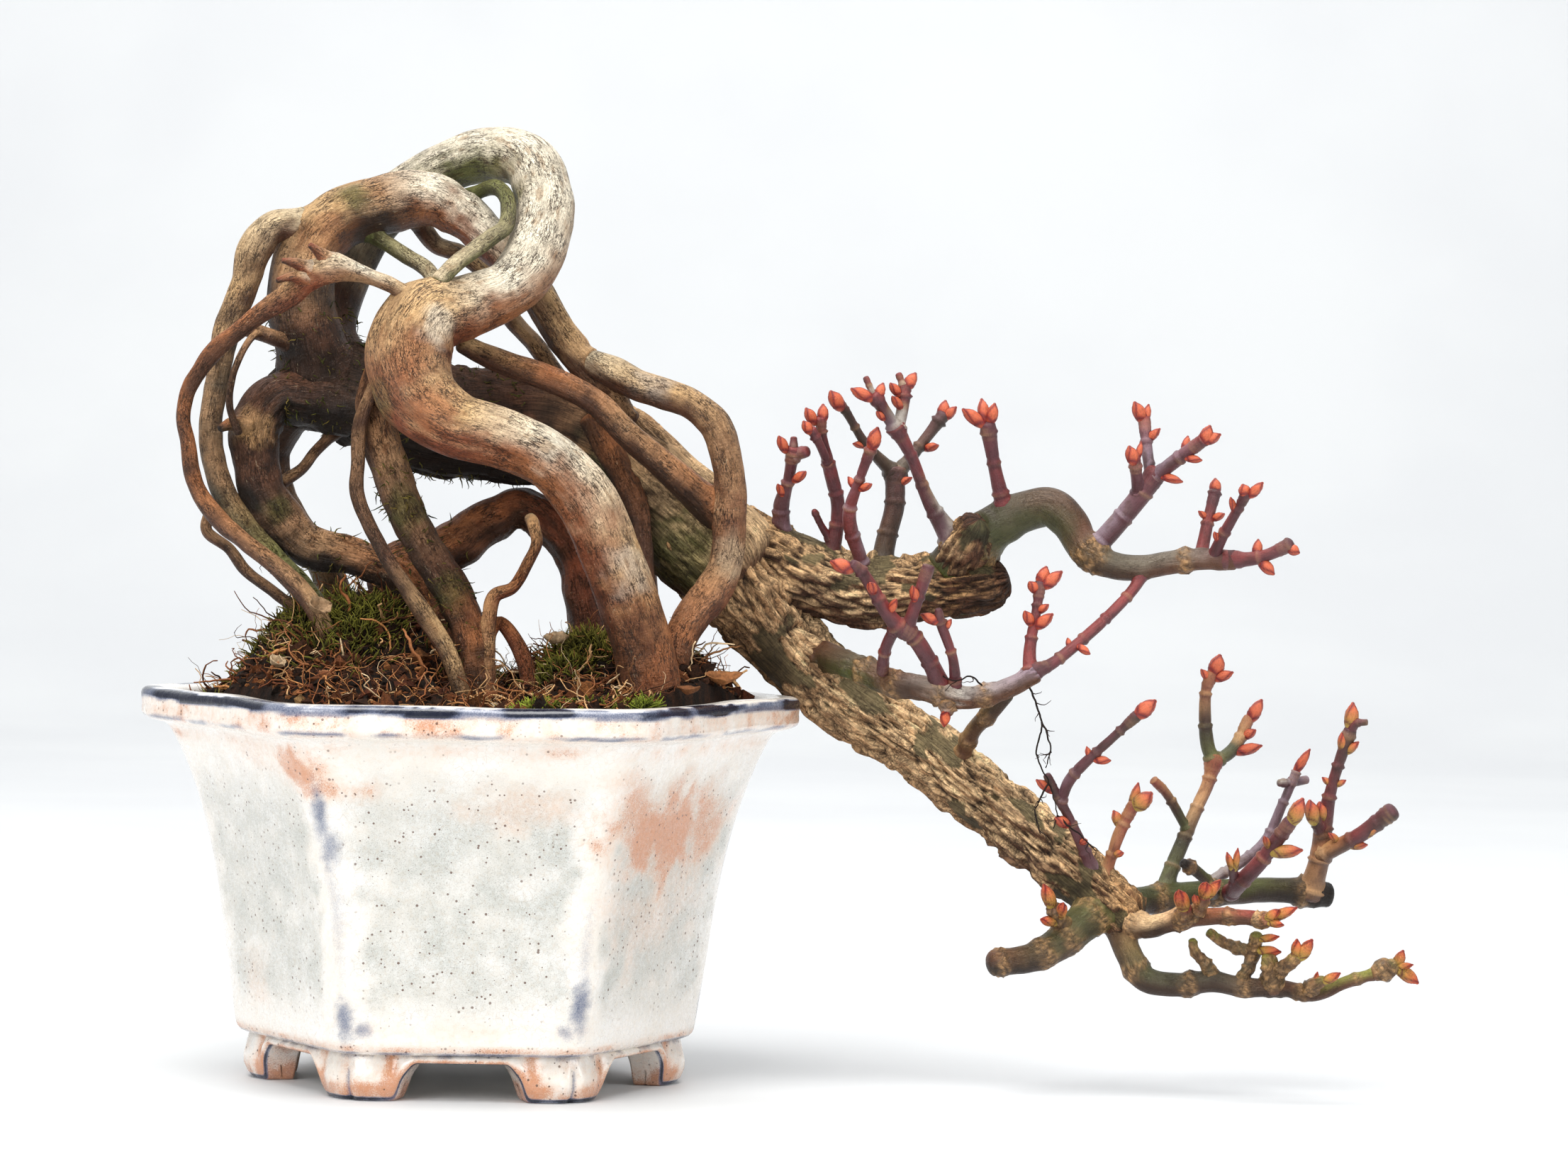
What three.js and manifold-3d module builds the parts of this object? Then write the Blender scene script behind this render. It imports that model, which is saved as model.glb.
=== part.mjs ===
// A small cascading bonsai with exposed, looping roots, standing in a six-sided glazed pot.
// Millimetres, +Z up. The pot axis is the middle of the pot; z = 0 is the surface it stands on.
// The wood is built limb by limb: every root, branch and shoot is a tapered sweep along a smooth
// curve, and each one is trimmed where it grows out of, or passes against, an earlier one.
import * as THREE from "three";
import { mergeVertices } from "three/addons/utils/BufferGeometryUtils.js";
import Module from "manifold-3d";

const wasm = await Module();
wasm.setup();

// Driving dimensions.
const GAP = 0.3; // clearance between pieces that touch
const RIM_RADIUS = 75; // pot axis to a corner of the rim
const RIM_TOP = 88.5; // height of the rim
const RIM_BAND = 7; // height of the thick band round the rim
const RIM_WIDTH = 8; // width of the rim's flat top
const NECK_RADIUS = 69.5; // corner radius just under the rim band
const BASE_RADIUS = 52; // corner radius at the bottom of the wall
const FOOT_HEIGHT = 10.3;
const FOOT_RADIUS = 50.5; // corner radius of the feet at the floor
const FOOT_WIDTH = 9; // thickness of the ring that the feet are cut from
const ARCH_WIDTH = 25; // opening between two feet
const ARCH_HEIGHT = 8.5;
const ARCH_SLOPE = 5.5; // how far each side of the opening leans in from floor to top
const WALL = 6; // thickness of the pot wall
const FLOOR_THICKNESS = 5;
const DRAIN_RADIUS = 8;
const POT_TURN = 2.4; // degrees the pot is turned on its axis
const CORNER_SHARPNESS = 22; // higher is a crisper corner
const SOIL_BELOW_RIM = 3.5; // how far the soil's edge lies below the rim
const MESH_SIDE = 26; // square drainage mesh
const MESH_THICKNESS = 1;
const WIRE_RADIUS = 0.8; // wire that holds the mesh down
const WIRE_BEND = 2; // room each bend of the wire takes up
const WIRE_HOOK = 7; // length of the ends bent out under the pot's floor
const LEAF_THICKNESS = 0.8;
const STEP = 4.5; // shortest step along a limb
const WOOD_DATUM = 88.5; // rim height that the points of the wood are measured against
const WOOD_RIM = 75; // rim radius that they are measured against
const SHIFT_FROM = 30; // wood beyond here starts to move outward with the rim
const SHIFT_TO = 70; // wood beyond here has moved all the way

const LIFT = RIM_TOP - WOOD_DATUM;
const SHIFT = RIM_RADIUS - WOOD_RIM;
const POT_FLOOR = FOOT_HEIGHT + FLOOR_THICKNESS;
const BAND_BOTTOM = RIM_TOP - RIM_BAND;
const EDGE_ROUND = 1.5; // softening of the glazed edges
const FLOOR_COVE = 3; // softening where the wall meets the pot's floor inside

const finishes = {
  glaze: new THREE.MeshStandardMaterial({ color: "#dedbd4", roughness: 0.25 }),
  soil: new THREE.MeshStandardMaterial({ color: "#33200f", roughness: 1 }),
  moss: new THREE.MeshStandardMaterial({ color: "#4c5a1c", roughness: 1 }),
  leaf: new THREE.MeshStandardMaterial({ color: "#a8743f", roughness: 0.8 }),
  root: new THREE.MeshStandardMaterial({ color: "#a98a6c", roughness: 0.7 }),
  bark: new THREE.MeshStandardMaterial({ color: "#9a7a4c", roughness: 0.9 }),
  twig: new THREE.MeshStandardMaterial({ color: "#6b5a48", roughness: 0.6 }),
  shoot: new THREE.MeshStandardMaterial({ color: "#8c3a30", roughness: 0.5 }),
  plastic: new THREE.MeshStandardMaterial({ color: "#20241f", roughness: 0.6 }),
  wire: new THREE.MeshStandardMaterial({ color: "#b8b4ac", roughness: 0.4, metalness: 1 }),
};

// Roots and trunk. Each point is x, y, z and the limb's radius there.
// great_root climbs out of the soil, turns back over itself in the big top loop and joins the crown.
const ROOTS = {
  trunk: [
    [-45, 8, 154, 6.5], [-37, 10, 157, 10], [-26, 12, 155, 11.5], [-11, 12, 150, 12.5],
    [4, 12, 149, 12.5], [18, 12, 148, 12.5], [32, 11, 141, 12.5], [45, 10, 130, 12.5], [58, 8, 118, 12],
  ],
  great_root: [
    [43, -24, 80, 7], [41, -26, 92, 7], [39, -27, 102, 6.8], [36, -29, 111, 6.9], [32, -31, 121, 6.9],
    [27, -33, 132, 6.7], [19, -34, 141, 6.4], [8, -34, 146, 6.6], [-3, -32, 149, 7.2],
    [-11, -29, 155, 8.6], [-14, -26, 164, 9.6], [-11, -23, 172, 9], [-3, -18, 175, 7.2],
    [6, -13, 179, 6.4], [11, -8, 184, 6.8], [14, -2, 193, 6.7], [14, 4, 201, 6.6], [10, 9, 209, 6.5],
    [2, 14, 211, 6.2], [-7, 18, 209, 6], [-16, 21, 204, 6.2], [-26, 22, 196, 6.5], [-33, 20, 184, 7.2],
    [-37, 14, 171, 8], [-35, 12, 159, 8.5],
  ],
  arch_root: [
    [-33, 9, 152, 8], [-38, 5, 164, 8], [-41, 4, 177, 7.7], [-39, 5, 188, 7.1], [-33, 6, 195, 6.8],
    [-25, 7, 198, 6.8],
    [-17, 8, 200, 6.5], [-11, 8, 200, 6], [-5, 8, 197, 5.3], [1, 7, 192, 4.9], [7, 6, 186, 4.4],
    [12, 6, 180, 4], [20, 5, 168, 3.9], [25, 4, 162, 3.6], [30, 3, 157, 2.9], [35, 2, 151, 2],
  ],
  ring_root: [
    [-30, 6, 153, 6.5], [-39, 2, 154, 5.8], [-46, -1, 154, 5.1], [-50, -3, 148, 5.5], [-50, -4, 141, 5.3],
    [-48, -5, 133, 5.1], [-44, -5, 127, 5], [-38, -5, 121, 4.7], [-30, -5, 119, 4.3],
    [-22, -6, 117, 4], [-12, -7, 111, 4], [-5, -8, 98, 4],
  ],
  back_arch: [
    [-20, 8, 95, 4.2], [-20, 9, 108, 4.4], [-19, 10, 116, 5], [-12, 12, 118, 5.4], [-4, 13, 122, 5.2],
    [2, 14, 127, 5.1], [10, 14, 130, 4.7], [16, 13, 127, 4.7], [22, 12, 119, 4.2], [24, 11, 110, 4.2],
    [26, 10, 101, 4.2], [27, 9, 88, 4.2],
  ],
  back_root_right: [
    [30, 14, 138, 4.2], [35, 22, 126, 4.4], [37, 26, 113, 4.1], [38, 28, 100, 4], [38, 29, 84, 4],
  ],
  back_root_left: [
    [-42, 14, 152, 4.4], [-48, 18, 142, 4.2], [-47, 20, 133, 4], [-43, 22, 125, 3.9], [-37, 24, 117, 3.8],
    [-33, 25, 107, 3.8], [-31, 26, 92, 3.8],
  ],
  second_root: [
    [-19, -22, 164, 4.1], [-22, -17, 155, 4.1], [-21, -17, 148, 4.1], [-19, -18, 141, 4.3],
    [-16, -19, 133, 4.3],
    [-12, -20, 125, 4.1], [-7, -21, 117, 4], [-2, -22, 109, 4], [1, -23, 101, 4.1], [3, -23, 82, 4.1],
  ],
  left_root: [
    [-41, 4, 194, 3.2], [-47, 1, 193, 3.4], [-51, -1, 188, 3.9], [-53, -2, 180, 3.2],
    [-56, -3, 172, 3.2], [-58, -4, 164, 2.9], [-59, -4, 156, 2.7], [-60, -5, 148, 2.7],
    [-59, -6, 140, 2.7], [-56, -7, 131, 2.7], [-51, -8, 124, 2.7], [-45, -9, 118, 2.7],
    [-37, -11, 110, 2.9], [-30, -12, 97, 2.9],
  ],
  outer_root: [
    [-15, -26, 178, 1.6], [-19, -27, 180, 1.7], [-25, -27, 182, 2], [-31, -27, 183, 3.3],
    [-36, -26, 181, 3.1], [-41, -25, 177, 2.8], [-47, -24, 173, 2.2], [-52, -23, 169, 1.9],
    [-57, -21, 165, 2.1], [-61, -19, 160, 1.9], [-64, -17, 155, 1.7], [-65, -16, 149, 1.6],
    [-64, -15, 144, 1.7], [-63, -14, 137, 1.9], [-61, -14, 132, 1.9], [-56, -15, 126, 2.1],
    [-51, -16, 122, 1.9], [-43, -17, 116, 2.1], [-35, -19, 108, 2.2], [-29, -20, 95, 2.2],
  ],
  right_arch: [
    [26, 2, 164, 2.6], [30, 0, 162, 3.4], [36, -2, 159, 3.5], [42, -3, 157, 3.5], [48, -4, 155, 3.4],
    [54, -5, 150, 3.7], [57, -6, 142, 3.5], [58, -6, 134, 3.5], [58, -6, 126, 3.7], [57, -6, 118, 3.8],
    [54, -9, 112, 4.2], [50, -13, 107, 4], [47, -15, 101, 3.8], [45, -17, 94, 4.1], [44, -18, 80, 4],
  ],
  diagonal_root: [
    [-3, -12, 167, 2.1], [4, -8, 164, 2.7], [13, -8, 161, 2.9], [21, -8, 158, 2.9], [28, -8, 154, 2.9],
    [34, -8, 148, 3], [41, -7, 142, 3.2], [47, -6, 137, 3.7], [55, -2, 130, 4.2],
  ],
  inner_root: [
    [26, 0, 151, 2.6], [30, -1, 144, 2.7], [34, -2, 137, 2.7], [37, -3, 130, 2.6], [38, -5, 122, 2.6],
    [39, -8, 113, 2.6], [41, -10, 102, 2.7], [42, -12, 86, 2.7],
  ],
  thin_front_root: [
    [-22, -23, 157, 1.4], [-25, -22, 148, 1.6], [-25, -23, 140, 1.6], [-25, -24, 133, 1.6],
    [-22, -25, 126, 1.6], [-18, -26, 119, 1.6], [-13, -28, 112, 1.9], [-8, -29, 105, 2.2],
    [-3, -31, 97, 2], [1, -31, 84, 1.9],
  ],
  curl_root: [
    [13, -8, 128, 1.4], [14, -16, 127, 1.4], [15, -20, 123, 1.3], [13, -22, 118, 1.3],
    [10, -24, 113, 1.3], [6, -25, 111, 1.6], [5, -25, 105, 1.6], [5, -25, 96, 1.6], [5, -25, 82, 1.6],
  ],
  low_fork_root: [
    [5, -24, 102, 1.3], [7, -21, 105, 1.4], [10, -21, 102, 1.7], [13, -21, 96, 1.9], [15, -21, 82, 1.9],
  ],
  loop_curl: [
    [-7, 14, 201, 1.5], [-2, 10, 202, 1.6], [3, 4, 203, 1.8], [6, -2, 200, 1.8], [6, -8, 194, 1.8],
    [3, -14, 191, 1.9], [-3, -20, 186, 1.9], [-8, -24, 181, 1.7],
  ],
  loop_twig: [
    [-26, 6, 192, 1.9], [-22, 4, 190, 1.8], [-17, 2, 187, 1.8], [-12, -2, 184, 1.8], [-8, -10, 179, 1.6],
  ],
  back_twig: [
    [-15, 12, 195, 2.3], [-11, 15, 190, 2.1], [-5, 16, 188, 2], [1, 16, 183, 2], [7, 14, 173, 2.1],
    [12, 12, 168, 2.1], [18, 10, 160, 2.1],
  ],
  lowest_left_root: [
    [-59, -9, 129, 1.4], [-60, -9, 124, 1.3], [-55, -9, 120, 1.3], [-51, -9, 115, 1.3],
    [-44, -10, 110, 1.3], [-38, -11, 105, 1.4], [-34, -12, 94, 1.4],
  ],
  forked_twig: [
    [-28, 6, 149, 1.8], [-33, 5, 146, 1.3], [-37, 4, 142, 1.3], [-40, 3, 138, 1.3], [-44, 1, 135, 1.5],
  ],
  cross_root: {
    stems: [
      [[-54, -6, 170, 1.6], [-47, -4, 168, 1.8], [-42, 0, 166, 1.8], [-36, 2, 164, 1.9]],
      [[-49, -5, 169, 0.9], [-51, -10, 167, 0.8], [-54, -13, 160, 0.8], [-55, -12, 152, 0.8],
        [-53, -11, 146, 0.9]],
    ],
    buds: [],
  },
};

// The cascade is the lower trunk that falls past the pot; the branches leave it and the trunk's end.
const BRANCHES = {
  cascade: [
    [49, 9, 127, 11], [61, 10, 112, 9.6], [70, 13, 101, 8.4], [80, 14, 92, 8], [91, 11, 84, 7.6],
    [103, 7, 77, 7.2], [112, 3, 70, 7.1], [122, 0, 63, 6.8], [132, -2, 55, 6.8], [142, -4, 47, 6.3],
    [150, -5, 41, 5.4],
  ],
  upper_branch: [
    [55, 9, 122, 9.5], [65, 12, 121, 8.1], [74, 13, 117, 8.1], [86, 14, 113, 7.8], [97, 14, 113, 7.2],
    [109, 13, 114, 6.5], [117, 12, 115, 5.8], [120, 12, 116, 4.6],
  ],
  arching_branch: [
    [108, 12, 118, 5], [114, 11, 124, 5.2], [120, 9, 129, 5], [126, 7, 132, 4.7], [131, 5, 133, 4.5],
    [135, 3, 130, 4.3], [138, 1, 125, 3.8], [141, -1, 122, 3.2], [146, -3, 120, 3.1],
    [152, -4, 120, 2.8], [157, -5, 121, 2.7], [164, -6, 122, 2.4], [172, -7, 122, 2.1],
  ],
  brace_branch: [[111, 2, 74, 1.9], [114, -5, 82, 1.9], [117, -11, 86, 1.9], [121, -15, 91, 1.8]],
  side_branch: {
    stems: [
      [[80, 8, 98, 3.2], [87, -4, 96, 3], [95, -12, 93, 2.9], [103, -15, 92, 2.7], [111, -16, 90, 2.5],
        [117, -17, 91, 2.4], [122, -18, 93, 2.2], [127, -18, 96, 2.1]],
      [[108, -16, 90.5, 1.1], [107.5, -17, 86.5, 1.1]],
    ],
    buds: [
      [107.5, -17, 87.5, 107, -18, 83.5, 2.1],
    ],
  },
  stub_branch: {
    stems: [
      [[146, -5, 43, 3.9], [139, -11, 39, 4.2], [134, -14, 35, 3.8], [128, -17, 32, 3.3],
        [119, -20, 31, 2.7]],
      [[137, -12, 37, 1.9], [134, -16, 40.5, 1.6], [132.5, -19, 43.5, 1.4]],
    ],
    buds: [
      [132.5, -18.5, 43, 130, -20, 49, 2.7], [133.5, -17, 40, 129.5, -20, 41, 2.1],
      [134, -17, 41, 134.5, -22, 45, 2.2],
    ],
  },
  olive_limb: {
    stems: [
      [[146, -3, 43, 3.4], [157, 4, 44, 3.2], [167, 7, 45, 3.1], [179, 9, 46, 2.9], [188, 11, 46, 2.9],
        [197, 13, 45, 2.9]],
      [[170, 4, 45.5, 1.6], [167.5, -5, 49.5, 1.3], [164.5, -8, 52, 1.3], [162, -10, 53.5, 1.1]],
    ],
    buds: [],
  },
  front_limb: {
    stems: [
      [[146, -5, 41, 3], [154, -10, 39, 2.6], [161, -13, 41, 2.2], [169, -15, 42, 1.9],
        [179, -17, 42, 1.5]],
      [[162, -13.5, 41, 1.9], [162, -19, 44, 1.4]],
      [[163, -14, 41.5, 1.6], [165.5, -19, 44.5, 1.3], [166, -22, 47, 1.3]],
      [[178, -17, 41.5, 1.4], [181, -20, 42, 1.2]],
    ],
    buds: [
      [162, -18, 43.5, 160, -24, 48.5, 3], [165, -19, 44.5, 163.5, -24, 47.5, 1.6],
      [166, -21, 46.5, 166, -25, 50.5, 2.7], [166, -21, 46.5, 169.5, -23, 51, 2.4],
      [180, -20, 42, 183, -22, 44.5, 2.1], [180.5, -20, 42, 187, -21, 45, 2.2],
      [180, -20, 41.5, 184, -22, 41, 1.6],
    ],
  },
  drooping_branch: {
    stems: [
      [[147, -4, 42, 3.3], [150, -8, 33, 3], [154, -10, 27, 2.9], [161, -11, 26, 2.7],
        [169, -12, 27, 2.4], [176, -13, 26, 2.2], [185, -14, 26, 1.9], [192, -15, 25, 1.6],
        [199, -16, 28, 1.4], [208, -17, 31, 1.3]],
      [[169.5, -12, 27.5, 1.6], [167, -13, 31.5, 1.1], [165, -14, 33.5, 1], [164, -15, 36.5, 0.9]],
      [[174.5, -13, 26, 1.4], [177, -13, 30.5, 1.2], [178, -13, 34, 1.4], [178.5, -15, 38, 1.3]],
      [[178, -13, 34, 1.3], [172, -11, 35.5, 1], [168, -11, 38, 1]],
      [[183, -14, 25.5, 1.9], [182, -15, 30, 1.8], [181, -16, 33.5, 1.3]],
      [[182.5, -15, 28.5, 1.3], [185, -18, 31.5, 1.2], [187.5, -20, 34, 1.3]],
      [[191, -15, 25.5, 1.4], [191.5, -18, 27.5, 1.1], [193.5, -19, 28.5, 1]],
      [[205, -17, 30, 1.4], [209.5, -17, 32, 1.6]],
    ],
    buds: [
      [178.5, -15, 37, 183.5, -17, 38, 1.6], [178.5, -14, 34.5, 184, -17, 34.5, 2.1],
      [187, -20, 33, 187, -21, 38, 2.2], [187.5, -20, 33, 190.5, -21, 38, 2.7],
      [193, -19, 28, 197, -21, 30.5, 1.9], [191.5, -18, 27, 192, -19, 30.5, 1.2],
      [209.5, -17, 31, 211.5, -16, 35.5, 2.4], [209.5, -17, 31.5, 213.5, -19, 32.5, 1.4],
      [209.5, -17, 32, 215, -17, 28, 2.7],
    ],
  },
};

// Shoots: stems as above, and buds given by the x, y, z of their base, of their tip, and their width.
const SHOOTS = {
  upper_shoot_1: {
    stems: [
      [[70.5, 11, 122, 1.8], [69.5, 9, 131.5, 1.9], [71, 6, 138, 1.3], [72, 3, 145, 1.6]],
      [[71.5, 4, 142.5, 1.1], [73.5, 3, 144, 1.3], [75, 2, 144.5, 1.3]],
      [[72, 3, 144.5, 0.8], [72, 3, 147.5, 0.8]],
    ],
    buds: [
      [70.5, 3, 144, 68.5, 1, 148, 2.1], [72, 4, 137.5, 75, 1, 140, 1.9], [70, 7, 134, 68.5, 5, 137, 1.6],
    ],
  },
  upper_shoot_2: {
    stems: [
      [[81, 12, 119.5, 2], [82.5, 9, 131.5, 1.6], [80.5, 6, 140, 1.6], [78.5, 4, 148, 1.1],
        [78, 3, 152, 1.3]],
      [[80, 5, 141.5, 1], [78, 1, 146, 1], [76, -1, 149.5, 1.1]],
      [[81, 11, 124, 1], [78.5, 8, 128, 0.8], [77, 6, 131, 0.7]],
    ],
    buds: [
      [76, -1, 148.5, 74, -2, 151.5, 2.1], [77, 3, 150.5, 74.5, 2, 154.5, 2.3],
      [78.5, 3, 151, 78.5, 4, 155.5, 2.3],
    ],
  },
  upper_shoot_3: {
    stems: [
      [[88.5, 11, 118.5, 1.6], [85, 4, 130, 1.6], [87, 0, 138, 1.1], [89.5, -3, 145.5, 1.3]],
    ],
    buds: [
      [89.5, -3, 145, 91, -4, 150.5, 2.9], [86.5, 1, 136, 84.5, 3, 139, 1.5],
      [87, 0, 136, 90, -2, 137.5, 1.6],
    ],
  },
  upper_shoot_4: {
    stems: [
      [[92.5, 15, 117.5, 2.6], [94, 16, 125.5, 2.3], [95.5, 17, 132, 2.3], [95.5, 18, 140.5, 2.3]],
      [[95, 18, 140, 1.8], [88.5, 12, 146.5, 1.1], [84, 8, 153.5, 1], [82.5, 7, 155.5, 1.1]],
      [[96, 18, 139.5, 1.8], [102.5, 21, 148, 1.3], [106.5, 22, 153.5, 1.6]],
    ],
    buds: [
      [83, 7, 154, 80, 5, 158.5, 2.9], [89, 13, 146, 85.5, 10, 146.5, 1.5],
      [106, 22, 152.5, 107, 23, 157, 2.5],
      [106.5, 22, 152.5, 109.5, 21, 155.5, 2.1], [102, 21, 145.5, 105.5, 18, 146.5, 1.8],
      [95.5, 18, 137, 99.5, 15, 139, 1.6],
    ],
  },
  upper_shoot_5: {
    stems: [
      [[110.5, 12, 118, 3.3], [108.5, 9, 125, 2.8], [103, 4, 134, 1.6], [98.5, 0, 144.5, 1.4],
        [95, -2, 150.5, 1.8]],
      [[95, -2, 150, 1.6], [92.5, -4, 154, 1.4], [90, -6, 157.5, 1.6]],
      [[95.5, -2, 149.5, 1.4], [96.5, 0, 154.5, 1.4], [97, 1, 159.5, 1.5]],
      [[90, -6, 157, 0.7], [88, -5, 161.5, 0.7]],
      [[97, 1, 159, 0.8], [95.5, 1, 162.5, 0.8]],
      [[109, 9, 123.5, 2], [111.5, 4, 129, 2.1], [112, 4, 130.5, 1.5]],
    ],
    buds: [
      [90, -6, 156.5, 84.5, -8, 159, 2.4], [90.5, -6, 156.5, 92, -5, 160.5, 2.2],
      [96, 0, 157.5, 93.5, -2, 160.5, 1.9], [97, 1, 159, 99.5, 2, 163, 2.6],
      [96.5, 0, 154.5, 94, -4, 157.5, 1.8], [92.5, -4, 152, 90.5, -6, 154, 1.4],
    ],
  },
  arching_shoot_1: {
    stems: [[[122, 8, 128, 2.6], [120.5, 7, 132.5, 2.1], [118, 4, 141.5, 1.5], [116, 1, 151.5, 1.8]]],
    buds: [
      [115.5, 1, 151, 110, -1, 155, 2.6], [115.5, 1, 151.5, 114.5, 3, 157.5, 2.4],
      [116.5, 1, 151.5, 117.5, 0, 156.5, 2.4],
    ],
  },
  arching_shoot_2: {
    stems: [
      [[141.5, -1, 124.5, 2.3], [148, -2, 132.5, 2.3], [153, -4, 139.5, 2.2], [154, -4, 142, 1.9]],
      [[150.5, -3, 136, 1.6], [149.5, -7, 141, 1.3], [149, -9, 144.5, 1.3]],
      [[153, -4, 140, 1.3], [152, -2, 147.5, 1.3], [151.5, 0, 153.5, 1.4]],
      [[153.5, -4, 140, 1.6], [158.5, -8, 144.5, 1.6], [164, -12, 149, 1.4]],
    ],
    buds: [
      [149, -9, 143, 147.5, -10, 147.5, 2.6], [149.5, -8, 144, 150.5, -7, 148.5, 1.4],
      [151.5, 0, 152.5, 149, -1, 157.5, 2.6], [151.5, 0, 152.5, 152.5, 1, 157, 1.8],
      [152, -1, 148.5, 155, -3, 151.5, 1.8], [164, -12, 148, 165.5, -13, 152.5, 2.7],
      [164, -12, 148.5, 168, -13, 150.5, 2.2], [160, -9, 146, 161, -7, 150, 1.8],
      [160, -9.5, 145, 164, -12, 144.5, 1.6], [154.5, -5, 141, 160, -9, 139.5, 1.8],
    ],
  },
  arching_shoot_3: {
    stems: [[[164.5, -5, 122, 1.6], [166.5, -2, 131.5, 1.3], [168, 0, 137.5, 1.3]]],
    buds: [
      [168, 0, 136.5, 168, 1, 140.5, 2.4], [166.5, -2, 131, 164, -3, 133, 1.3],
      [167, -2, 131, 170, -4, 132.5, 1.6],
    ],
  },
  arching_shoot_4: {
    stems: [[[167, -6.5, 122, 1.4], [169, -11, 127.5, 1.3], [172.5, -17, 135, 1.1],
    [173.5, -19, 137.5, 1.3]]],
    buds: [
      [173.5, -19, 136.5, 172.5, -19, 139.5, 2.4], [174, -19, 136.5, 177, -21, 140, 2.1],
      [171.5, -15, 132.5, 170, -18, 136.5, 1.4], [168.5, -10, 126, 167, -12, 128.5, 1.4],
    ],
  },
  arching_shoot_5: {
    stems: [[[169, -7, 122, 1.9], [176, -8, 122.5, 1.6], [179.5, -9, 123.5, 1.4], [184.5, -10, 126, 1.6]]],
    buds: [
      [183.5, -10, 125.5, 186.5, -11, 124, 2.2], [177, -8, 122.5, 177.5, -6, 127, 2.1],
      [177.5, -8, 122.5, 181, -10, 119, 2.4],
    ],
  },
  hanging_shoot: {
    stems: [
      [[152.5, -4, 120, 1.6], [149.5, -6, 115, 1.3], [140, -12, 105.5, 1.3], [130.5, -17, 98, 1.4],
        [127, -18, 96.5, 1.7]],
    ],
    buds: [[136.5, -14.5, 102.5, 139.5, -17, 100.5, 1.6], [135, -15, 101.5, 134.5, -13, 104, 1.2]],
  },
  side_shoot_1: {
    stems: [
      [[107, -15, 91.5, 2.1], [103, -20, 99, 1.9], [99, -24, 104.5, 1.9], [96.5, -25, 106, 1.9]],
      [[96.5, -25, 105.5, 1.9], [93, -27, 110, 1.6], [87.5, -29, 118.5, 1.3], [85.5, -30, 120, 1.1]],
      [[98, -24, 105, 1.6], [99.5, -26, 110, 1.4], [102.5, -27, 119.5, 1.4]],
      [[95.5, -25, 106, 1.4], [93.5, -20, 101, 1.3], [93, -14, 95.5, 1.3]],
    ],
    buds: [
      [86, -29.5, 118.5, 80.5, -30, 120.5, 2.8], [90.5, -28, 113.5, 89.5, -32, 116, 2],
      [100, -26.5, 111.5, 99, -29, 115.5, 1.9], [94, -26.5, 109, 95.5, -30, 112.5, 1.7],
    ],
  },
  side_shoot_2: {
    stems: [[[109.5, -16.5, 93, 1.4], [108.5, -20, 99.5, 1.1], [105.5, -23, 107.5, 1.1],
    [105, -24, 110, 0.8]]],
    buds: [[105.5, -23, 107, 101, -24, 109, 2.1], [106.5, -22, 105.5, 108, -23, 108, 1.4]],
  },
  side_shoot_3: {
    stems: [[[126, -18, 95.5, 1.7], [126, -16, 101.5, 1.4], [127.5, -14, 111, 1.1], [128, -13, 116, 1.4]]],
    buds: [
      [128, -13, 115.5, 129.5, -12, 120, 2.7], [128.5, -13, 115, 133, -14, 119, 2.7],
      [127.5, -13, 114, 125.5, -15, 116.5, 2.1], [127.5, -14, 109.5, 130, -16, 111.5, 1.6],
      [126.5, -15, 106.5, 124.5, -17, 110, 2.1], [127, -15, 106, 131, -17, 109.5, 2.4],
    ],
  },
  low_shoot_1: {
    stems: [
      [[143, -6, 48, 2.2], [140, -9, 55, 1.4], [136, -12, 63, 1.1], [130.5, -15, 73, 0.9]],
      [[134, -13, 66.5, 1.1], [135.5, -16, 72, 1.3], [145.5, -22, 83, 1], [150, -24, 87.5, 1.3]],
    ],
    buds: [
      [136, -12, 61.5, 132.5, -15, 63.5, 2.2], [132.5, -13.5, 69, 128, -15, 72, 1.9],
      [149.5, -24, 87, 154, -25, 91, 3.2], [140, -19, 77, 139, -19, 80, 1.3],
      [140.5, -19, 77, 144.5, -21, 77, 1.7], [138.5, -10.5, 57.5, 140, -13, 58.5, 1.3],
    ],
  },
  low_shoot_2: {
    stems: [[[143.5, -5.5, 47, 1.9], [146, -8, 55, 1.3], [147.5, -9, 60, 1.4], [150.5, -10, 66.5, 1.4]]],
    buds: [
      [150, -9.5, 65, 151.5, -9, 71.5, 2.1], [150.5, -10, 65.5, 154.5, -12, 69.5, 3.5],
      [148, -9, 61, 146, -8, 65, 2.2], [146, -8, 55, 148.5, -10, 55.5, 1.6],
    ],
  },
  low_shoot_3: {
    stems: [
      [[158, 5, 43.5, 2.1], [161, 8, 51.5, 1.8], [166.5, 12, 64.5, 1.5], [169, 14, 70, 1.5],
        [170.5, 15, 76, 2]],
      [[170, 15, 75, 1.6], [168.5, 14, 80, 1.6], [168, 12, 92, 1.3], [169.5, 12, 95.5, 1.5]],
      [[171, 15, 75, 1.5], [175, 17, 78, 1.5], [178.5, 19, 85, 1.3]],
      [[164.5, 10.5, 59, 1.1], [159, 7, 68, 1.1], [156, 5, 71, 1]],
    ],
    buds: [
      [169.5, 12, 94.5, 171, 12, 100, 3.3], [169, 12, 93.5, 166.5, 11, 96.5, 1.6],
      [169.5, 12, 94, 174, 10, 96, 2.1], [178.5, 19, 84, 181.5, 19, 89.5, 2.8],
      [177, 18, 80.5, 180, 16, 82.5, 2], [175, 17, 77, 181.5, 15, 79, 2.3],
    ],
  },
  low_shoot_4: {
    stems: [
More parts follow.
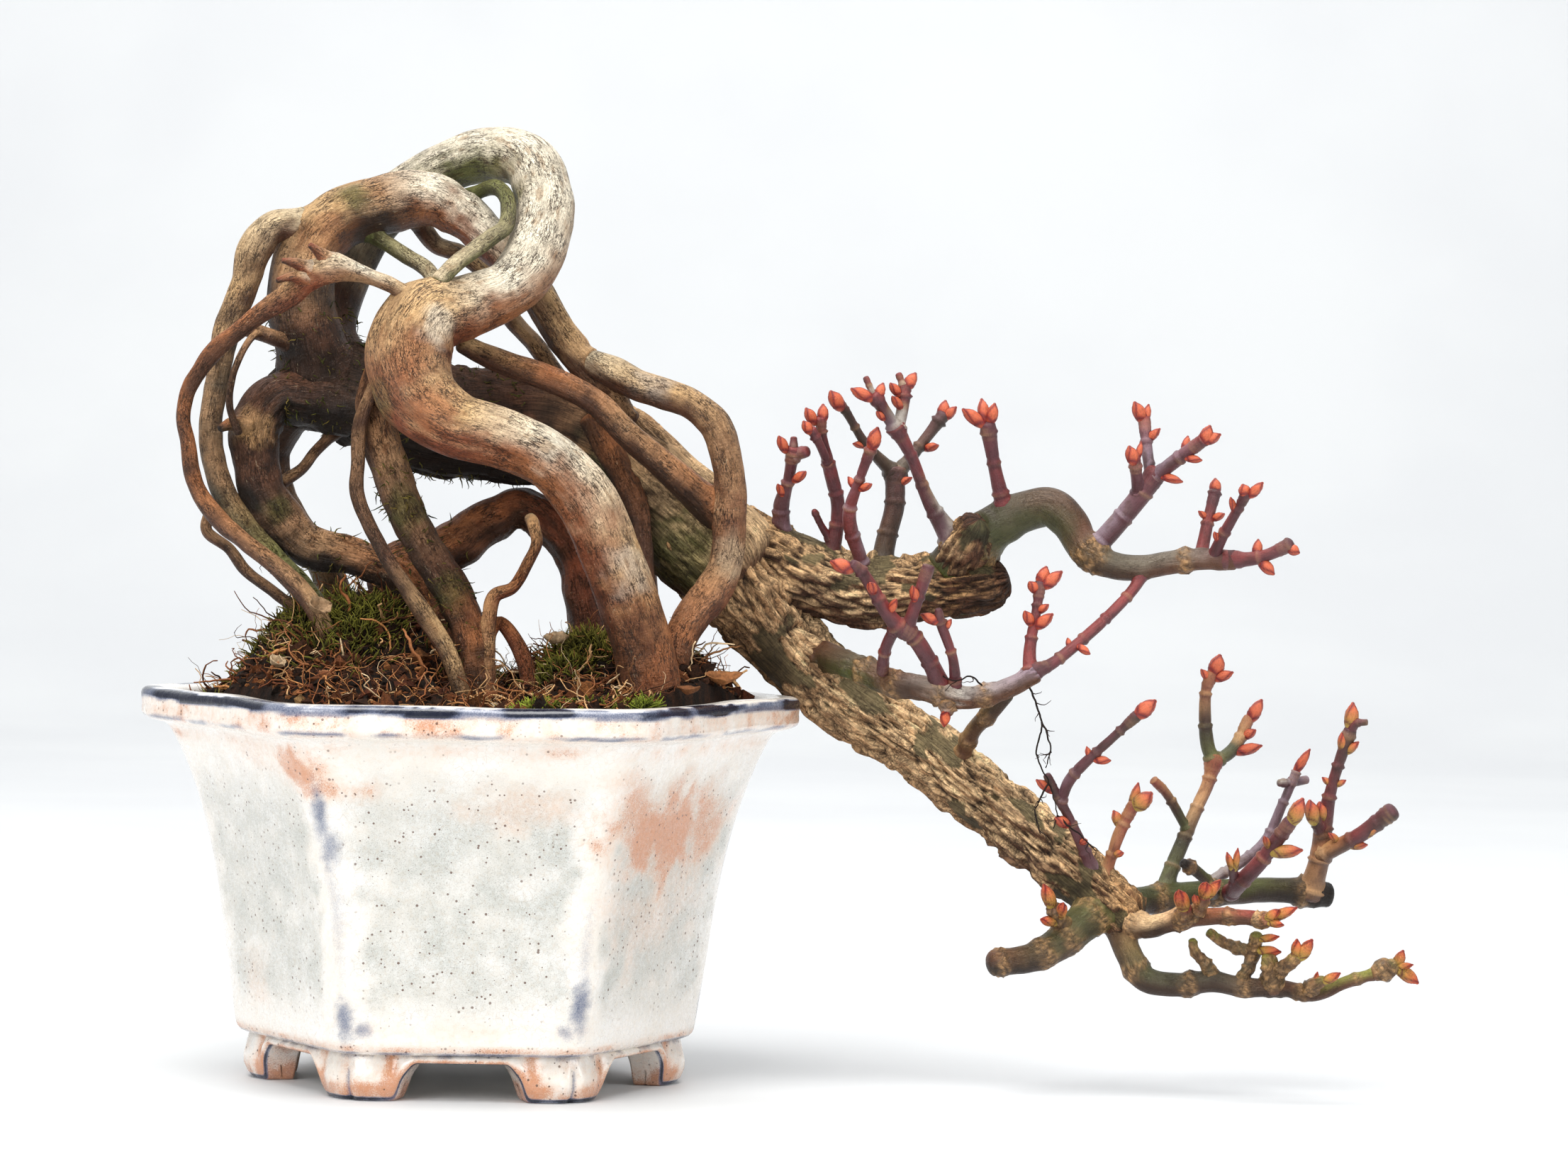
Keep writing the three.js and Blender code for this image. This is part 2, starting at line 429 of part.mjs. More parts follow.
      [[167, 8, 45, 1.6], [170.5, 11, 48, 1.3], [182, 15, 56, 1.3], [186.5, 16, 65.5, 1.1],
        [189.5, 16, 73, 1]],
      [[185.5, 14, 70.5, 0.9], [188, 16, 70.5, 1], [192, 19, 71, 1]],
    ],
    buds: [[189, 16, 72.5, 192.5, 15, 78.5, 2]],
  },
  low_shoot_5: {
    stems: [
      [[174, 5, 45.5, 1.9], [176, -2, 49, 1.9], [180, -5, 54, 1.8], [186, -10, 63.5, 1.6]],
      [[174.5, 0, 48, 1.1], [173.5, -6, 52.5, 1]],
    ],
    buds: [
      [186, -10, 62.5, 188.5, -12, 69, 3.2], [181.5, -7, 57, 180, -11, 60, 1.4],
      [181.5, -7, 56, 189, -10, 57, 2.7], [173.5, -6, 51.5, 172, -7, 56, 1.4],
      [174, -6, 51.5, 174.5, -7, 57, 1.4],
    ],
  },
  low_shoot_6: {
    stems: [
      [[192.5, 11, 45, 2.8], [194.5, 10, 52.5, 2.4], [195.5, 9, 62, 2], [197, 7, 71, 1.3],
        [200.5, 5, 83.5, 1.5]],
      [[195, 9, 54.5, 2], [203.5, 3, 60, 1.8], [210, 0, 65.5, 2.1]],
      [[195.5, 9, 58.5, 1.5], [193, 6, 63, 1.3]],
      [[199.5, 6, 80, 1], [201.5, 4, 85, 1], [204, 3, 85.5, 0.6]],
    ],
    buds: [
      [200.5, 5, 83, 201, 5, 90, 2.9], [197, 7, 70.5, 194.5, 7, 72.5, 1.3], [197.5, 7, 70.5, 200, 6, 72, 1.3],
      [199, 6, 78, 198.5, 4, 83, 1.9], [199.5, 6, 78, 202.5, 4, 81, 1.8], [193, 6, 61.5, 191.5, 4, 67.5, 2.9],
      [195, 8, 62, 194, 6, 67, 2.4], [203.5, 3, 59, 208, 0, 63.5, 2.3], [200.5, 5, 57, 205, 3, 57.5, 1.8],
      [199, 6, 57.5, 196, 4, 60, 1.5],
    ],
  },
};

// The soil's two mounds, the higher one left of the middle.
const MOUNDS = [
  { x: -26, y: -2, spreadX: 24, spreadY: 30, height: 23 },
  { x: 34, y: -2, spreadX: 24, spreadY: 30, height: 14 },
];

// Moss cushions: centre x, y, and half sizes in x, y, z.
const MOSS = {
  moss_left: [-29, -22, 13, 9, 11],
  moss_right: [28, -9, 9, 8, 9],
  moss_front: [16, -49, 7, 5, 5],
  moss_front_right: [41, -44, 6, 5, 5],
};

// A leaf lying on the soil; turn and tilt are in degrees.
const FALLEN_LEAF = { x: 58, y: -14, z: 92, length: 8, width: 4, turn: 20, tilt: 25 };

// Where a point of the wood stands over this pot: raised with the rim, and carried out past it.
function placed(x, y, z) {
  return new THREE.Vector3(x + SHIFT * THREE.MathUtils.smoothstep(x, SHIFT_FROM, SHIFT_TO), y, z + LIFT);
}

function solidOf(geometry) {
  const bare = geometry.clone();
  bare.deleteAttribute("normal");
  bare.deleteAttribute("uv");
  const merged = mergeVertices(bare, 1e-4);
  const corners = merged.index.array;
  const kept = [];
  for (let i = 0; i < corners.length; i += 3) {
    const [a, b, c] = [corners[i], corners[i + 1], corners[i + 2]];
    if (a !== b && b !== c && c !== a) kept.push(a, b, c);
  }
  return new wasm.Manifold(
    new wasm.Mesh({
      numProp: 3,
      vertProperties: merged.attributes.position.array,
      triVerts: new Uint32Array(kept),
    }),
  );
}

function geometryOf(solid) {
  const mesh = solid.getMesh();
  const geometry = new THREE.BufferGeometry();
  const positions = new Float32Array(mesh.numVert * 3);
  for (let i = 0; i < mesh.numVert; i++) {
    positions.set(mesh.vertProperties.subarray(i * mesh.numProp, i * mesh.numProp + 3), i * 3);
  }
  geometry.setAttribute("position", new THREE.BufferAttribute(positions, 3));
  geometry.setIndex(new THREE.BufferAttribute(new Uint32Array(mesh.triVerts), 1));
  geometry.computeVertexNormals();
  return geometry;
}

function largestOf(solid) {
  const pieces = solid.decompose();
  return pieces.reduce((best, piece) => (piece.volume() > best.volume() ? piece : best));
}

// A tapered sweep: a cylinder bent along the curve through the points, widened by grow.
function sweep(points, grow = 0) {
  const curve = new THREE.CatmullRomCurve3(points.map(([x, y, z]) => placed(x, y, z)));
  const widths = new THREE.CatmullRomCurve3(points.map(([, , , r], i) => new THREE.Vector3(r, i, 0)));
  const thickest = Math.max(...points.map((point) => point[3]));
  const sides = thickest > 4 ? 9 : thickest > 1.7 ? 7 : 5;
  const steps = Math.max(2, Math.round(curve.getLength() / (STEP + 1.1 * thickest)));
  const frames = curve.computeFrenetFrames(steps, false);
  const bent = new THREE.CylinderGeometry(1, 1, 1, sides, steps);
  const position = bent.attributes.position;
  for (let i = 0; i < position.count; i++) {
    const step = Math.round((position.getY(i) + 0.5) * steps);
    const along = step / steps;
    const radius = widths.getPoint(curve.getUtoTmapping(along)).x + grow;
    const place = curve.getPointAt(along);
    place.addScaledVector(frames.normals[step], position.getX(i) * radius);
    place.addScaledVector(frames.binormals[step], -position.getZ(i) * radius);
    if (step === 0) place.addScaledVector(frames.tangents[0], -grow);
    if (step === steps) place.addScaledVector(frames.tangents[steps], grow);
    position.setXYZ(i, place.x, place.y, place.z);
  }
  return solidOf(bent);
}

// A bud is a small spindle from its base to its tip.
function bud([x1, y1, z1, x2, y2, z2, width], grow = 0) {
  const base = placed(x1, y1, z1);
  const tip = placed(x2, y2, z2);
  const length = base.distanceTo(tip);
  const spindle = new THREE.OctahedronGeometry(1);
  spindle.scale(width / 2 + grow, length / 2 + grow, width / 2 + grow);
  const turn = new THREE.Quaternion().setFromUnitVectors(
    new THREE.Vector3(0, 1, 0),
    tip.clone().sub(base).normalize(),
  );
  spindle.applyQuaternion(turn);
  const middle = base.add(tip).multiplyScalar(0.5);
  spindle.translate(middle.x, middle.y, middle.z);
  return solidOf(spindle);
}

// A limb is one list of points, or several stems that grew together with the buds on them.
function limb(one, grow = 0) {
  if (Array.isArray(one)) return sweep(one, grow);
  const { stems, buds } = one;
  const pieces = [...stems.map((stem) => sweep(stem, grow)), ...buds.map((one) => bud(one, grow))];
  return pieces.reduce((whole, piece) => whole.add(piece));
}

// How far a rounded hexagon reaches at an angle, as a share of its corner radius.
function hexagonReach(angle) {
  let sum = 0;
  for (let face = 0; face < 6; face++) {
    const reach = Math.cos(angle - THREE.MathUtils.degToRad(30 + 60 * face));
    if (reach > 0) sum += reach ** CORNER_SHARPNESS;
  }
  const corner = 2 * Math.cos(Math.PI / 6) ** CORNER_SHARPNESS;
  return (corner / sum) ** (1 / CORNER_SHARPNESS);
}

// A lathe whose round sections are drawn out into rounded hexagons.
function hexagonLathe(profile, segments = 36) {
  const lathe = new THREE.LatheGeometry(profile.map(([r, z]) => new THREE.Vector2(r, z)), segments);
  lathe.rotateX(Math.PI / 2);
  const position = lathe.attributes.position;
  for (let i = 0; i < position.count; i++) {
    const reach = hexagonReach(Math.atan2(position.getY(i), position.getX(i)));
    position.setXYZ(i, position.getX(i) * reach, position.getY(i) * reach, position.getZ(i));
  }
  lathe.rotateZ(THREE.MathUtils.degToRad(POT_TURN));
  return solidOf(lathe);
}

// The wall sweeps out in a hollow curve from its base to the neck under the rim.
function wallRadius(z) {
  const share = (z - FOOT_HEIGHT) / (BAND_BOTTOM - FOOT_HEIGHT);
  const flare = NECK_RADIUS - BASE_RADIUS;
  return BASE_RADIUS + flare * (0.55 * share + 0.45 * share ** 4);
}

function wallHeights(from, to, count) {
  return Array.from({ length: count + 1 }, (_, i) => from + ((to - from) * i) / count);
}

function pot() {
  const outside = wallHeights(FOOT_HEIGHT + 1, BAND_BOTTOM - EDGE_ROUND, 7).map((z) => [wallRadius(z), z]);
  const inside = insideHeights().reverse().map((z) => [insideRadius(z), z]);
  const body = hexagonLathe([
    [0, FOOT_HEIGHT],
    [BASE_RADIUS - EDGE_ROUND, FOOT_HEIGHT],
    ...outside,
    [RIM_RADIUS - EDGE_ROUND, BAND_BOTTOM],
    [RIM_RADIUS, BAND_BOTTOM + EDGE_ROUND],
    [RIM_RADIUS, RIM_TOP - EDGE_ROUND],
    [RIM_RADIUS - EDGE_ROUND, RIM_TOP],
    [RIM_RADIUS - RIM_WIDTH, RIM_TOP],
    ...inside,
    [insideRadius(POT_FLOOR) - FLOOR_COVE, POT_FLOOR],
    [0, POT_FLOOR],
  ]);
  const footTop = (FOOT_HEIGHT + POT_FLOOR) / 2;
  const ring = hexagonLathe([
    [FOOT_RADIUS - FOOT_WIDTH, 0],
    [FOOT_RADIUS - EDGE_ROUND, 0],
    [FOOT_RADIUS, EDGE_ROUND],
    [FOOT_RADIUS, FOOT_HEIGHT / 2],
    [FOOT_RADIUS - EDGE_ROUND, footTop],
    [FOOT_RADIUS - FOOT_WIDTH, footTop],
    [FOOT_RADIUS - FOOT_WIDTH, 0],
  ]);
  let feet = ring;
  for (let face = 0; face < 6; face++) feet = feet.subtract(archCutter(face));
  const drain = new THREE.CylinderGeometry(DRAIN_RADIUS, DRAIN_RADIUS, 4 * FLOOR_THICKNESS, 20);
  drain.rotateX(Math.PI / 2);
  drain.translate(0, 0, POT_FLOOR);
  return body.add(feet).subtract(solidOf(drain));
}

// The inner wall and the soil in it are both straight between these heights.
function insideHeights() {
  return wallHeights(POT_FLOOR + FLOOR_COVE, RIM_TOP - 1, 5);
}

// Radius of the inner wall's straight lines at a height between them.
function insideLine(z) {
  const heights = insideHeights();
  const above = heights.findIndex((height) => height >= z);
  const [low, high] = heights.slice(above - 1, above + 1);
  return THREE.MathUtils.mapLinear(z, low, high, insideRadius(low), insideRadius(high));
}

// The inside follows the wall, and closes in to the flat rim near the top.
function insideRadius(z) {
  const wall = wallRadius(Math.min(z, BAND_BOTTOM)) - WALL;
  const lip = RIM_RADIUS - RIM_WIDTH;
  const lipDepth = 3 * RIM_BAND;
  const share = Math.max(0, (z - (RIM_TOP - lipDepth)) / lipDepth);
  return Math.min(wall + (lip - wall) * share, lip);
}

// The flat-topped opening in the middle of one face of the foot ring.
function archCutter(face) {
  const outline = new THREE.Shape();
  const atFloor = (ARCH_WIDTH + ARCH_SLOPE) / 2;
  const atTop = (ARCH_WIDTH - ARCH_SLOPE) / 2;
  outline.moveTo(-atFloor, -1);
  outline.lineTo(atFloor, -1);
  outline.lineTo(atTop, ARCH_HEIGHT);
  outline.lineTo(-atTop, ARCH_HEIGHT);
  outline.closePath();
  const cutter = new THREE.ExtrudeGeometry(outline, { depth: 3 * FOOT_WIDTH, bevelEnabled: false });
  cutter.rotateX(Math.PI / 2);
  cutter.rotateZ(Math.PI);
  cutter.translate(0, FOOT_RADIUS - 2 * FOOT_WIDTH, 0);
  cutter.rotateZ(THREE.MathUtils.degToRad(POT_TURN + 60 * face));
  return solidOf(cutter);
}

// Height of the soil's mounds above its edge.
function moundHeight(x, y) {
  return MOUNDS.reduce((height, mound) => {
    const across = (x - mound.x) / mound.spreadX;
    const deep = (y - mound.y) / mound.spreadY;
    return height + mound.height * Math.exp(-(across ** 4) - deep * deep);
  }, 0);
}

function soilEdge() {
  return RIM_TOP - SOIL_BELOW_RIM;
}

function soil(raise = 0) {
  const edge = soilEdge();
  const under = POT_FLOOR + GAP;
  const reach = insideLine(edge) - 2 * GAP;
  const lowest = under + FLOOR_COVE;
  const heights = [lowest, ...insideHeights().filter((z) => z > lowest && z < edge), edge];
  const sides = heights.map((z) => [insideLine(z) - 2 * GAP, z]);
  const rings = [0.85, 0.68, 0.5, 0.34, 0.17].map((share) => [reach * share, edge + 0.5]);
  const bottom = insideRadius(under) - FLOOR_COVE - GAP;
  const profile = [[0, under], [bottom, under], ...sides, ...rings, [0, edge + 0.5]];
  return hexagonLathe(profile, 24).warp((vertex) => {
    if (vertex[2] > edge + GAP) vertex[2] += moundHeight(vertex[0], vertex[1]);
    if (vertex[2] > edge - 1) vertex[2] += raise;
  });
}

// The space above the soil's edge and inside the rim, which the moss keeps to.
function rimSpace() {
  const reach = insideLine(soilEdge()) - 2 * GAP;
  const bottom = soilEdge() + GAP;
  const top = RIM_TOP + RIM_RADIUS;
  return hexagonLathe([[0, bottom], [reach, bottom], [reach, top], [0, top]]);
}

function mossCushion([x, y, halfX, halfY, halfZ]) {
  const cushion = new THREE.SphereGeometry(1, 10, 7);
  cushion.rotateX(Math.PI / 2);
  cushion.scale(halfX, halfY, halfZ);
  cushion.translate(x, y, soilEdge() + moundHeight(x, y));
  return solidOf(cushion);
}

// A block given by its sizes and the middle of its underside.
function block(sizeX, sizeY, sizeZ, x, y, z) {
  const box = new THREE.BoxGeometry(sizeX, sizeY, sizeZ);
  box.translate(x, y, z + sizeZ / 2);
  return solidOf(box);
}

function drainMesh() {
  const pitch = MESH_SIDE / 4;
  const opening = 0.72 * pitch;
  let sheet = block(MESH_SIDE, MESH_SIDE, MESH_THICKNESS, 0, 0, POT_FLOOR + GAP);
  for (const column of [-1, 0, 1]) {
    for (const row of [-1, 0, 1]) {
      const cut = block(opening, opening, 3 * MESH_THICKNESS, column * pitch, row * pitch, POT_FLOOR - GAP);
      sheet = sheet.subtract(cut);
    }
  }
  return sheet;
}

// A staple of wire: over the mesh, down through the drain hole, and bent out under the pot's floor.
function meshWire(grow = 0) {
  const leg = MESH_SIDE / 4;
  const over = POT_FLOOR + GAP + MESH_THICKNESS + WIRE_RADIUS + GAP;
  const below = FOOT_HEIGHT - WIRE_RADIUS - 2 * GAP;
  const half = [
    [leg - WIRE_BEND, over], [leg, over], [leg, over - WIRE_BEND], [leg, below + WIRE_BEND],
    [leg, below], [leg + WIRE_BEND, below], [leg + WIRE_HOOK, below],
  ];
  const left = half.map(([x, z]) => [-x, 0, z - LIFT, WIRE_RADIUS]).reverse();
  const right = half.map(([x, z]) => [x, 0, z - LIFT, WIRE_RADIUS]);
  return sweep([...left, ...right], grow);
}

// A fallen leaf: a pointed oval, curled up along its length.
function fallenLeaf({ x, y, z, length, width, turn, tilt }) {
  const outline = new THREE.Shape();
  outline.moveTo(-length / 2, 0);
  outline.quadraticCurveTo(0, -width, length / 2, 0);
  outline.quadraticCurveTo(0, width, -length / 2, 0);
  const extrusion = { depth: LEAF_THICKNESS, bevelEnabled: false, curveSegments: 5 };
  const leaf = new THREE.ExtrudeGeometry(outline, extrusion);
  const position = leaf.attributes.position;
  for (let i = 0; i < position.count; i++) {
    position.setZ(i, position.getZ(i) + (position.getX(i) / length) ** 2 * length * 0.5);
  }
  leaf.rotateX(THREE.MathUtils.degToRad(tilt));
  leaf.rotateZ(THREE.MathUtils.degToRad(turn));
  leaf.translate(...placed(x, y, z).toArray());
  return solidOf(leaf);
}

const plant = new THREE.Group();
const taken = []; // every solid placed so far, widened by the clearance

function touches(a, b) {
  return a.min.every((low, axis) => low < b.max[axis] && b.min[axis] < a.max[axis]);
}

function trimmed(solid) {
  const box = solid.boundingBox();
  let left = solid;
  for (const other of taken) {
    if (touches(box, other.boundingBox())) left = left.subtract(other);
  }
  return largestOf(left);
}

function place(name, solid, finish) {
  const mesh = new THREE.Mesh(geometryOf(solid), finish);
  mesh.name = name;
  plant.add(mesh);
}

function grow(name, build, finish) {
  place(name, trimmed(build(0)), finish);
  taken.push(build(GAP));
}

grow("trunk", (by) => sweep(ROOTS.trunk, by), finishes.bark);
grow("cascade", (by) => sweep(BRANCHES.cascade, by), finishes.bark);
for (const [name, one] of Object.entries(ROOTS)) {
  if (name !== "trunk") grow(name, (by) => limb(one, by), finishes.root);
}
for (const [name, one] of Object.entries(BRANCHES)) {
  if (name !== "cascade") grow(name, (by) => limb(one, by), finishes.twig);
}
for (const [name, one] of Object.entries(SHOOTS)) {
  grow(name, (by) => limb(one, by), finishes.shoot);
}
place("fallen_leaf", trimmed(fallenLeaf(FALLEN_LEAF)), finishes.leaf);

place("pot", pot(), finishes.glaze);
place("mesh_wire", meshWire(), finishes.wire);
place("drain_mesh", largestOf(drainMesh().subtract(meshWire(GAP))), finishes.plastic);
const meshHeight = MESH_THICKNESS + 2 * WIRE_RADIUS + 6 * GAP;
const meshRoom = MESH_SIDE + 4 * GAP;
const meshSpace = block(meshRoom, meshRoom, meshHeight, 0, 0, POT_FLOOR);
place("soil", trimmed(soil().subtract(meshSpace)), finishes.soil);
taken.push(soil(2 * GAP));
const space = rimSpace();
for (const [name, cushion] of Object.entries(MOSS)) {
  place(name, trimmed(mossCushion(cushion).intersect(space)), finishes.moss);
}

// The origin is the middle of the whole object's box, on the surface it stands on.
const box = new THREE.Box3().setFromObject(plant);
plant.position.set(-(box.min.x + box.max.x) / 2, -(box.min.y + box.max.y) / 2, -box.min.z);

const bonsai = new THREE.Group();
bonsai.add(plant);
export default bonsai;
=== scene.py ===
"""A small cascading bonsai with looping roots, in a six-sided glazed pot.

Lengths in the tables are millimetres from the middle of the pot at the floor, y away from the front.
Every limb is a list of points x, y, z, radius; the last step turns them into metres in the model's frame.
"""
import math

import bpy
import numpy as np
from mathutils import Matrix, Vector


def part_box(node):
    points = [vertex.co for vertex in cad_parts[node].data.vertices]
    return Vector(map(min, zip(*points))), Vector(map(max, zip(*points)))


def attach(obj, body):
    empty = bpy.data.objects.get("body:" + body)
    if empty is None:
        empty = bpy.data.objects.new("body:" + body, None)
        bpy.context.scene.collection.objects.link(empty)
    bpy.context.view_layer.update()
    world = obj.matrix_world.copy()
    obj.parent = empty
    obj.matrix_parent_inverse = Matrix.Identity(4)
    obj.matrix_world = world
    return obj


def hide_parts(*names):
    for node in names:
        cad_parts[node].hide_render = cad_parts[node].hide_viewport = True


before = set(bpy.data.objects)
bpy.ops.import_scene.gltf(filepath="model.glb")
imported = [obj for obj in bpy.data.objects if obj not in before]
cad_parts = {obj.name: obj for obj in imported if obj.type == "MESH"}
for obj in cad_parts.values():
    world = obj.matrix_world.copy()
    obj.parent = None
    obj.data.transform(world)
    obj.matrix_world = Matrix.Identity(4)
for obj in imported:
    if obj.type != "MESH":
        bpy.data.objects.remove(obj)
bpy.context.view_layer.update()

MM = 0.001
pot_low, pot_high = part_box("pot")
POT_AXIS = np.array([(pot_low[0] + pot_high[0]) / 2, (pot_low[1] + pot_high[1]) / 2, 0.0])

# The pot's driving sizes.
RIM_RADIUS = 75.0
RIM_TOP = 88.5
RIM_BAND = 7.0
RIM_WIDTH = 8.0
NECK_RADIUS = 69.5
BASE_RADIUS = 52.0
FOOT_HEIGHT = 10.3
FOOT_RADIUS = 50.5
FOOT_WIDTH = 9.0
ARCH_WIDTH = 25.0
ARCH_HEIGHT = 8.5
ARCH_SLOPE = 5.5
WALL = 6.0
FLOOR_THICKNESS = 5.0
DRAIN_RADIUS = 8.0
SOIL_BELOW_RIM = 3.5
POT_TURN = math.radians(2.4)
CORNER_SHARPNESS = 22.0
POT_FLOOR = FOOT_HEIGHT + FLOOR_THICKNESS
BAND_BOTTOM = RIM_TOP - RIM_BAND
SOIL_EDGE = RIM_TOP - SOIL_BELOW_RIM

# How finely the wood is meshed: the pitch of its rings on limbs and on twigs, and what counts as a twig.
MESH_STEP = 0.62
TWIG_STEP = 0.5
TWIG_RADIUS = 2.4

# How finely the pot is meshed, how unevenly it was thrown, and how closely its outline is rounded.
POT_AROUND = 456
FEET_AROUND = 720
POT_WOBBLE = 0.35
OUTLINE_STEP = 0.92

# How much loose stuff lies on the soil, how far out it lies as a share of the way to the pot, and the
# seeds of its scatter.
CRUMB_COUNT = 5200
BIG_CRUMB_ODDS = 0.09
BIG_CRUMB_SIZE = 2.3
ROOTLET_COUNT = 1700
SOIL_SHARE = 0.96
SEEDS = {"crumbs": 5, "rootlets": 11, "moss": 23, "threads": 31, "wood moss": 37}

# Winter buds: how much fuller than their tabled width, and their mesh.
BUD_FULLNESS = 1.25
BUD_RINGS = 21
BUD_AROUND = 20
BUD_SCALES = (0.36, 0.99)
BUD_HEART = 3.0

# Leaf scars along a shoot, and those crowded behind its tip.
SCAR_PITCH = 7.5
SCAR_START = 2.5
TIP_SCARS = (0.8, 1.8, 2.8)

# How far the wood's long pattern is drawn out along it.
ALONG_GRAIN = [1.0, 1.0, 0.16]

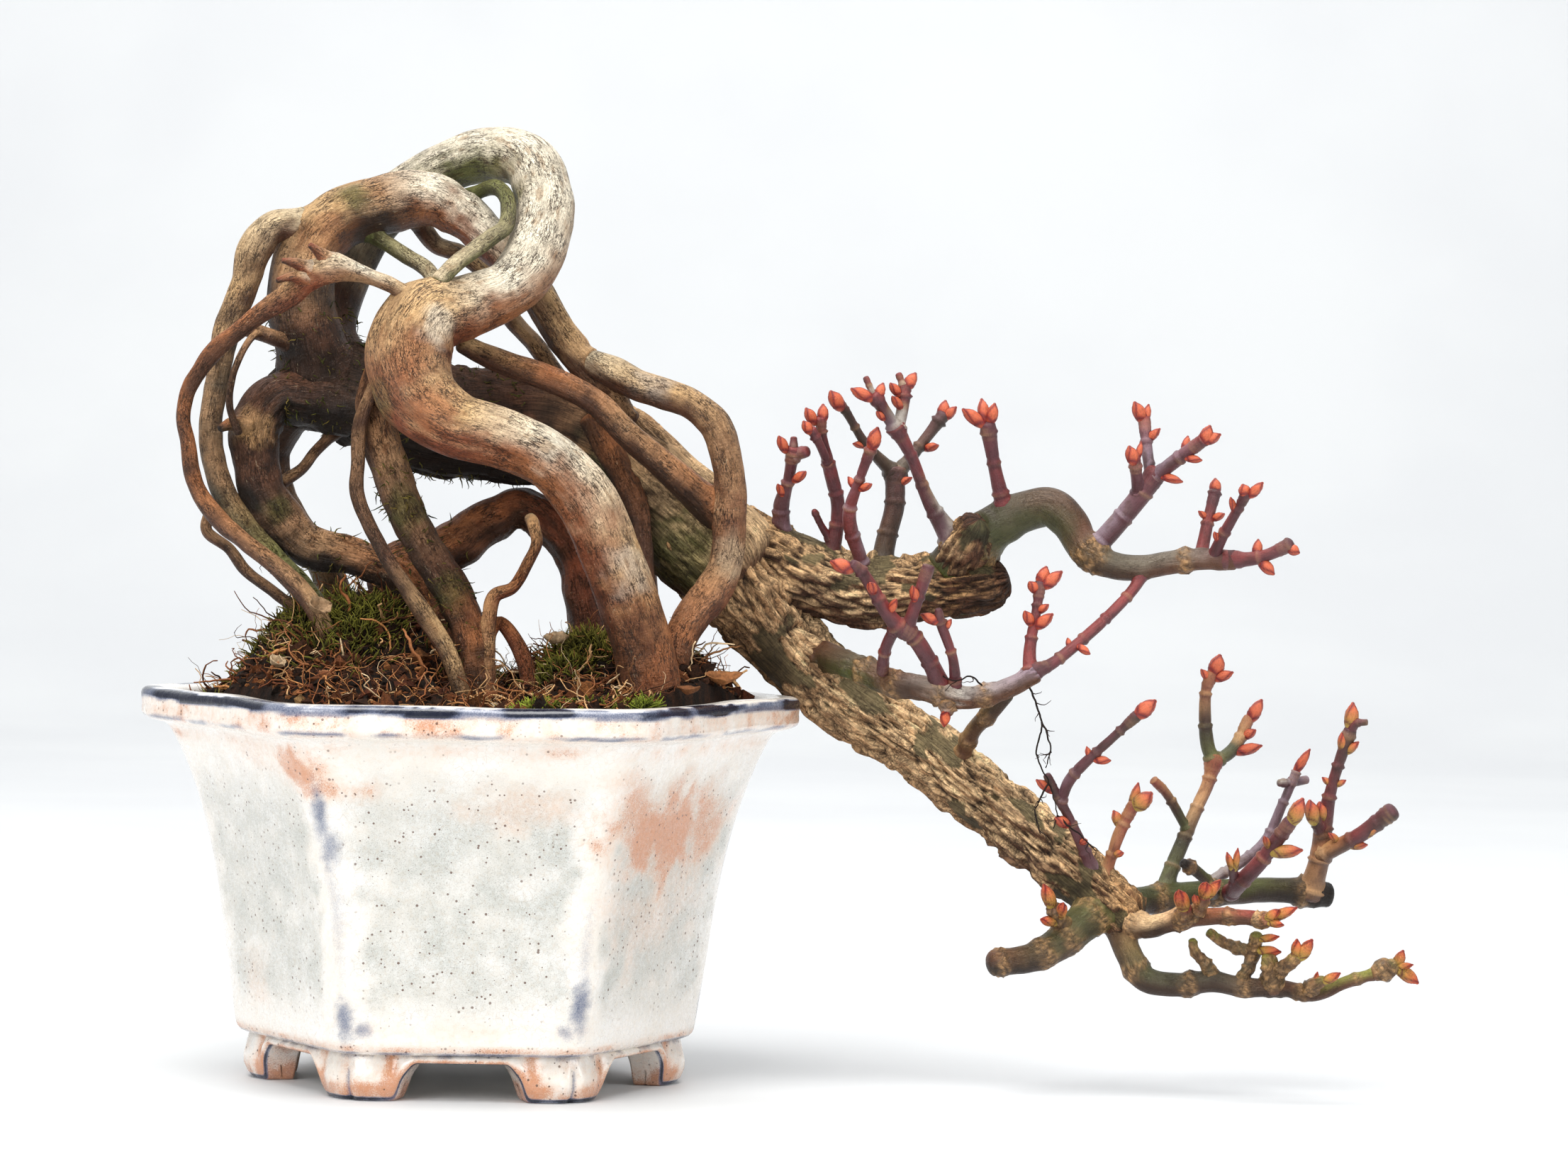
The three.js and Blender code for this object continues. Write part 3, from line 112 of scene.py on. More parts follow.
# Roots and trunk.
ROOTS = {
  "trunk": [
    [-45, 8, 154, 6.5], [-37, 10, 157, 10], [-26, 12, 155, 11.5], [-11, 12, 150, 12.5],
    [4, 12, 149, 12.5], [18, 12, 148, 12.5], [32, 11, 141, 12.5], [45, 10, 130, 12.5], [58, 8, 118, 12],
  ],
  "great_root": [
    [43, -24, 80, 7], [41, -26, 92, 7], [39, -27, 102, 6.8], [36, -29, 111, 6.9], [32, -31, 121, 6.9],
    [27, -33, 132, 6.7], [19, -34, 141, 6.4], [8, -34, 146, 6.6], [-3, -32, 149, 7.2],
    [-11, -29, 155, 8.6], [-14, -26, 164, 9.6], [-11, -23, 172, 9], [-3, -18, 175, 7.2],
    [6, -13, 179, 6.4], [11, -8, 184, 6.8], [14, -2, 193, 6.7], [14, 4, 201, 6.6], [10, 9, 209, 6.5],
    [2, 14, 211, 6.2], [-7, 18, 209, 6], [-16, 21, 204, 6.2], [-26, 22, 196, 6.5], [-33, 20, 184, 7.2],
    [-37, 14, 171, 8], [-35, 12, 159, 8.5],
  ],
  "arch_root": [
    [-33, 9, 152, 8], [-38, 5, 164, 8], [-41, 4, 177, 7.7], [-39, 5, 188, 7.1], [-33, 6, 195, 6.8],
    [-25, 7, 198, 6.8],
    [-17, 8, 200, 6.5], [-11, 8, 200, 6], [-5, 8, 197, 5.3], [1, 7, 192, 4.9], [7, 6, 186, 4.4],
    [12, 6, 180, 4], [20, 5, 168, 3.9], [25, 4, 162, 3.6], [30, 3, 157, 2.9], [35, 2, 151, 2],
  ],
  "ring_root": [
    [-30, 6, 153, 6.5], [-39, 2, 154, 5.8], [-46, -1, 154, 5.1], [-50, -3, 148, 5.5], [-50, -4, 141, 5.3],
    [-48, -5, 133, 5.1], [-44, -5, 127, 5], [-38, -5, 121, 4.7], [-30, -5, 119, 4.3],
    [-22, -6, 117, 4], [-12, -7, 111, 4], [-5, -8, 98, 4],
  ],
  "back_arch": [
    [-20, 8, 95, 4.2], [-20, 9, 108, 4.4], [-19, 10, 116, 5], [-12, 12, 118, 5.4], [-4, 13, 122, 5.2],
    [2, 14, 127, 5.1], [10, 14, 130, 4.7], [16, 13, 127, 4.7], [22, 12, 119, 4.2], [24, 11, 110, 4.2],
    [26, 10, 101, 4.2], [27, 9, 88, 4.2],
  ],
  "back_root_right": [
    [30, 14, 138, 4.2], [35, 22, 126, 4.4], [37, 26, 113, 4.1], [38, 28, 100, 4], [38, 29, 84, 4],
  ],
  "back_root_left": [
    [-42, 14, 152, 4.4], [-48, 18, 142, 4.2], [-47, 20, 133, 4], [-43, 22, 125, 3.9], [-37, 24, 117, 3.8],
    [-33, 25, 107, 3.8], [-31, 26, 92, 3.8],
  ],
  "second_root": [
    [-19, -22, 164, 4.1], [-22, -17, 155, 4.1], [-21, -17, 148, 4.1], [-19, -18, 141, 4.3],
    [-16, -19, 133, 4.3],
    [-12, -20, 125, 4.1], [-7, -21, 117, 4], [-2, -22, 109, 4], [1, -23, 101, 4.1], [3, -23, 82, 4.1],
  ],
  "left_root": [
    [-41, 4, 194, 3.2], [-47, 1, 193, 3.4], [-51, -1, 188, 3.9], [-53, -2, 180, 3.2],
    [-56, -3, 172, 3.2], [-58, -4, 164, 2.9], [-59, -4, 156, 2.7], [-60, -5, 148, 2.7],
    [-59, -6, 140, 2.7], [-56, -7, 131, 2.7], [-51, -8, 124, 2.7], [-45, -9, 118, 2.7],
    [-37, -11, 110, 2.9], [-30, -12, 97, 2.9],
  ],
  "outer_root": [
    [-15, -26, 178, 1.6], [-19, -27, 180, 1.7], [-25, -27, 182, 2], [-31, -27, 183, 3.3],
    [-36, -26, 181, 3.1], [-41, -25, 177, 2.8], [-47, -24, 173, 2.2], [-52, -23, 169, 1.9],
    [-57, -21, 165, 2.1], [-61, -19, 160, 1.9], [-64, -17, 155, 1.7], [-65, -16, 149, 1.6],
    [-64, -15, 144, 1.7], [-63, -14, 137, 1.9], [-61, -14, 132, 1.9], [-56, -15, 126, 2.1],
    [-51, -16, 122, 1.9], [-43, -17, 116, 2.1], [-35, -19, 108, 2.2], [-29, -20, 95, 2.2],
  ],
  "right_arch": [
    [26, 2, 164, 2.6], [30, 0, 162, 3.4], [36, -2, 159, 3.5], [42, -3, 157, 3.5], [48, -4, 155, 3.4],
    [54, -5, 150, 3.7], [57, -6, 142, 3.5], [58, -6, 134, 3.5], [58, -6, 126, 3.7], [57, -6, 118, 3.8],
    [54, -9, 112, 4.2], [50, -13, 107, 4], [47, -15, 101, 3.8], [45, -17, 94, 4.1], [44, -18, 80, 4],
  ],
  "diagonal_root": [
    [-3, -12, 167, 2.1], [4, -8, 164, 2.7], [13, -8, 161, 2.9], [21, -8, 158, 2.9], [28, -8, 154, 2.9],
    [34, -8, 148, 3], [41, -7, 142, 3.2], [47, -6, 137, 3.7], [55, -2, 130, 4.2],
  ],
  "inner_root": [
    [26, 0, 151, 2.6], [30, -1, 144, 2.7], [34, -2, 137, 2.7], [37, -3, 130, 2.6], [38, -5, 122, 2.6],
    [39, -8, 113, 2.6], [41, -10, 102, 2.7], [42, -12, 86, 2.7],
  ],
  "thin_front_root": [
    [-22, -23, 157, 1.4], [-25, -22, 148, 1.6], [-25, -23, 140, 1.6], [-25, -24, 133, 1.6],
    [-22, -25, 126, 1.6], [-18, -26, 119, 1.6], [-13, -28, 112, 1.9], [-8, -29, 105, 2.2],
    [-3, -31, 97, 2], [1, -31, 84, 1.9],
  ],
  "curl_root": [
    [13, -8, 128, 1.4], [14, -16, 127, 1.4], [15, -20, 123, 1.3], [13, -22, 118, 1.3],
    [10, -24, 113, 1.3], [6, -25, 111, 1.6], [5, -25, 105, 1.6], [5, -25, 96, 1.6], [5, -25, 82, 1.6],
  ],
  "low_fork_root": [
    [5, -24, 102, 1.3], [7, -21, 105, 1.4], [10, -21, 102, 1.7], [13, -21, 96, 1.9], [15, -21, 82, 1.9],
  ],
  "loop_curl": [
    [-7, 14, 201, 1.5], [-2, 10, 202, 1.6], [3, 4, 203, 1.8], [6, -2, 200, 1.8], [6, -8, 194, 1.8],
    [3, -14, 191, 1.9], [-3, -20, 186, 1.9], [-8, -24, 181, 1.7],
  ],
  "loop_twig": [
    [-26, 6, 192, 1.9], [-22, 4, 190, 1.8], [-17, 2, 187, 1.8], [-12, -2, 184, 1.8], [-8, -10, 179, 1.6],
  ],
  "back_twig": [
    [-15, 12, 195, 2.3], [-11, 15, 190, 2.1], [-5, 16, 188, 2], [1, 16, 183, 2], [7, 14, 173, 2.1],
    [12, 12, 168, 2.1], [18, 10, 160, 2.1],
  ],
  "lowest_left_root": [
    [-59, -9, 129, 1.4], [-60, -9, 124, 1.3], [-55, -9, 120, 1.3], [-51, -9, 115, 1.3],
    [-44, -10, 110, 1.3], [-38, -11, 105, 1.4], [-34, -12, 94, 1.4],
  ],
  "forked_twig": [
    [-28, 6, 149, 1.8], [-33, 5, 146, 1.3], [-37, 4, 142, 1.3], [-40, 3, 138, 1.3], [-44, 1, 135, 1.5],
  ],
  "cross_root": {
    "stems": [
      [[-54, -6, 170, 1.6], [-47, -4, 168, 1.8], [-42, 0, 166, 1.8], [-36, 2, 164, 1.9]],
      [[-49, -5, 169, 0.9], [-51, -10, 167, 0.8], [-54, -13, 160, 0.8], [-55, -12, 152, 0.8],
        [-53, -11, 146, 0.9]],
    ],
    "buds": [],
  },
}

# The cascade is the lower trunk that falls past the pot; the branches leave it and the trunk's end.
BRANCHES = {
  "cascade": [
    [49, 9, 127, 11], [61, 10, 112, 9.6], [70, 13, 101, 8.4], [80, 14, 92, 8], [91, 11, 84, 7.6],
    [103, 7, 77, 7.2], [112, 3, 70, 7.1], [122, 0, 63, 6.8], [132, -2, 55, 6.8], [142, -4, 47, 6.3],
    [150, -5, 41, 5.4],
  ],
  "upper_branch": [
    [55, 9, 122, 9.5], [65, 12, 121, 8.1], [74, 13, 117, 8.1], [86, 14, 113, 7.8], [97, 14, 113, 7.2],
    [109, 13, 114, 6.5], [117, 12, 115, 5.8], [120, 12, 116, 4.6],
  ],
  "arching_branch": [
    [108, 12, 118, 5], [114, 11, 124, 5.2], [120, 9, 129, 5], [126, 7, 132, 4.7], [131, 5, 133, 4.5],
    [135, 3, 130, 4.3], [138, 1, 125, 3.8], [141, -1, 122, 3.2], [146, -3, 120, 3.1],
    [152, -4, 120, 2.8], [157, -5, 121, 2.7], [164, -6, 122, 2.4], [172, -7, 122, 2.1],
  ],
  "brace_branch": [[111, 2, 74, 1.9], [114, -5, 82, 1.9], [117, -11, 86, 1.9], [121, -15, 91, 1.8]],
  "side_branch": {
    "stems": [
      [[80, 8, 98, 3.2], [87, -4, 96, 3], [95, -12, 93, 2.9], [103, -15, 92, 2.7], [111, -16, 90, 2.5],
        [117, -17, 91, 2.4], [122, -18, 93, 2.2], [127, -18, 96, 2.1]],
      [[108, -16, 90.5, 1.1], [107.5, -17, 86.5, 1.1]],
    ],
    "buds": [
      [107.5, -17, 87.5, 107, -18, 83.5, 2.1],
    ],
  },
  "stub_branch": {
    "stems": [
      [[146, -5, 43, 3.9], [139, -11, 39, 4.2], [134, -14, 35, 3.8], [128, -17, 32, 3.3],
        [119, -20, 31, 2.7]],
      [[137, -12, 37, 1.9], [134, -16, 40.5, 1.6], [132.5, -19, 43.5, 1.4]],
    ],
    "buds": [
      [132.5, -18.5, 43, 130, -20, 49, 2.7], [133.5, -17, 40, 129.5, -20, 41, 2.1],
      [134, -17, 41, 134.5, -22, 45, 2.2],
    ],
  },
  "olive_limb": {
    "stems": [
      [[146, -3, 43, 3.4], [157, 4, 44, 3.2], [167, 7, 45, 3.1], [179, 9, 46, 2.9], [188, 11, 46, 2.9],
        [197, 13, 45, 2.9]],
      [[170, 4, 45.5, 1.6], [167.5, -5, 49.5, 1.3], [164.5, -8, 52, 1.3], [162, -10, 53.5, 1.1]],
    ],
    "buds": [],
  },
  "front_limb": {
    "stems": [
      [[146, -5, 41, 3], [154, -10, 39, 2.6], [161, -13, 41, 2.2], [169, -15, 42, 1.9],
        [179, -17, 42, 1.5]],
      [[162, -13.5, 41, 1.9], [162, -19, 44, 1.4]],
      [[163, -14, 41.5, 1.6], [165.5, -19, 44.5, 1.3], [166, -22, 47, 1.3]],
      [[178, -17, 41.5, 1.4], [181, -20, 42, 1.2]],
    ],
    "buds": [
      [162, -18, 43.5, 160, -24, 48.5, 3], [165, -19, 44.5, 163.5, -24, 47.5, 1.6],
      [166, -21, 46.5, 166, -25, 50.5, 2.7], [166, -21, 46.5, 169.5, -23, 51, 2.4],
      [180, -20, 42, 183, -22, 44.5, 2.1], [180.5, -20, 42, 187, -21, 45, 2.2],
      [180, -20, 41.5, 184, -22, 41, 1.6],
    ],
  },
  "drooping_branch": {
    "stems": [
      [[147, -4, 42, 3.3], [150, -8, 33, 3], [154, -10, 27, 2.9], [161, -11, 26, 2.7],
        [169, -12, 27, 2.4], [176, -13, 26, 2.2], [185, -14, 26, 1.9], [192, -15, 25, 1.6],
        [199, -16, 28, 1.4], [208, -17, 31, 1.3]],
      [[169.5, -12, 27.5, 1.6], [167, -13, 31.5, 1.1], [165, -14, 33.5, 1], [164, -15, 36.5, 0.9]],
      [[174.5, -13, 26, 1.4], [177, -13, 30.5, 1.2], [178, -13, 34, 1.4], [178.5, -15, 38, 1.3]],
      [[178, -13, 34, 1.3], [172, -11, 35.5, 1], [168, -11, 38, 1]],
      [[183, -14, 25.5, 1.9], [182, -15, 30, 1.8], [181, -16, 33.5, 1.3]],
      [[182.5, -15, 28.5, 1.3], [185, -18, 31.5, 1.2], [187.5, -20, 34, 1.3]],
      [[191, -15, 25.5, 1.4], [191.5, -18, 27.5, 1.1], [193.5, -19, 28.5, 1]],
      [[205, -17, 30, 1.4], [209.5, -17, 32, 1.6]],
    ],
    "buds": [
      [178.5, -15, 37, 183.5, -17, 38, 1.6], [178.5, -14, 34.5, 184, -17, 34.5, 2.1],
      [187, -20, 33, 187, -21, 38, 2.2], [187.5, -20, 33, 190.5, -21, 38, 2.7],
      [193, -19, 28, 197, -21, 30.5, 1.9], [191.5, -18, 27, 192, -19, 30.5, 1.2],
      [209.5, -17, 31, 211.5, -16, 35.5, 2.4], [209.5, -17, 31.5, 213.5, -19, 32.5, 1.4],
      [209.5, -17, 32, 215, -17, 28, 2.7],
    ],
  },
}

# Shoots: stems as above, and buds given by the x, y, z of their base, of their tip, and their width.
SHOOTS = {
  "upper_shoot_1": {
    "stems": [
      [[70.5, 11, 122, 1.8], [69.5, 9, 131.5, 1.9], [71, 6, 138, 1.3], [72, 3, 145, 1.6]],
      [[71.5, 4, 142.5, 1.1], [73.5, 3, 144, 1.3], [75, 2, 144.5, 1.3]],
      [[72, 3, 144.5, 0.8], [72, 3, 147.5, 0.8]],
    ],
    "buds": [
      [70.5, 3, 144, 68.5, 1, 148, 2.1], [72, 4, 137.5, 75, 1, 140, 1.9], [70, 7, 134, 68.5, 5, 137, 1.6],
    ],
  },
  "upper_shoot_2": {
    "stems": [
      [[81, 12, 119.5, 2], [82.5, 9, 131.5, 1.6], [80.5, 6, 140, 1.6], [78.5, 4, 148, 1.1],
        [78, 3, 152, 1.3]],
      [[80, 5, 141.5, 1], [78, 1, 146, 1], [76, -1, 149.5, 1.1]],
      [[81, 11, 124, 1], [78.5, 8, 128, 0.8], [77, 6, 131, 0.7]],
    ],
    "buds": [
      [76, -1, 148.5, 74, -2, 151.5, 2.1], [77, 3, 150.5, 74.5, 2, 154.5, 2.3],
      [78.5, 3, 151, 78.5, 4, 155.5, 2.3],
    ],
  },
  "upper_shoot_3": {
    "stems": [
      [[88.5, 11, 118.5, 1.6], [85, 4, 130, 1.6], [87, 0, 138, 1.1], [89.5, -3, 145.5, 1.3]],
    ],
    "buds": [
      [89.5, -3, 145, 91, -4, 150.5, 2.9], [86.5, 1, 136, 84.5, 3, 139, 1.5],
      [87, 0, 136, 90, -2, 137.5, 1.6],
    ],
  },
  "upper_shoot_4": {
    "stems": [
      [[92.5, 15, 117.5, 2.6], [94, 16, 125.5, 2.3], [95.5, 17, 132, 2.3], [95.5, 18, 140.5, 2.3]],
      [[95, 18, 140, 1.8], [88.5, 12, 146.5, 1.1], [84, 8, 153.5, 1], [82.5, 7, 155.5, 1.1]],
      [[96, 18, 139.5, 1.8], [102.5, 21, 148, 1.3], [106.5, 22, 153.5, 1.6]],
    ],
    "buds": [
      [83, 7, 154, 80, 5, 158.5, 2.9], [89, 13, 146, 85.5, 10, 146.5, 1.5],
      [106, 22, 152.5, 107, 23, 157, 2.5],
      [106.5, 22, 152.5, 109.5, 21, 155.5, 2.1], [102, 21, 145.5, 105.5, 18, 146.5, 1.8],
      [95.5, 18, 137, 99.5, 15, 139, 1.6],
    ],
  },
  "upper_shoot_5": {
    "stems": [
      [[110.5, 12, 118, 3.3], [108.5, 9, 125, 2.8], [103, 4, 134, 1.6], [98.5, 0, 144.5, 1.4],
        [95, -2, 150.5, 1.8]],
      [[95, -2, 150, 1.6], [92.5, -4, 154, 1.4], [90, -6, 157.5, 1.6]],
      [[95.5, -2, 149.5, 1.4], [96.5, 0, 154.5, 1.4], [97, 1, 159.5, 1.5]],
      [[90, -6, 157, 0.7], [88, -5, 161.5, 0.7]],
      [[97, 1, 159, 0.8], [95.5, 1, 162.5, 0.8]],
    ],
    "buds": [
      [90, -6, 156.5, 84.5, -8, 159, 2.4], [90.5, -6, 156.5, 92, -5, 160.5, 2.2],
      [96, 0, 157.5, 93.5, -2, 160.5, 1.9], [97, 1, 159, 99.5, 2, 163, 2.6],
      [96.5, 0, 154.5, 94, -4, 157.5, 1.8], [92.5, -4, 152, 90.5, -6, 154, 1.4],
    ],
  },
  "arching_shoot_1": {
    "stems": [[[122, 8, 128, 2.6], [120.5, 7, 132.5, 2.1], [118, 4, 141.5, 1.5], [116, 1, 151.5, 1.8]]],
    "buds": [
      [115.5, 1, 151, 110, -1, 155, 2.6], [115.5, 1, 151.5, 114.5, 3, 157.5, 2.4],
      [116.5, 1, 151.5, 117.5, 0, 156.5, 2.4],
    ],
  },
  "arching_shoot_2": {
    "stems": [
      [[141.5, -1, 124.5, 2.3], [148, -2, 132.5, 2.3], [153, -4, 139.5, 2.2], [154, -4, 142, 1.9]],
      [[150.5, -3, 136, 1.6], [149.5, -7, 141, 1.3], [149, -9, 144.5, 1.3]],
      [[153, -4, 140, 1.3], [152, -2, 147.5, 1.3], [151.5, 0, 153.5, 1.4]],
      [[153.5, -4, 140, 1.6], [158.5, -8, 144.5, 1.6], [164, -12, 149, 1.4]],
    ],
    "buds": [
      [149, -9, 143, 147.5, -10, 147.5, 2.6], [149.5, -8, 144, 150.5, -7, 148.5, 1.4],
      [151.5, 0, 152.5, 149, -1, 157.5, 2.6], [151.5, 0, 152.5, 152.5, 1, 157, 1.8],
      [152, -1, 148.5, 155, -3, 151.5, 1.8], [164, -12, 148, 165.5, -13, 152.5, 2.7],
      [164, -12, 148.5, 168, -13, 150.5, 2.2], [160, -9, 146, 161, -7, 150, 1.8],
      [160, -9.5, 145, 164, -12, 144.5, 1.6], [154.5, -5, 141, 160, -9, 139.5, 1.8],
    ],
  },
  "arching_shoot_3": {
    "stems": [[[164.5, -5, 122, 1.6], [166.5, -2, 131.5, 1.3], [168, 0, 137.5, 1.3]]],
    "buds": [
      [168, 0, 136.5, 168, 1, 140.5, 2.4], [166.5, -2, 131, 164, -3, 133, 1.3],
      [167, -2, 131, 170, -4, 132.5, 1.6],
    ],
  },
  "arching_shoot_4": {
    "stems": [[[167, -6.5, 122, 1.4], [169, -11, 127.5, 1.3], [172.5, -17, 135, 1.1],
    [173.5, -19, 137.5, 1.3]]],
    "buds": [
      [173.5, -19, 136.5, 172.5, -19, 139.5, 2.4], [174, -19, 136.5, 177, -21, 140, 2.1],
      [171.5, -15, 132.5, 170, -18, 136.5, 1.4], [168.5, -10, 126, 167, -12, 128.5, 1.4],
    ],
  },
  "arching_shoot_5": {
    "stems": [[[169, -7, 122, 1.9], [176, -8, 122.5, 1.6], [179.5, -9, 123.5, 1.4], [184.5, -10, 126, 1.6]]],
    "buds": [
      [183.5, -10, 125.5, 186.5, -11, 124, 2.2], [177, -8, 122.5, 177.5, -6, 127, 2.1],
      [177.5, -8, 122.5, 181, -10, 119, 2.4],
    ],
  },
  "hanging_shoot": {
    "stems": [
      [[152.5, -4, 120, 1.6], [149.5, -6, 115, 1.3], [140, -12, 105.5, 1.3], [130.5, -17, 98, 1.4],
        [127, -18, 96.5, 1.7]],
    ],
    "buds": [[136.5, -14.5, 102.5, 139.5, -17, 100.5, 1.6], [135, -15, 101.5, 134.5, -13, 104, 1.2]],
  },
  "side_shoot_1": {
    "stems": [
      [[107, -15, 91.5, 2.1], [103, -20, 99, 1.9], [99, -24, 104.5, 1.9], [96.5, -25, 106, 1.9]],
      [[96.5, -25, 105.5, 1.9], [93, -27, 110, 1.6], [87.5, -29, 118.5, 1.3], [85.5, -30, 120, 1.1]],
      [[98, -24, 105, 1.6], [99.5, -26, 110, 1.4], [102.5, -27, 119.5, 1.4]],
      [[95.5, -25, 106, 1.4], [93.5, -20, 101, 1.3], [93, -14, 95.5, 1.3]],
    ],
    "buds": [
      [86, -29.5, 118.5, 80.5, -30, 120.5, 2.8], [90.5, -28, 113.5, 89.5, -32, 116, 2],
      [100, -26.5, 111.5, 99, -29, 115.5, 1.9], [94, -26.5, 109, 95.5, -30, 112.5, 1.7],
    ],
  },
  "side_shoot_2": {
    "stems": [[[109.5, -16.5, 93, 1.4], [108.5, -20, 99.5, 1.1], [105.5, -23, 107.5, 1.1],
    [105, -24, 110, 0.8]]],
    "buds": [[105.5, -23, 107, 101, -24, 109, 2.1], [106.5, -22, 105.5, 108, -23, 108, 1.4]],
  },
  "side_shoot_3": {
    "stems": [[[126, -18, 95.5, 1.7], [126, -16, 101.5, 1.4], [127.5, -14, 111, 1.1], [128, -13, 116, 1.4]]],
    "buds": [
      [128, -13, 115.5, 129.5, -12, 120, 2.7], [128.5, -13, 115, 133, -14, 119, 2.7],
      [127.5, -13, 114, 125.5, -15, 116.5, 2.1], [127.5, -14, 109.5, 130, -16, 111.5, 1.6],
      [126.5, -15, 106.5, 124.5, -17, 110, 2.1], [127, -15, 106, 131, -17, 109.5, 2.4],
    ],
  },
  "low_shoot_1": {
    "stems": [
      [[143, -6, 48, 2.2], [140, -9, 55, 1.4], [136, -12, 63, 1.1], [130.5, -15, 73, 0.9]],
      [[134, -13, 66.5, 1.1], [135.5, -16, 72, 1.3], [145.5, -22, 83, 1], [150, -24, 87.5, 1.3]],
    ],
    "buds": [
      [136, -12, 61.5, 132.5, -15, 63.5, 2.2], [132.5, -13.5, 69, 128, -15, 72, 1.9],
      [149.5, -24, 87, 154, -25, 91, 3.2], [140, -19, 77, 139, -19, 80, 1.3],
      [140.5, -19, 77, 144.5, -21, 77, 1.7], [138.5, -10.5, 57.5, 140, -13, 58.5, 1.3],
    ],
  },
  "low_shoot_2": {
    "stems": [[[143.5, -5.5, 47, 1.9], [146, -8, 55, 1.3], [147.5, -9, 60, 1.4], [150.5, -10, 66.5, 1.4]]],
    "buds": [
      [150, -9.5, 65, 151.5, -9, 71.5, 2.1], [150.5, -10, 65.5, 154.5, -12, 69.5, 3.5],
      [148, -9, 61, 146, -8, 65, 2.2], [146, -8, 55, 148.5, -10, 55.5, 1.6],
    ],
  },
  "low_shoot_3": {
    "stems": [
      [[158, 5, 43.5, 2.1], [161, 8, 51.5, 1.8], [166.5, 12, 64.5, 1.5], [169, 14, 70, 1.5],
        [170.5, 15, 76, 2]],
      [[170, 15, 75, 1.6], [168.5, 14, 80, 1.6], [168, 12, 92, 1.3], [169.5, 12, 95.5, 1.5]],
      [[171, 15, 75, 1.5], [175, 17, 78, 1.5], [178.5, 19, 85, 1.3]],
      [[164.5, 10.5, 59, 1.1], [159, 7, 68, 1.1], [156, 5, 71, 1]],
    ],
    "buds": [
      [169.5, 12, 94.5, 171, 12, 100, 3.3], [169, 12, 93.5, 166.5, 11, 96.5, 1.6],
      [169.5, 12, 94, 174, 10, 96, 2.1], [178.5, 19, 84, 181.5, 19, 89.5, 2.8],
      [177, 18, 80.5, 180, 16, 82.5, 2], [175, 17, 77, 181.5, 15, 79, 2.3],
    ],
  },
  "low_shoot_4": {
    "stems": [
      [[167, 8, 45, 1.6], [170.5, 11, 48, 1.3], [182, 15, 56, 1.3], [186.5, 16, 65.5, 1.1],
        [189.5, 16, 73, 1]],
      [[185.5, 14, 70.5, 0.9], [188, 16, 70.5, 1], [192, 19, 71, 1]],
    ],
    "buds": [[189, 16, 72.5, 192.5, 15, 78.5, 2]],
  },
  "low_shoot_5": {
    "stems": [
      [[174, 5, 45.5, 1.9], [176, -2, 49, 1.9], [180, -5, 54, 1.8], [186, -10, 63.5, 1.6]],
      [[174.5, 0, 48, 1.1], [173.5, -6, 52.5, 1]],
    ],
    "buds": [
      [186, -10, 62.5, 188.5, -12, 69, 3.2], [181.5, -7, 57, 180, -11, 60, 1.4],
      [181.5, -7, 56, 189, -10, 57, 2.7], [173.5, -6, 51.5, 172, -7, 56, 1.4],
      [174, -6, 51.5, 174.5, -7, 57, 1.4],
    ],
  },
  "low_shoot_6": {
    "stems": [
      [[192.5, 11, 45, 2.8], [194.5, 10, 52.5, 2.4], [195.5, 9, 62, 2], [197, 7, 71, 1.3],
        [200.5, 5, 83.5, 1.5]],
      [[195, 9, 54.5, 2], [203.5, 3, 60, 1.8], [210, 0, 65.5, 2.1]],
      [[195.5, 9, 58.5, 1.5], [193, 6, 63, 1.3]],
      [[199.5, 6, 80, 1], [201.5, 4, 85, 1], [204, 3, 85.5, 0.6]],
    ],
    "buds": [
      [200.5, 5, 83, 201, 5, 90, 2.9], [197, 7, 70.5, 194.5, 7, 72.5, 1.3], [197.5, 7, 70.5, 200, 6, 72, 1.3],
      [199, 6, 78, 198.5, 4, 83, 1.9], [199.5, 6, 78, 202.5, 4, 81, 1.8], [193, 6, 61.5, 191.5, 4, 67.5, 2.9],
      [195, 8, 62, 194, 6, 67, 2.4], [203.5, 3, 59, 208, 0, 63.5, 2.3], [200.5, 5, 57, 205, 3, 57.5, 1.8],
      [199, 6, 57.5, 196, 4, 60, 1.5],
    ],
  },
}


PALETTE = {
    "cream": "#d3c8b2",
    "bone": "#bba98a",
    "sand": "#bd9a6c",
    "tan": "#9f7a56",
    "honey": "#b98f60",
    "gold": "#deba8c",
    "copper": "#9a6038",
    "rust": "#7d4229",
    "umber": "#573725",
    "bistre": "#352316",
    "soot": "#18100a",
    "algae": "#66663a",
    "moss": "#454b1e",
    "olive": "#454529",
    "slate": "#4f4839",
    "grey": "#786d5f",
    "ash": "#a0978d",
    "plum": "#52262c",
    "maroon": "#7a2b28",
    "lilac": "#84707a",
    "lichen": "#7d7a36",
}
BARK_COLOURS = {
    "fleck": "#2c1a10",
    "flake": "#d2bd9a",
    "fissure": "#20140b",
    "wrinkle": "#342013",
    "dot": "#25100e",
}
GLAZE_COLOURS = {
    "milk": "#efe8de",
    "pale_milk": "#f7f4ef",
    "veil": "#bfc2bc",
    "speckle": "#86827a",
    "warmth": "#d8c3a8",
    "blush": "#e2a06c",
    "rust": "#c4743a",
    "crackle": "#a58768",
    "iron": "#5d3a26",
    "cobalt": "#4a5b7e",
    "deep_cobalt": "#10162a",
}
CRUMB_SHADES = ("#2a170b", "#3a2010", "#5a3218", "#1b1008", "#7a4c28", "#8a6a44", "#4a2412")
CRUMB_ODDS = (0.24, 0.24, 0.16, 0.2, 0.08, 0.02, 0.06)
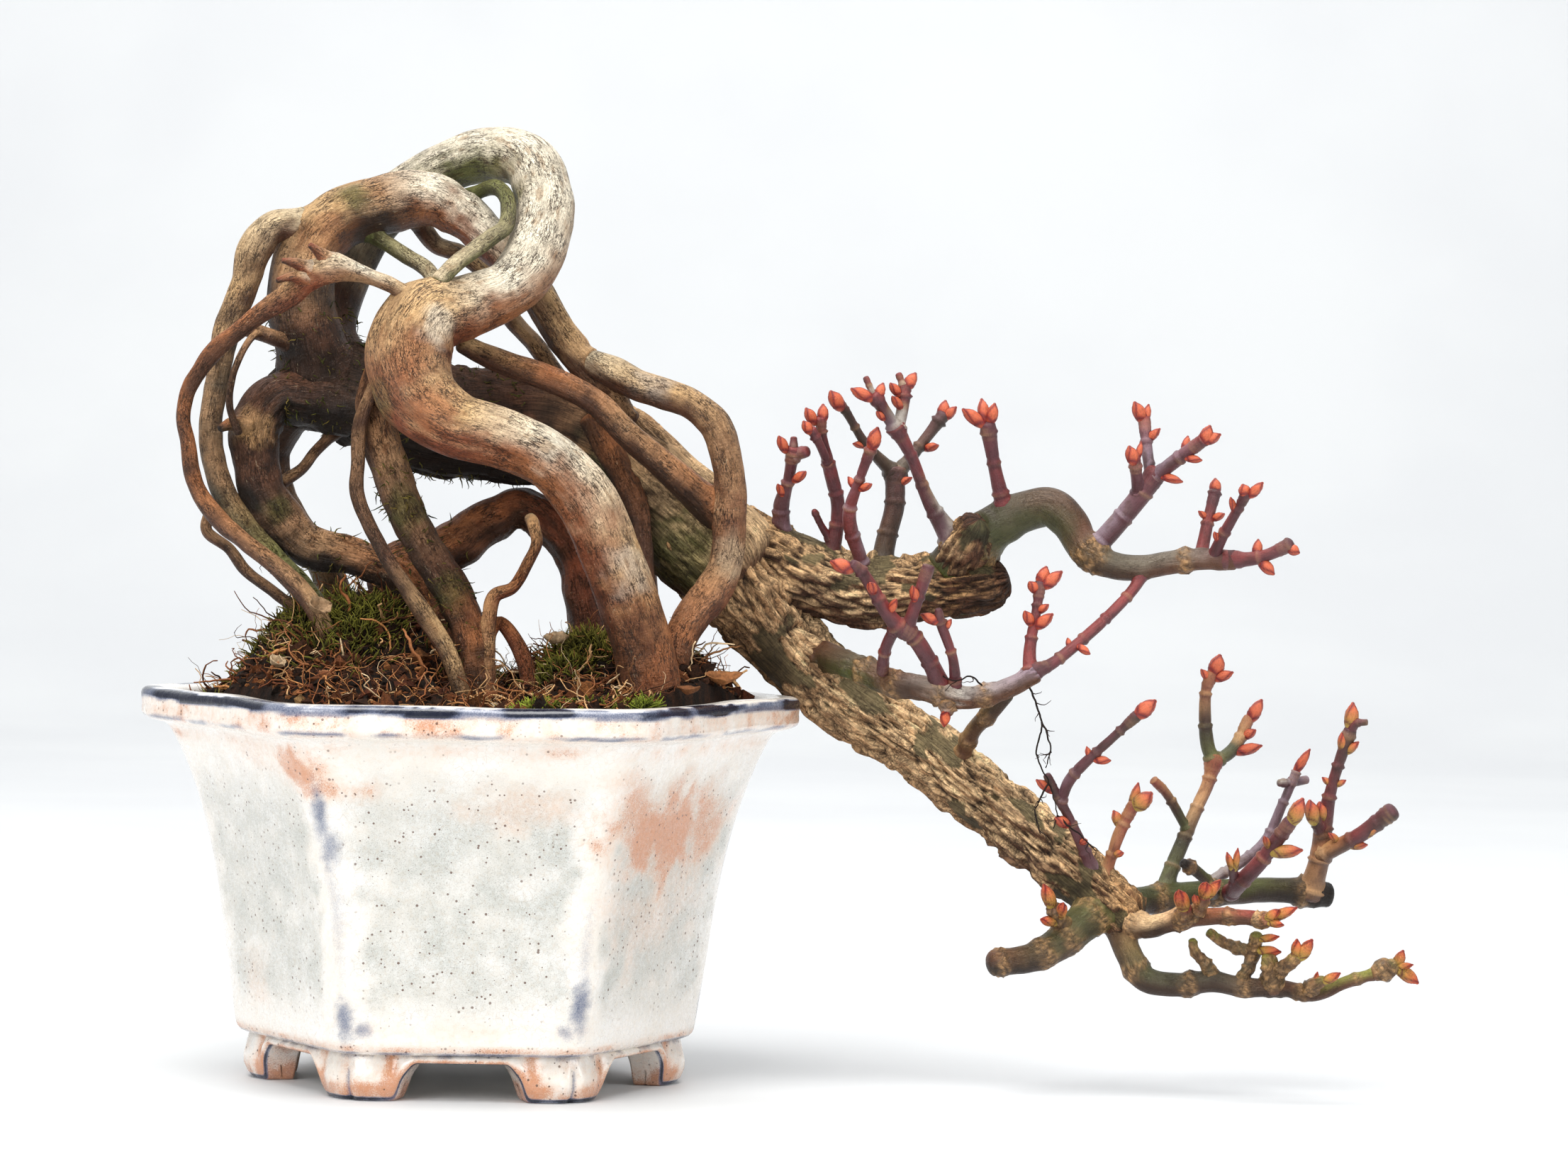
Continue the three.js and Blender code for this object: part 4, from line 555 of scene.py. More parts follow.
ROOTLET_SHADES = ("#6a3a1e", "#8a5430", "#ac7646", "#c79c6c", "#44240f", "#96603a", "#d9bc94")
ROOTLET_ODDS = (0.16, 0.16, 0.17, 0.16, 0.17, 0.08, 0.1)


def paint(name):
    """The linear colour of a palette name or a hex code."""
    code = PALETTE.get(name, name).lstrip("#")
    shares = np.array([int(code[i:i + 2], 16) / 255 for i in (0, 2, 4)])
    return np.where(shares <= 0.04045, shares / 12.92, ((shares + 0.055) / 1.055) ** 2.4)


# ---- Noise -------------------------------------------------------------------------------------

def hashed(cells, seed):
    """Thirty-two scrambled bits for each whole-number cell."""
    x, y, z = (cells[..., axis].astype(np.uint32) for axis in range(3))
    bits = x * np.uint32(0x9E3779B1) ^ y * np.uint32(0x85EBCA6B) ^ z * np.uint32(0xC2B2AE35)
    bits = bits ^ np.uint32((seed * 0x27D4EB2F + 0x165667B1) & 0xFFFFFFFF)
    bits = (bits ^ (bits >> np.uint32(15))) * np.uint32(0x2C1B3C6D)
    bits = (bits ^ (bits >> np.uint32(12))) * np.uint32(0x297A2D39)
    return bits ^ (bits >> np.uint32(15))


def swirl(points, seed=0):
    """Smooth noise between about -1 and 1."""
    floor = np.floor(points)
    part = points - floor
    cell = floor.astype(np.int64)
    fade = part ** 3 * (part * (part * 6 - 15) + 10)
    total = np.zeros(points.shape[:-1])
    for corner in np.ndindex(2, 2, 2):
        offset = np.array(corner)
        bits = hashed(cell + offset, seed)
        away = part - offset
        slope = ((bits & 255) / 127.5 - 1) * away[..., 0]
        slope = slope + ((bits >> 8 & 255) / 127.5 - 1) * away[..., 1]
        slope = slope + ((bits >> 16 & 255) / 127.5 - 1) * away[..., 2]
        total += slope * np.prod(np.where(offset == 1, fade, 1 - fade), axis=-1)
    return total * 1.7


def rough(points, seed=0, octaves=3):
    """Swirls in halving sizes."""
    total = np.zeros(points.shape[:-1])
    for octave in range(octaves):
        total += swirl(points * 2 ** octave, seed + 17 * octave) / 2 ** octave
    return total


def plates(points, seed=0):
    """How far each point is from the crack round its plate, and a random tone for the plate."""
    cell = np.floor(points).astype(np.int64)
    nearest = np.full(points.shape[:-1], 9.0)
    second = np.full(points.shape[:-1], 9.0)
    tone = np.zeros(points.shape[:-1])
    for step in np.ndindex(3, 3, 3):
        around = cell + np.array(step) - 1
        bits = hashed(around, seed)
        spots = np.stack([bits & 1023, bits >> 10 & 1023, bits >> 20 & 1023], axis=-1) / 1023
        gap = np.linalg.norm(points - around - spots, axis=-1)
        closer = gap < nearest
        second = np.where(closer, nearest, np.minimum(second, gap))
        tone = np.where(closer, (bits >> 5 & 1023) / 1023, tone)
        nearest = np.where(closer, gap, nearest)
    return second - nearest, tone


def ease(low, high, value):
    """0 below low, 1 above high, and a smooth step between."""
    share = np.clip((value - low) / (high - low), 0, 1)
    return share * share * (3 - 2 * share)


def mix(a, b, share):
    return a + (b - a) * share


# ---- Meshes ------------------------------------------------------------------------------------

class Stock:
    """Gathers rings and faces of one piece: places, colours and the values its finish reads."""

    def __init__(self):
        self.places = []
        self.values = {}
        self.quads = []
        self.caps = []
        self.uvs = []
        self.count = 0

    def add_grid(self, grid, values, strip, closed_ends=True):
        """A closed grid of rings; strip is its own place, left and width, on the baked sheet."""
        rings, around = grid.shape[:2]
        index = self.count + np.arange(rings * around).reshape(rings, around)
        turned = np.roll(index, -1, axis=1)
        quads = np.stack([index[:-1], turned[:-1], turned[1:], index[1:]], axis=-1).reshape(-1, 4)
        left, width = strip
        across = left + width * np.arange(around + 1) / around
        up = np.linspace(0.005, 0.995, rings)
        low = np.stack(np.broadcast_arrays(across[None, :-1], up[:-1, None]), axis=-1)
        low_next = np.stack(np.broadcast_arrays(across[None, 1:], up[:-1, None]), axis=-1)
        high_next = np.stack(np.broadcast_arrays(across[None, 1:], up[1:, None]), axis=-1)
        high = np.stack(np.broadcast_arrays(across[None, :-1], up[1:, None]), axis=-1)
        self.uvs.append(np.stack([low, low_next, high_next, high], axis=2).reshape(-1, 2))
        self.places.append(grid.reshape(-1, 3))
        self.quads.append(quads)
        if closed_ends:
            self.caps.append((index[0][::-1], across[0], up[0]))
            self.caps.append((index[-1], across[0], up[-1]))
        for name, value in values.items():
            self.values.setdefault(name, []).append(value.reshape(rings * around, -1))
        self.count += rings * around

    def build(self, name):
        """The mesh object, in metres in the model's frame."""
        places = np.concatenate(self.places) * MM + POT_AXIS
        quads = np.concatenate(self.quads)
        cap_size = sum(len(ring) for ring, _, _ in self.caps)
        mesh = bpy.data.meshes.new(name)
        mesh.vertices.add(len(places))
        mesh.vertices.foreach_set("co", places.astype(np.float32).ravel())
        mesh.loops.add(len(quads) * 4 + cap_size)
        corners = np.concatenate([quads.ravel()] + [ring for ring, _, _ in self.caps])
        mesh.loops.foreach_set("vertex_index", corners.astype(np.int32))
        mesh.polygons.add(len(quads) + len(self.caps))
        starts = np.arange(len(quads)) * 4
        cap_starts = len(quads) * 4 + np.cumsum([0] + [len(ring) for ring, _, _ in self.caps])[:-1]
        mesh.polygons.foreach_set("loop_start", np.concatenate([starts, cap_starts]).astype(np.int32))
        mesh.update(calc_edges=True)
        sheet = [np.concatenate(self.uvs)]
        sheet += [np.tile([[left, up]], (len(ring), 1)) for ring, left, up in self.caps]
        bake_map = mesh.uv_layers.new(name="OFBake")
        bake_map.data.foreach_set("uv", np.concatenate(sheet).astype(np.float32).ravel())
        for key, value in self.values.items():
            add_values(mesh, key, np.concatenate(value))
        mesh.polygons.foreach_set("use_smooth", np.ones(len(mesh.polygons), dtype=bool))
        mesh.validate()
        piece = bpy.data.objects.new(name, mesh)
        bpy.context.scene.collection.objects.link(piece)
        return piece


def add_values(mesh, key, value):
    """Stores one value, a vector or a colour on every vertex."""
    if value.shape[1] == 1:
        layer = mesh.attributes.new(key, "FLOAT", "POINT")
        layer.data.foreach_set("value", value.astype(np.float32).ravel())
        return
    if key == "grain":
        layer = mesh.attributes.new(key, "FLOAT_VECTOR", "POINT")
        layer.data.foreach_set("vector", value.astype(np.float32).ravel())
        return
    layer = mesh.attributes.new(key, "FLOAT_COLOR", "POINT")
    colours = np.concatenate([value, np.ones((len(value), 1))], axis=1)
    layer.data.foreach_set("color", colours.astype(np.float32).ravel())


def plain_mesh(name, places, faces, values, smooth=True):
    """A mesh object from millimetre places, lists of faces and values on the vertices."""
    mesh = bpy.data.meshes.new(name)
    mesh.from_pydata((np.asarray(places) * MM + POT_AXIS).tolist(), [], faces)
    for key, value in values.items():
        add_values(mesh, key, np.asarray(value, float).reshape(len(places), -1))
    mesh.polygons.foreach_set("use_smooth", np.full(len(mesh.polygons), smooth))
    mesh.validate()
    piece = bpy.data.objects.new(name, mesh)
    bpy.context.scene.collection.objects.link(piece)
    return piece


def settle(piece, slot, material, *nodes):
    """Rides a finished piece on the model, with its finish and the nodes it stands for."""
    piece.data.materials.clear()
    piece.data.materials.append(material)
    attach(piece, "root")
    if nodes:
        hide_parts(*nodes)
    return piece


# ---- Limbs -------------------------------------------------------------------------------------

def smooth_path(points, step):
    """Evenly spaced samples x, y, z, radius of the smooth curve through the points."""
    points = np.array(points, float)
    ends = np.vstack([2 * points[0] - points[1], points, 2 * points[-1] - points[-2]])
    dense = []
    for p0, p1, p2, p3 in zip(ends, ends[1:], ends[2:], ends[3:]):
        knots = np.cumsum([0] + [max(np.linalg.norm((b - a)[:3]) ** 0.5, 1e-3)
                                 for a, b in ((p0, p1), (p1, p2), (p2, p3))])
        t0, t1, t2, t3 = knots
        t = np.linspace(t1, t2, 14, endpoint=False)[:, None]
        a1 = ((t1 - t) * p0 + (t - t0) * p1) / (t1 - t0)
        a2 = ((t2 - t) * p1 + (t - t1) * p2) / (t2 - t1)
        a3 = ((t3 - t) * p2 + (t - t2) * p3) / (t3 - t2)
        b1 = ((t2 - t) * a1 + (t - t0) * a2) / (t2 - t0)
        b2 = ((t3 - t) * a2 + (t - t1) * a3) / (t3 - t1)
        dense.append(((t2 - t) * b1 + (t - t1) * b2) / (t2 - t1))
    dense = np.vstack(dense + [points[-1:]])
    run = np.concatenate([[0], np.cumsum(np.linalg.norm(np.diff(dense[:, :3], axis=0), axis=1))])
    count = max(4, int(round(run[-1] / step)) + 1)
    even = np.linspace(0, run[-1], count)
    return np.stack([np.interp(even, run, dense[:, axis]) for axis in range(4)], axis=1), even


def side_frames(centres):
    """Two directions across the path at each sample, carried along without twisting."""
    tangents = np.gradient(centres, axis=0)
    tangents /= np.linalg.norm(tangents, axis=1)[:, None]
    side = np.cross(tangents[0], [0.0, 0.0, 1.0])
    if np.linalg.norm(side) < 0.2:
        side = np.cross(tangents[0], [0.0, 1.0, 0.0])
    sides = []
    for tangent in tangents:
        side = side - tangent * np.dot(side, tangent)
        side = side / np.linalg.norm(side)
        sides.append(side)
    sides = np.array(sides)
    return tangents, sides, np.cross(tangents, sides)


class Stem:
    """One tapered sweep with rounded ends, held as a grid of rings so that it can be worked on."""

    def __init__(self, points, step, blunt=0.5):
        path, run = smooth_path(points, step)
        self.centres, radii = path[:, :3], np.maximum(path[:, 3], 0.15)
        self.radii = radii
        self.length = run[-1]
        tangents, sides, ups = side_frames(self.centres)
        around = int(np.clip(round(2 * math.pi * radii.max() / step), 10, 128))
        turns = np.linspace(0, 2 * math.pi, around, endpoint=False)
        rings = [(0, -math.sin(a) * blunt, math.cos(a)) for a in (1.5, 1.1, 0.75, 0.4)]
        rings += [(i, 0.0, 1.0) for i in range(len(radii))]
        rings += [(len(radii) - 1, math.sin(a) * blunt, math.cos(a)) for a in (0.4, 0.75, 1.1, 1.5)]
        index = np.array([ring[0] for ring in rings])
        push = np.array([ring[1] for ring in rings]) * radii[index]
        size = np.array([ring[2] for ring in rings])
        middle = self.centres[index] + tangents[index] * push[:, None]
        out = (np.cos(turns)[None, :, None] * sides[index][:, None]
               + np.sin(turns)[None, :, None] * ups[index][:, None])
        self.reach = np.broadcast_to((radii[index] * size)[:, None], out.shape[:2]).copy()
        self.middle, self.tangents = middle, tangents[index]
        self.out = out
        self.run = np.broadcast_to((run[index] + push)[:, None], out.shape[:2])
        self.along = self.run / self.length
        self.turn = np.broadcast_to(turns[None, :], out.shape[:2])
        local = radii[index][:, None]
        self.local = np.broadcast_to(local, out.shape[:2])
        self.grain = np.stack([local * np.cos(self.turn), local * np.sin(self.turn), self.run], axis=-1)
        self.size = np.broadcast_to(size[:, None], out.shape[:2])

    def grid(self):
        return self.middle[:, None] + self.out * self.reach[..., None]

    def normals(self):
        """Outward directions of the worked surface."""
        grid = self.grid()
        along = np.gradient(grid, axis=0)
        about = np.roll(grid, -1, axis=1) - np.roll(grid, 1, axis=1)
        normal = np.cross(about, along)
        normal /= np.maximum(np.linalg.norm(normal, axis=-1), 1e-9)[..., None]
        return normal


def spread_of(other_centres, other_radii, grid, chunk=6000):
    """Signed distance from each place to the surface of the other limbs, and their radius there."""
    flat = grid.reshape(-1, 3)
    distance = np.empty(len(flat))
    radius = np.empty(len(flat))
    for start in range(0, len(flat), chunk):
        block = flat[start:start + chunk]
        gap = np.linalg.norm(block[:, None] - other_centres[None], axis=2) - other_radii[None]
        best = gap.argmin(axis=1)
        distance[start:start + chunk] = gap[np.arange(len(block)), best]
        radius[start:start + chunk] = other_radii[best]
    return distance.reshape(grid.shape[:-1]), radius.reshape(grid.shape[:-1])


def flare_into(stem, others):
    """Swells a stem smoothly where it grows into its neighbours."""
    grid = stem.grid()
    low, high = grid.min(axis=(0, 1)) - 4, grid.max(axis=(0, 1)) + 4
    centres = np.concatenate([other.centres[::2] for other in others])
    radii = np.concatenate([other.radii[::2] for other in others])
    near = np.all((centres + radii[:, None] > low) & (centres - radii[:, None] < high), axis=1)
    if not near.any():
        return
    gap, radius = spread_of(centres[near], radii[near], grid)
    width = np.clip(0.75 * np.minimum(stem.local, radius), 0.5, 3.6)
    share = np.clip(1 - np.abs(gap) / width, 0, 1)
    stem.reach += stem.size * width / 3.4 * share ** 2


# ---- Bark --------------------------------------------------------------------------------------

# How each limb looks. stops: share of the length, colour on top, colour underneath.
# cork is how corky the bark is, fibre the height of the long flutes, knots the lumps in it.
# spots: x, y, z, reach, colour, strength of a patch; lumps: x, y, z, reach, height.
# Top and underneath colours follow which way the surface faces: painted light above, painted shade beneath.
LOOKS = {
    # Its first half runs to bistre and soot: dark moss, and painted shade where the roots cover it.
    "trunk": {
        "stops": [(0, "bistre", "soot"), (0.3, "bistre", "soot"), (0.5, "umber", "soot"),
                  (0.68, "tan", "bistre"), (0.85, "gold", "bistre"), (1, "gold", "umber")],
        "cork": 0.55, "fibre": 0.5, "knots": 0.9,
        "spots": [(20, 0, 135, 12, "olive", 0.8), (48, -4, 120, 12, "algae", 0.7),
                  (30, 8, 155, 8, "gold", 0.7)],
    },
    "great_root": {
        "stops": [(0, "rust", "umber"), (0.08, "copper", "umber"), (0.16, "sand", "rust"),
                  (0.26, "cream", "copper"), (0.33, "sand", "rust"), (0.4, "tan", "rust"),
                  (0.46, "sand", "rust"), (0.52, "cream", "copper"), (0.6, "cream", "tan"),
                  (0.72, "cream", "algae"), (0.8, "cream", "moss"), (0.87, "bone", "slate"),
                  (0.93, "umber", "soot"), (1, "bistre", "soot")],
        "fibre": 0.3, "knots": 0.5, "flecks": 0.8,
        "spots": [(6, 6, 198, 9, "algae", 0.9), (8, -4, 186, 6, "algae", 0.8),
                  (-18, -28, 155, 7, "algae", 0.6), (18, -38, 143, 3, "cream", 0.9),
                  (36, -34, 118, 7, "cream", 0.45), (-8, -36, 152, 7, "copper", 0.6),
                  (-6, -32, 172, 6, "cream", 0.6), (-14, -34, 164, 6, "copper", 0.5)],
        "lumps": [(-19, -30, 152, 6, 0.8), (-6, -36, 161, 5, 0.5), (20, -39, 144, 3, 0.5)],
    },
    "arch_root": {
        "stops": [(0, "bistre", "soot"), (0.14, "umber", "soot"), (0.24, "tan", "soot"),
                  (0.33, "sand", "bistre"), (0.42, "tan", "bistre"), (0.5, "cream", "copper"),
                  (0.62, "cream", "rust"), (0.75, "sand", "umber"), (1, "tan", "umber")],
        "fibre": 0.3, "knots": 0.7, "flecks": 0.6,
        "spots": [(-30, 0, 201, 5, "moss", 0.7), (-34, -2, 190, 8, "copper", 0.5)],
        "lumps": [(-39, -1, 196, 4, 1.0), (-30, 0, 202, 3, 0.7), (-36, -3, 184, 5, 0.6)],
    },
    "ring_root": {
        "stops": [(0, "bistre", "soot"), (0.15, "umber", "soot"), (0.4, "umber", "soot"),
                  (0.6, "tan", "soot"), (0.8, "copper", "bistre"), (1, "umber", "soot")],
        "fibre": 0.25, "knots": 1.0, "flecks": 1.0, "cork": 0.25,
        "spots": [(-50, -9, 148, 6, "honey", 0.6), (-44, -10, 128, 4, "moss", 0.5)],
        "lumps": [(-52, -8, 148, 4, 0.8), (-46, -9, 140, 3, 0.6)],
    },
    "back_arch": {
        "stops": [(0, "umber", "bistre"), (0.4, "copper", "umber"), (0.6, "rust", "umber"),
                  (1, "rust", "bistre")],
        "fibre": 0.3, "knots": 1.0, "flecks": 0.9, "cork": 0.2,
    },
    "back_root_right": {"stops": [(0, "umber", "bistre"), (0.5, "copper", "umber"), (1, "umber", "bistre")]},
    "back_root_left": {"stops": [(0, "umber", "bistre"), (0.4, "tan", "umber"), (1, "umber", "moss")]},
    "second_root": {
        "stops": [(0, "copper", "bistre"), (0.3, "tan", "umber"), (0.6, "umber", "bistre"),
                  (0.8, "copper", "bistre"), (1, "umber", "bistre")],
        "fibre": 0.25, "knots": 1.1, "flecks": 1.0,
        "spots": [(-14, -24, 130, 6, "moss", 0.6), (-3, -26, 112, 5, "moss", 0.5)],
    },
    "left_root": {
        "stops": [(0, "bone", "umber"), (0.2, "sand", "umber"), (0.4, "tan", "slate"),
                  (0.6, "tan", "slate"), (0.78, "algae", "moss"), (1, "olive", "moss")],
        "fibre": 0.2, "knots": 0.6, "flecks": 0.4,
    },
    "outer_root": {
        "stops": [(0, "sand", "umber"), (0.08, "cream", "tan"), (0.16, "sand", "rust"),
                  (0.28, "copper", "umber"), (0.6, "copper", "umber"), (0.85, "tan", "umber"),
                  (1, "sand", "umber")],
        "fibre": 0.2, "knots": 0.6, "flecks": 0.4,
    },
    "right_arch": {
        "stops": [(0, "bone", "umber"), (0.15, "sand", "umber"), (0.35, "tan", "umber"),
                  (0.6, "tan", "rust"), (0.8, "copper", "umber"), (1, "copper", "umber")],
        "fibre": 0.2, "knots": 0.5, "flecks": 0.5,
        "spots": [(40, -7, 160, 6, "ash", 0.5), (60, -9, 120, 6, "bone", 0.5)],
    },
    "diagonal_root": {
        "stops": [(0, "sand", "umber"), (0.3, "copper", "umber"), (0.6, "tan", "umber"),
                  (1, "copper", "bistre")],
        "fibre": 0.2, "knots": 0.5, "flecks": 0.3,
    },
    "inner_root": {"stops": [(0, "copper", "bistre"), (0.5, "umber", "soot"), (1, "copper", "bistre")]},
    "thin_front_root": {
        "stops": [(0, "tan", "umber"), (0.5, "umber", "bistre"), (0.8, "sand", "umber"),
                  (1, "umber", "soot")],
        "flecks": 0.6,
    },
    "curl_root": {
        "stops": [(0, "sand", "copper"), (0.4, "copper", "rust"), (0.7, "sand", "rust"),
                  (1, "rust", "umber")],
    },
    "low_fork_root": {"stops": [(0, "copper", "rust"), (1, "rust", "umber")]},
    "loop_curl": {"stops": [(0, "algae", "moss"), (0.4, "algae", "olive"), (1, "bone", "algae")]},
    "loop_twig": {"stops": [(0, "algae", "moss"), (1, "bone", "umber")]},
    "back_twig": {"stops": [(0, "bone", "umber"), (0.4, "sand", "umber"), (1, "tan", "umber")]},
    "lowest_left_root": {"stops": [(0, "tan", "umber"), (1, "umber", "soot")]},
    "forked_twig": {"stops": [(0, "umber", "bistre"), (1, "tan", "umber")]},
    "cross_root": {"stops": [(0, "tan", "umber"), (1, "umber", "bistre")]},
    "cascade": {
        "stops": [(0, "honey", "tan"), (0.25, "gold", "tan"), (0.6, "gold", "tan"),
                  (0.8, "gold", "umber"), (1, "honey", "umber")],
        "cork": 1.0, "fibre": 0.4, "knots": 0.8, "smooth_patch": "olive",
    },
    "upper_branch": {
        "stops": [(0, "honey", "bistre"), (0.5, "gold", "umber"), (0.85, "honey", "umber"),
                  (1, "umber", "bistre")],
        "cork": 0.95, "fibre": 0.4, "knots": 0.8, "smooth_patch": "olive",
        "lumps": [(112, 6, 123, 5, 1.6), (119, 8, 113, 5, 1.2)],
    },
    "arching_branch": {
        "stops": [(0, "slate", "moss"), (0.25, "slate", "olive"), (0.5, "umber", "olive"),
                  (0.62, "slate", "bistre"), (0.85, "grey", "umber"), (1, "plum", "umber")],
        "fibre": 0.12, "knots": 0.4, "collars": [(0.12, 1.2), (0.56, 1.0), (0.60, 0.8), (0.86, 0.9)],
    },
    "brace_branch": {
        "stops": [(0, "honey", "umber"), (1, "olive", "bistre")],
        "collars": [(0.3, 0.5), (0.7, 0.5)],
    },
    "side_branch": {
        "stops": [(0, "umber", "bistre"), (0.25, "slate", "moss"), (0.45, "umber", "bistre"),
                  (0.7, "ash", "umber"), (1, "lilac", "umber")],
        "collars": [(0.3, 0.6), (0.45, 0.5), (0.62, 0.9), (0.8, 0.5)], "cork": 0.5,
    },
    "stub_branch": {
        "stops": [(0, "algae", "moss"), (0.5, "olive", "bistre"), (1, "umber", "soot")],
        "collars": [(0.2, 0.6), (0.45, 0.5), (0.65, 0.4), (0.95, 0.8)],
    },
    "olive_limb": {
        "stops": [(0, "olive", "bistre"), (0.6, "moss", "bistre"), (0.9, "bistre", "soot"),
                  (1, "soot", "soot")],
        "collars": [(0.25, 0.6), (0.5, 0.4), (0.88, 0.7)],
    },
    "front_limb": {
        "stops": [(0, "tan", "umber"), (0.35, "gold", "bistre"), (0.6, "copper", "umber"),
                  (1, "maroon", "umber")],
        "collars": [(0.2, 0.6), (0.5, 0.7), (0.8, 0.5)], "cork": 0.3,
    },
    "drooping_branch": {
        "stops": [(0, "honey", "umber"), (0.2, "olive", "bistre"), (0.45, "slate", "bistre"),
                  (0.7, "umber", "bistre"), (0.85, "lichen", "umber"), (1, "lichen", "umber")],
        "collars": [(0.2, 0.5), (0.38, 0.8), (0.55, 0.5), (0.72, 0.5), (0.9, 0.4)],
    },
    "upper_shoot_1": {"stops": [(0, "lilac", "plum"), (1, "maroon", "plum")]},
    "upper_shoot_2": {"stops": [(0, "umber", "plum"), (0.3, "maroon", "plum"), (1, "maroon", "plum")]},
    "upper_shoot_3": {"stops": [(0, "lilac", "plum"), (0.5, "lilac", "maroon"), (1, "maroon", "plum")]},
    "upper_shoot_4": {"stops": [(0, "slate", "bistre"), (0.45, "umber", "bistre"), (1, "plum", "bistre")]},
    "upper_shoot_5": {
        "stops": [(0, "ash", "lilac"), (0.45, "ash", "plum"), (0.6, "tan", "plum"), (0.7, "maroon", "plum"),
                  (1, "maroon", "plum")],
    },
    "arching_shoot_2": {"stops": [(0, "lilac", "plum"), (0.4, "lilac", "plum"), (1, "maroon", "plum")]},
    "low_shoot_1": {"stops": [(0, "lilac", "plum"), (0.4, "plum", "plum"), (1, "plum", "bistre")]},
    "low_shoot_2": {"stops": [(0, "sand", "copper"), (1, "copper", "maroon")]},
    "low_shoot_3": {
        "stops": [(0, "algae", "moss"), (0.4, "olive", "bistre"), (0.6, "honey", "umber"),
                  (1, "copper", "maroon")],
    },
    "low_shoot_4": {"stops": [(0, "ash", "plum"), (0.5, "lilac", "plum"), (1, "lilac", "plum")]},
    "low_shoot_6": {
        "stops": [(0, "honey", "umber"), (0.35, "copper", "umber"), (0.5, "maroon", "plum"),
                  (1, "plum", "bistre")],
    },
}
ROOT_LOOK = {"stops": [(0, "tan", "umber"), (1, "umber", "bistre")],
             "fibre": 0.2, "knots": 0.6, "flecks": 0.6}
CLAW_LOOK = {"stops": [(0, "cream", "copper"), (0.45, "tan", "rust"), (1, "rust", "bistre")], "knots": 1.2}
BRANCH_LOOK = {"stops": [(0, "slate", "bistre"), (1, "umber", "bistre")], "fibre": 0.12, "knots": 0.4}
SHOOT_LOOK = {"stops": [(0, "maroon", "plum"), (0.6, "maroon", "plum"), (1, "plum", "plum")],
              "fibre": 0.06, "knots": 0.3, "nodes": 0.4, "flecks": 0.8}


def stop_colour(stops, along, side):
    """The colour between the stops at each share of the length, side 1 for top and 2 for underneath."""
    shares = [stop[0] for stop in stops]
    colours = np.array([paint(stop[side]) for stop in stops])
    return np.stack([np.interp(along, shares, colours[:, channel]) for channel in range(3)], axis=-1)


def cork_plates(stem, look, seed):
    """Height of the corky bark at each place, and how much of it covers the wood."""
    grain = stem.grain
    warp = np.stack([rough(grain / [5, 5, 16], seed + 31 * axis, 2) for axis in (1, 2, 3)], axis=-1)
    edge, tone = plates((grain + 1.1 * warp) * [0.5, 0.5, 0.06] + seed, seed + 9)
    fine_edge, _ = plates((grain + 0.5 * warp) * [1.4, 1.4, 0.13] + seed, seed + 12)
    height = ease(0.0, 0.3, edge) * (0.55 + 0.5 * tone) + 0.3 * ease(0.0, 0.3, fine_edge)
    bare = ease(0.2, 0.27, rough(grain * [1, 1, 0.6] / 8, seed + 3, 3) - 0.03 + 0.35 * (1 - look["cork"]))
    return height, look["cork"] * (1 - bare)


def bark_collars(stem, collars, seed):
    """Cracked swellings round a branch: how proud they stand, and where they are."""
    grain, local = stem.grain, stem.local
    push = np.zeros(local.shape)
    collar = np.zeros(local.shape)
    for share, height in collars:
        waver = rough(grain / 2.5, seed + 77, 2) * 0.9
        band = np.exp(-((stem.run - share * stem.length + waver) / (0.35 * local + 0.5)) ** 2)
        push = push + height * band * (0.75 + 0.6 * rough(grain * [1, 1, 2.2] / 1.3, seed + 7, 2))
        collar = np.maximum(collar, band)
    return push, collar


def leaf_scars(stem, height):
    """Rings round a shoot where its leaves were, crowded at its tip: how proud, and where."""
    phase = (stem.run + SCAR_START) % SCAR_PITCH - SCAR_PITCH / 2
    ring = np.exp(-(phase / 0.32) ** 2)
    push = height * ring - 0.12 * np.exp(-((phase - 0.8) / 0.35) ** 2)
    for back in TIP_SCARS:
        close = np.exp(-((stem.run - stem.length + back) / 0.25) ** 2)
        ring = np.maximum(ring, close)
        push = push + 0.25 * close
    return push, ring


def dress(stem, look, seed):
    """Works the bark of one stem: its relief, its colours and the values that the finish reads."""
    grain, local = stem.grain, stem.local
    wide = np.clip(local / 4, 0.25, 1.2)
    # Knots and long flutes in the wood under the bark.
    lumps = rough(grain / (2.2 * local[..., None] ** 0.6 + 2.2), seed, 2)
    flutes = rough(grain * ALONG_GRAIN / (0.55 * local[..., None] + 0.3), seed + 5, 2)
    push = look.get("knots", 0.6) * 0.45 * wide * lumps + look.get("fibre", 0.2) * wide * flutes
    relief = np.clip(0.5 + 0.5 * flutes, 0, 1)
    cork = np.zeros(local.shape)
    if look.get("cork", 0) > 0:
        height, cork = cork_plates(stem, look, seed)
        push = push + cork * (1.5 * height - 0.8) * np.clip(wide, 0.4, 1.1)
        relief = mix(relief, np.clip(height, 0, 1), cork)
    collar_push, collar = bark_collars(stem, look.get("collars", []), seed)
    push = push + collar_push
    ring = np.zeros(local.shape)
    if look.get("nodes"):
        ring_push, ring = leaf_scars(stem, look["nodes"])
        push = push + ring_push
    stem.reach = stem.reach + stem.size * push * np.clip(local / 1.2, 0.4, 1)
    grid = stem.grid()
    for x, y, z, reach, height in look.get("lumps", []):
        close = np.exp(-np.sum((grid - [x, y, z]) ** 2, axis=-1) / (0.5 * reach ** 2))
        stem.reach = stem.reach + stem.size * height * close
    tint = bark_tint(stem, grid, look, seed, relief, cork, collar, ring)
    return {"grain": grain, "tint": tint, "relief": relief, "cork": np.clip(cork + collar, 0, 1)}


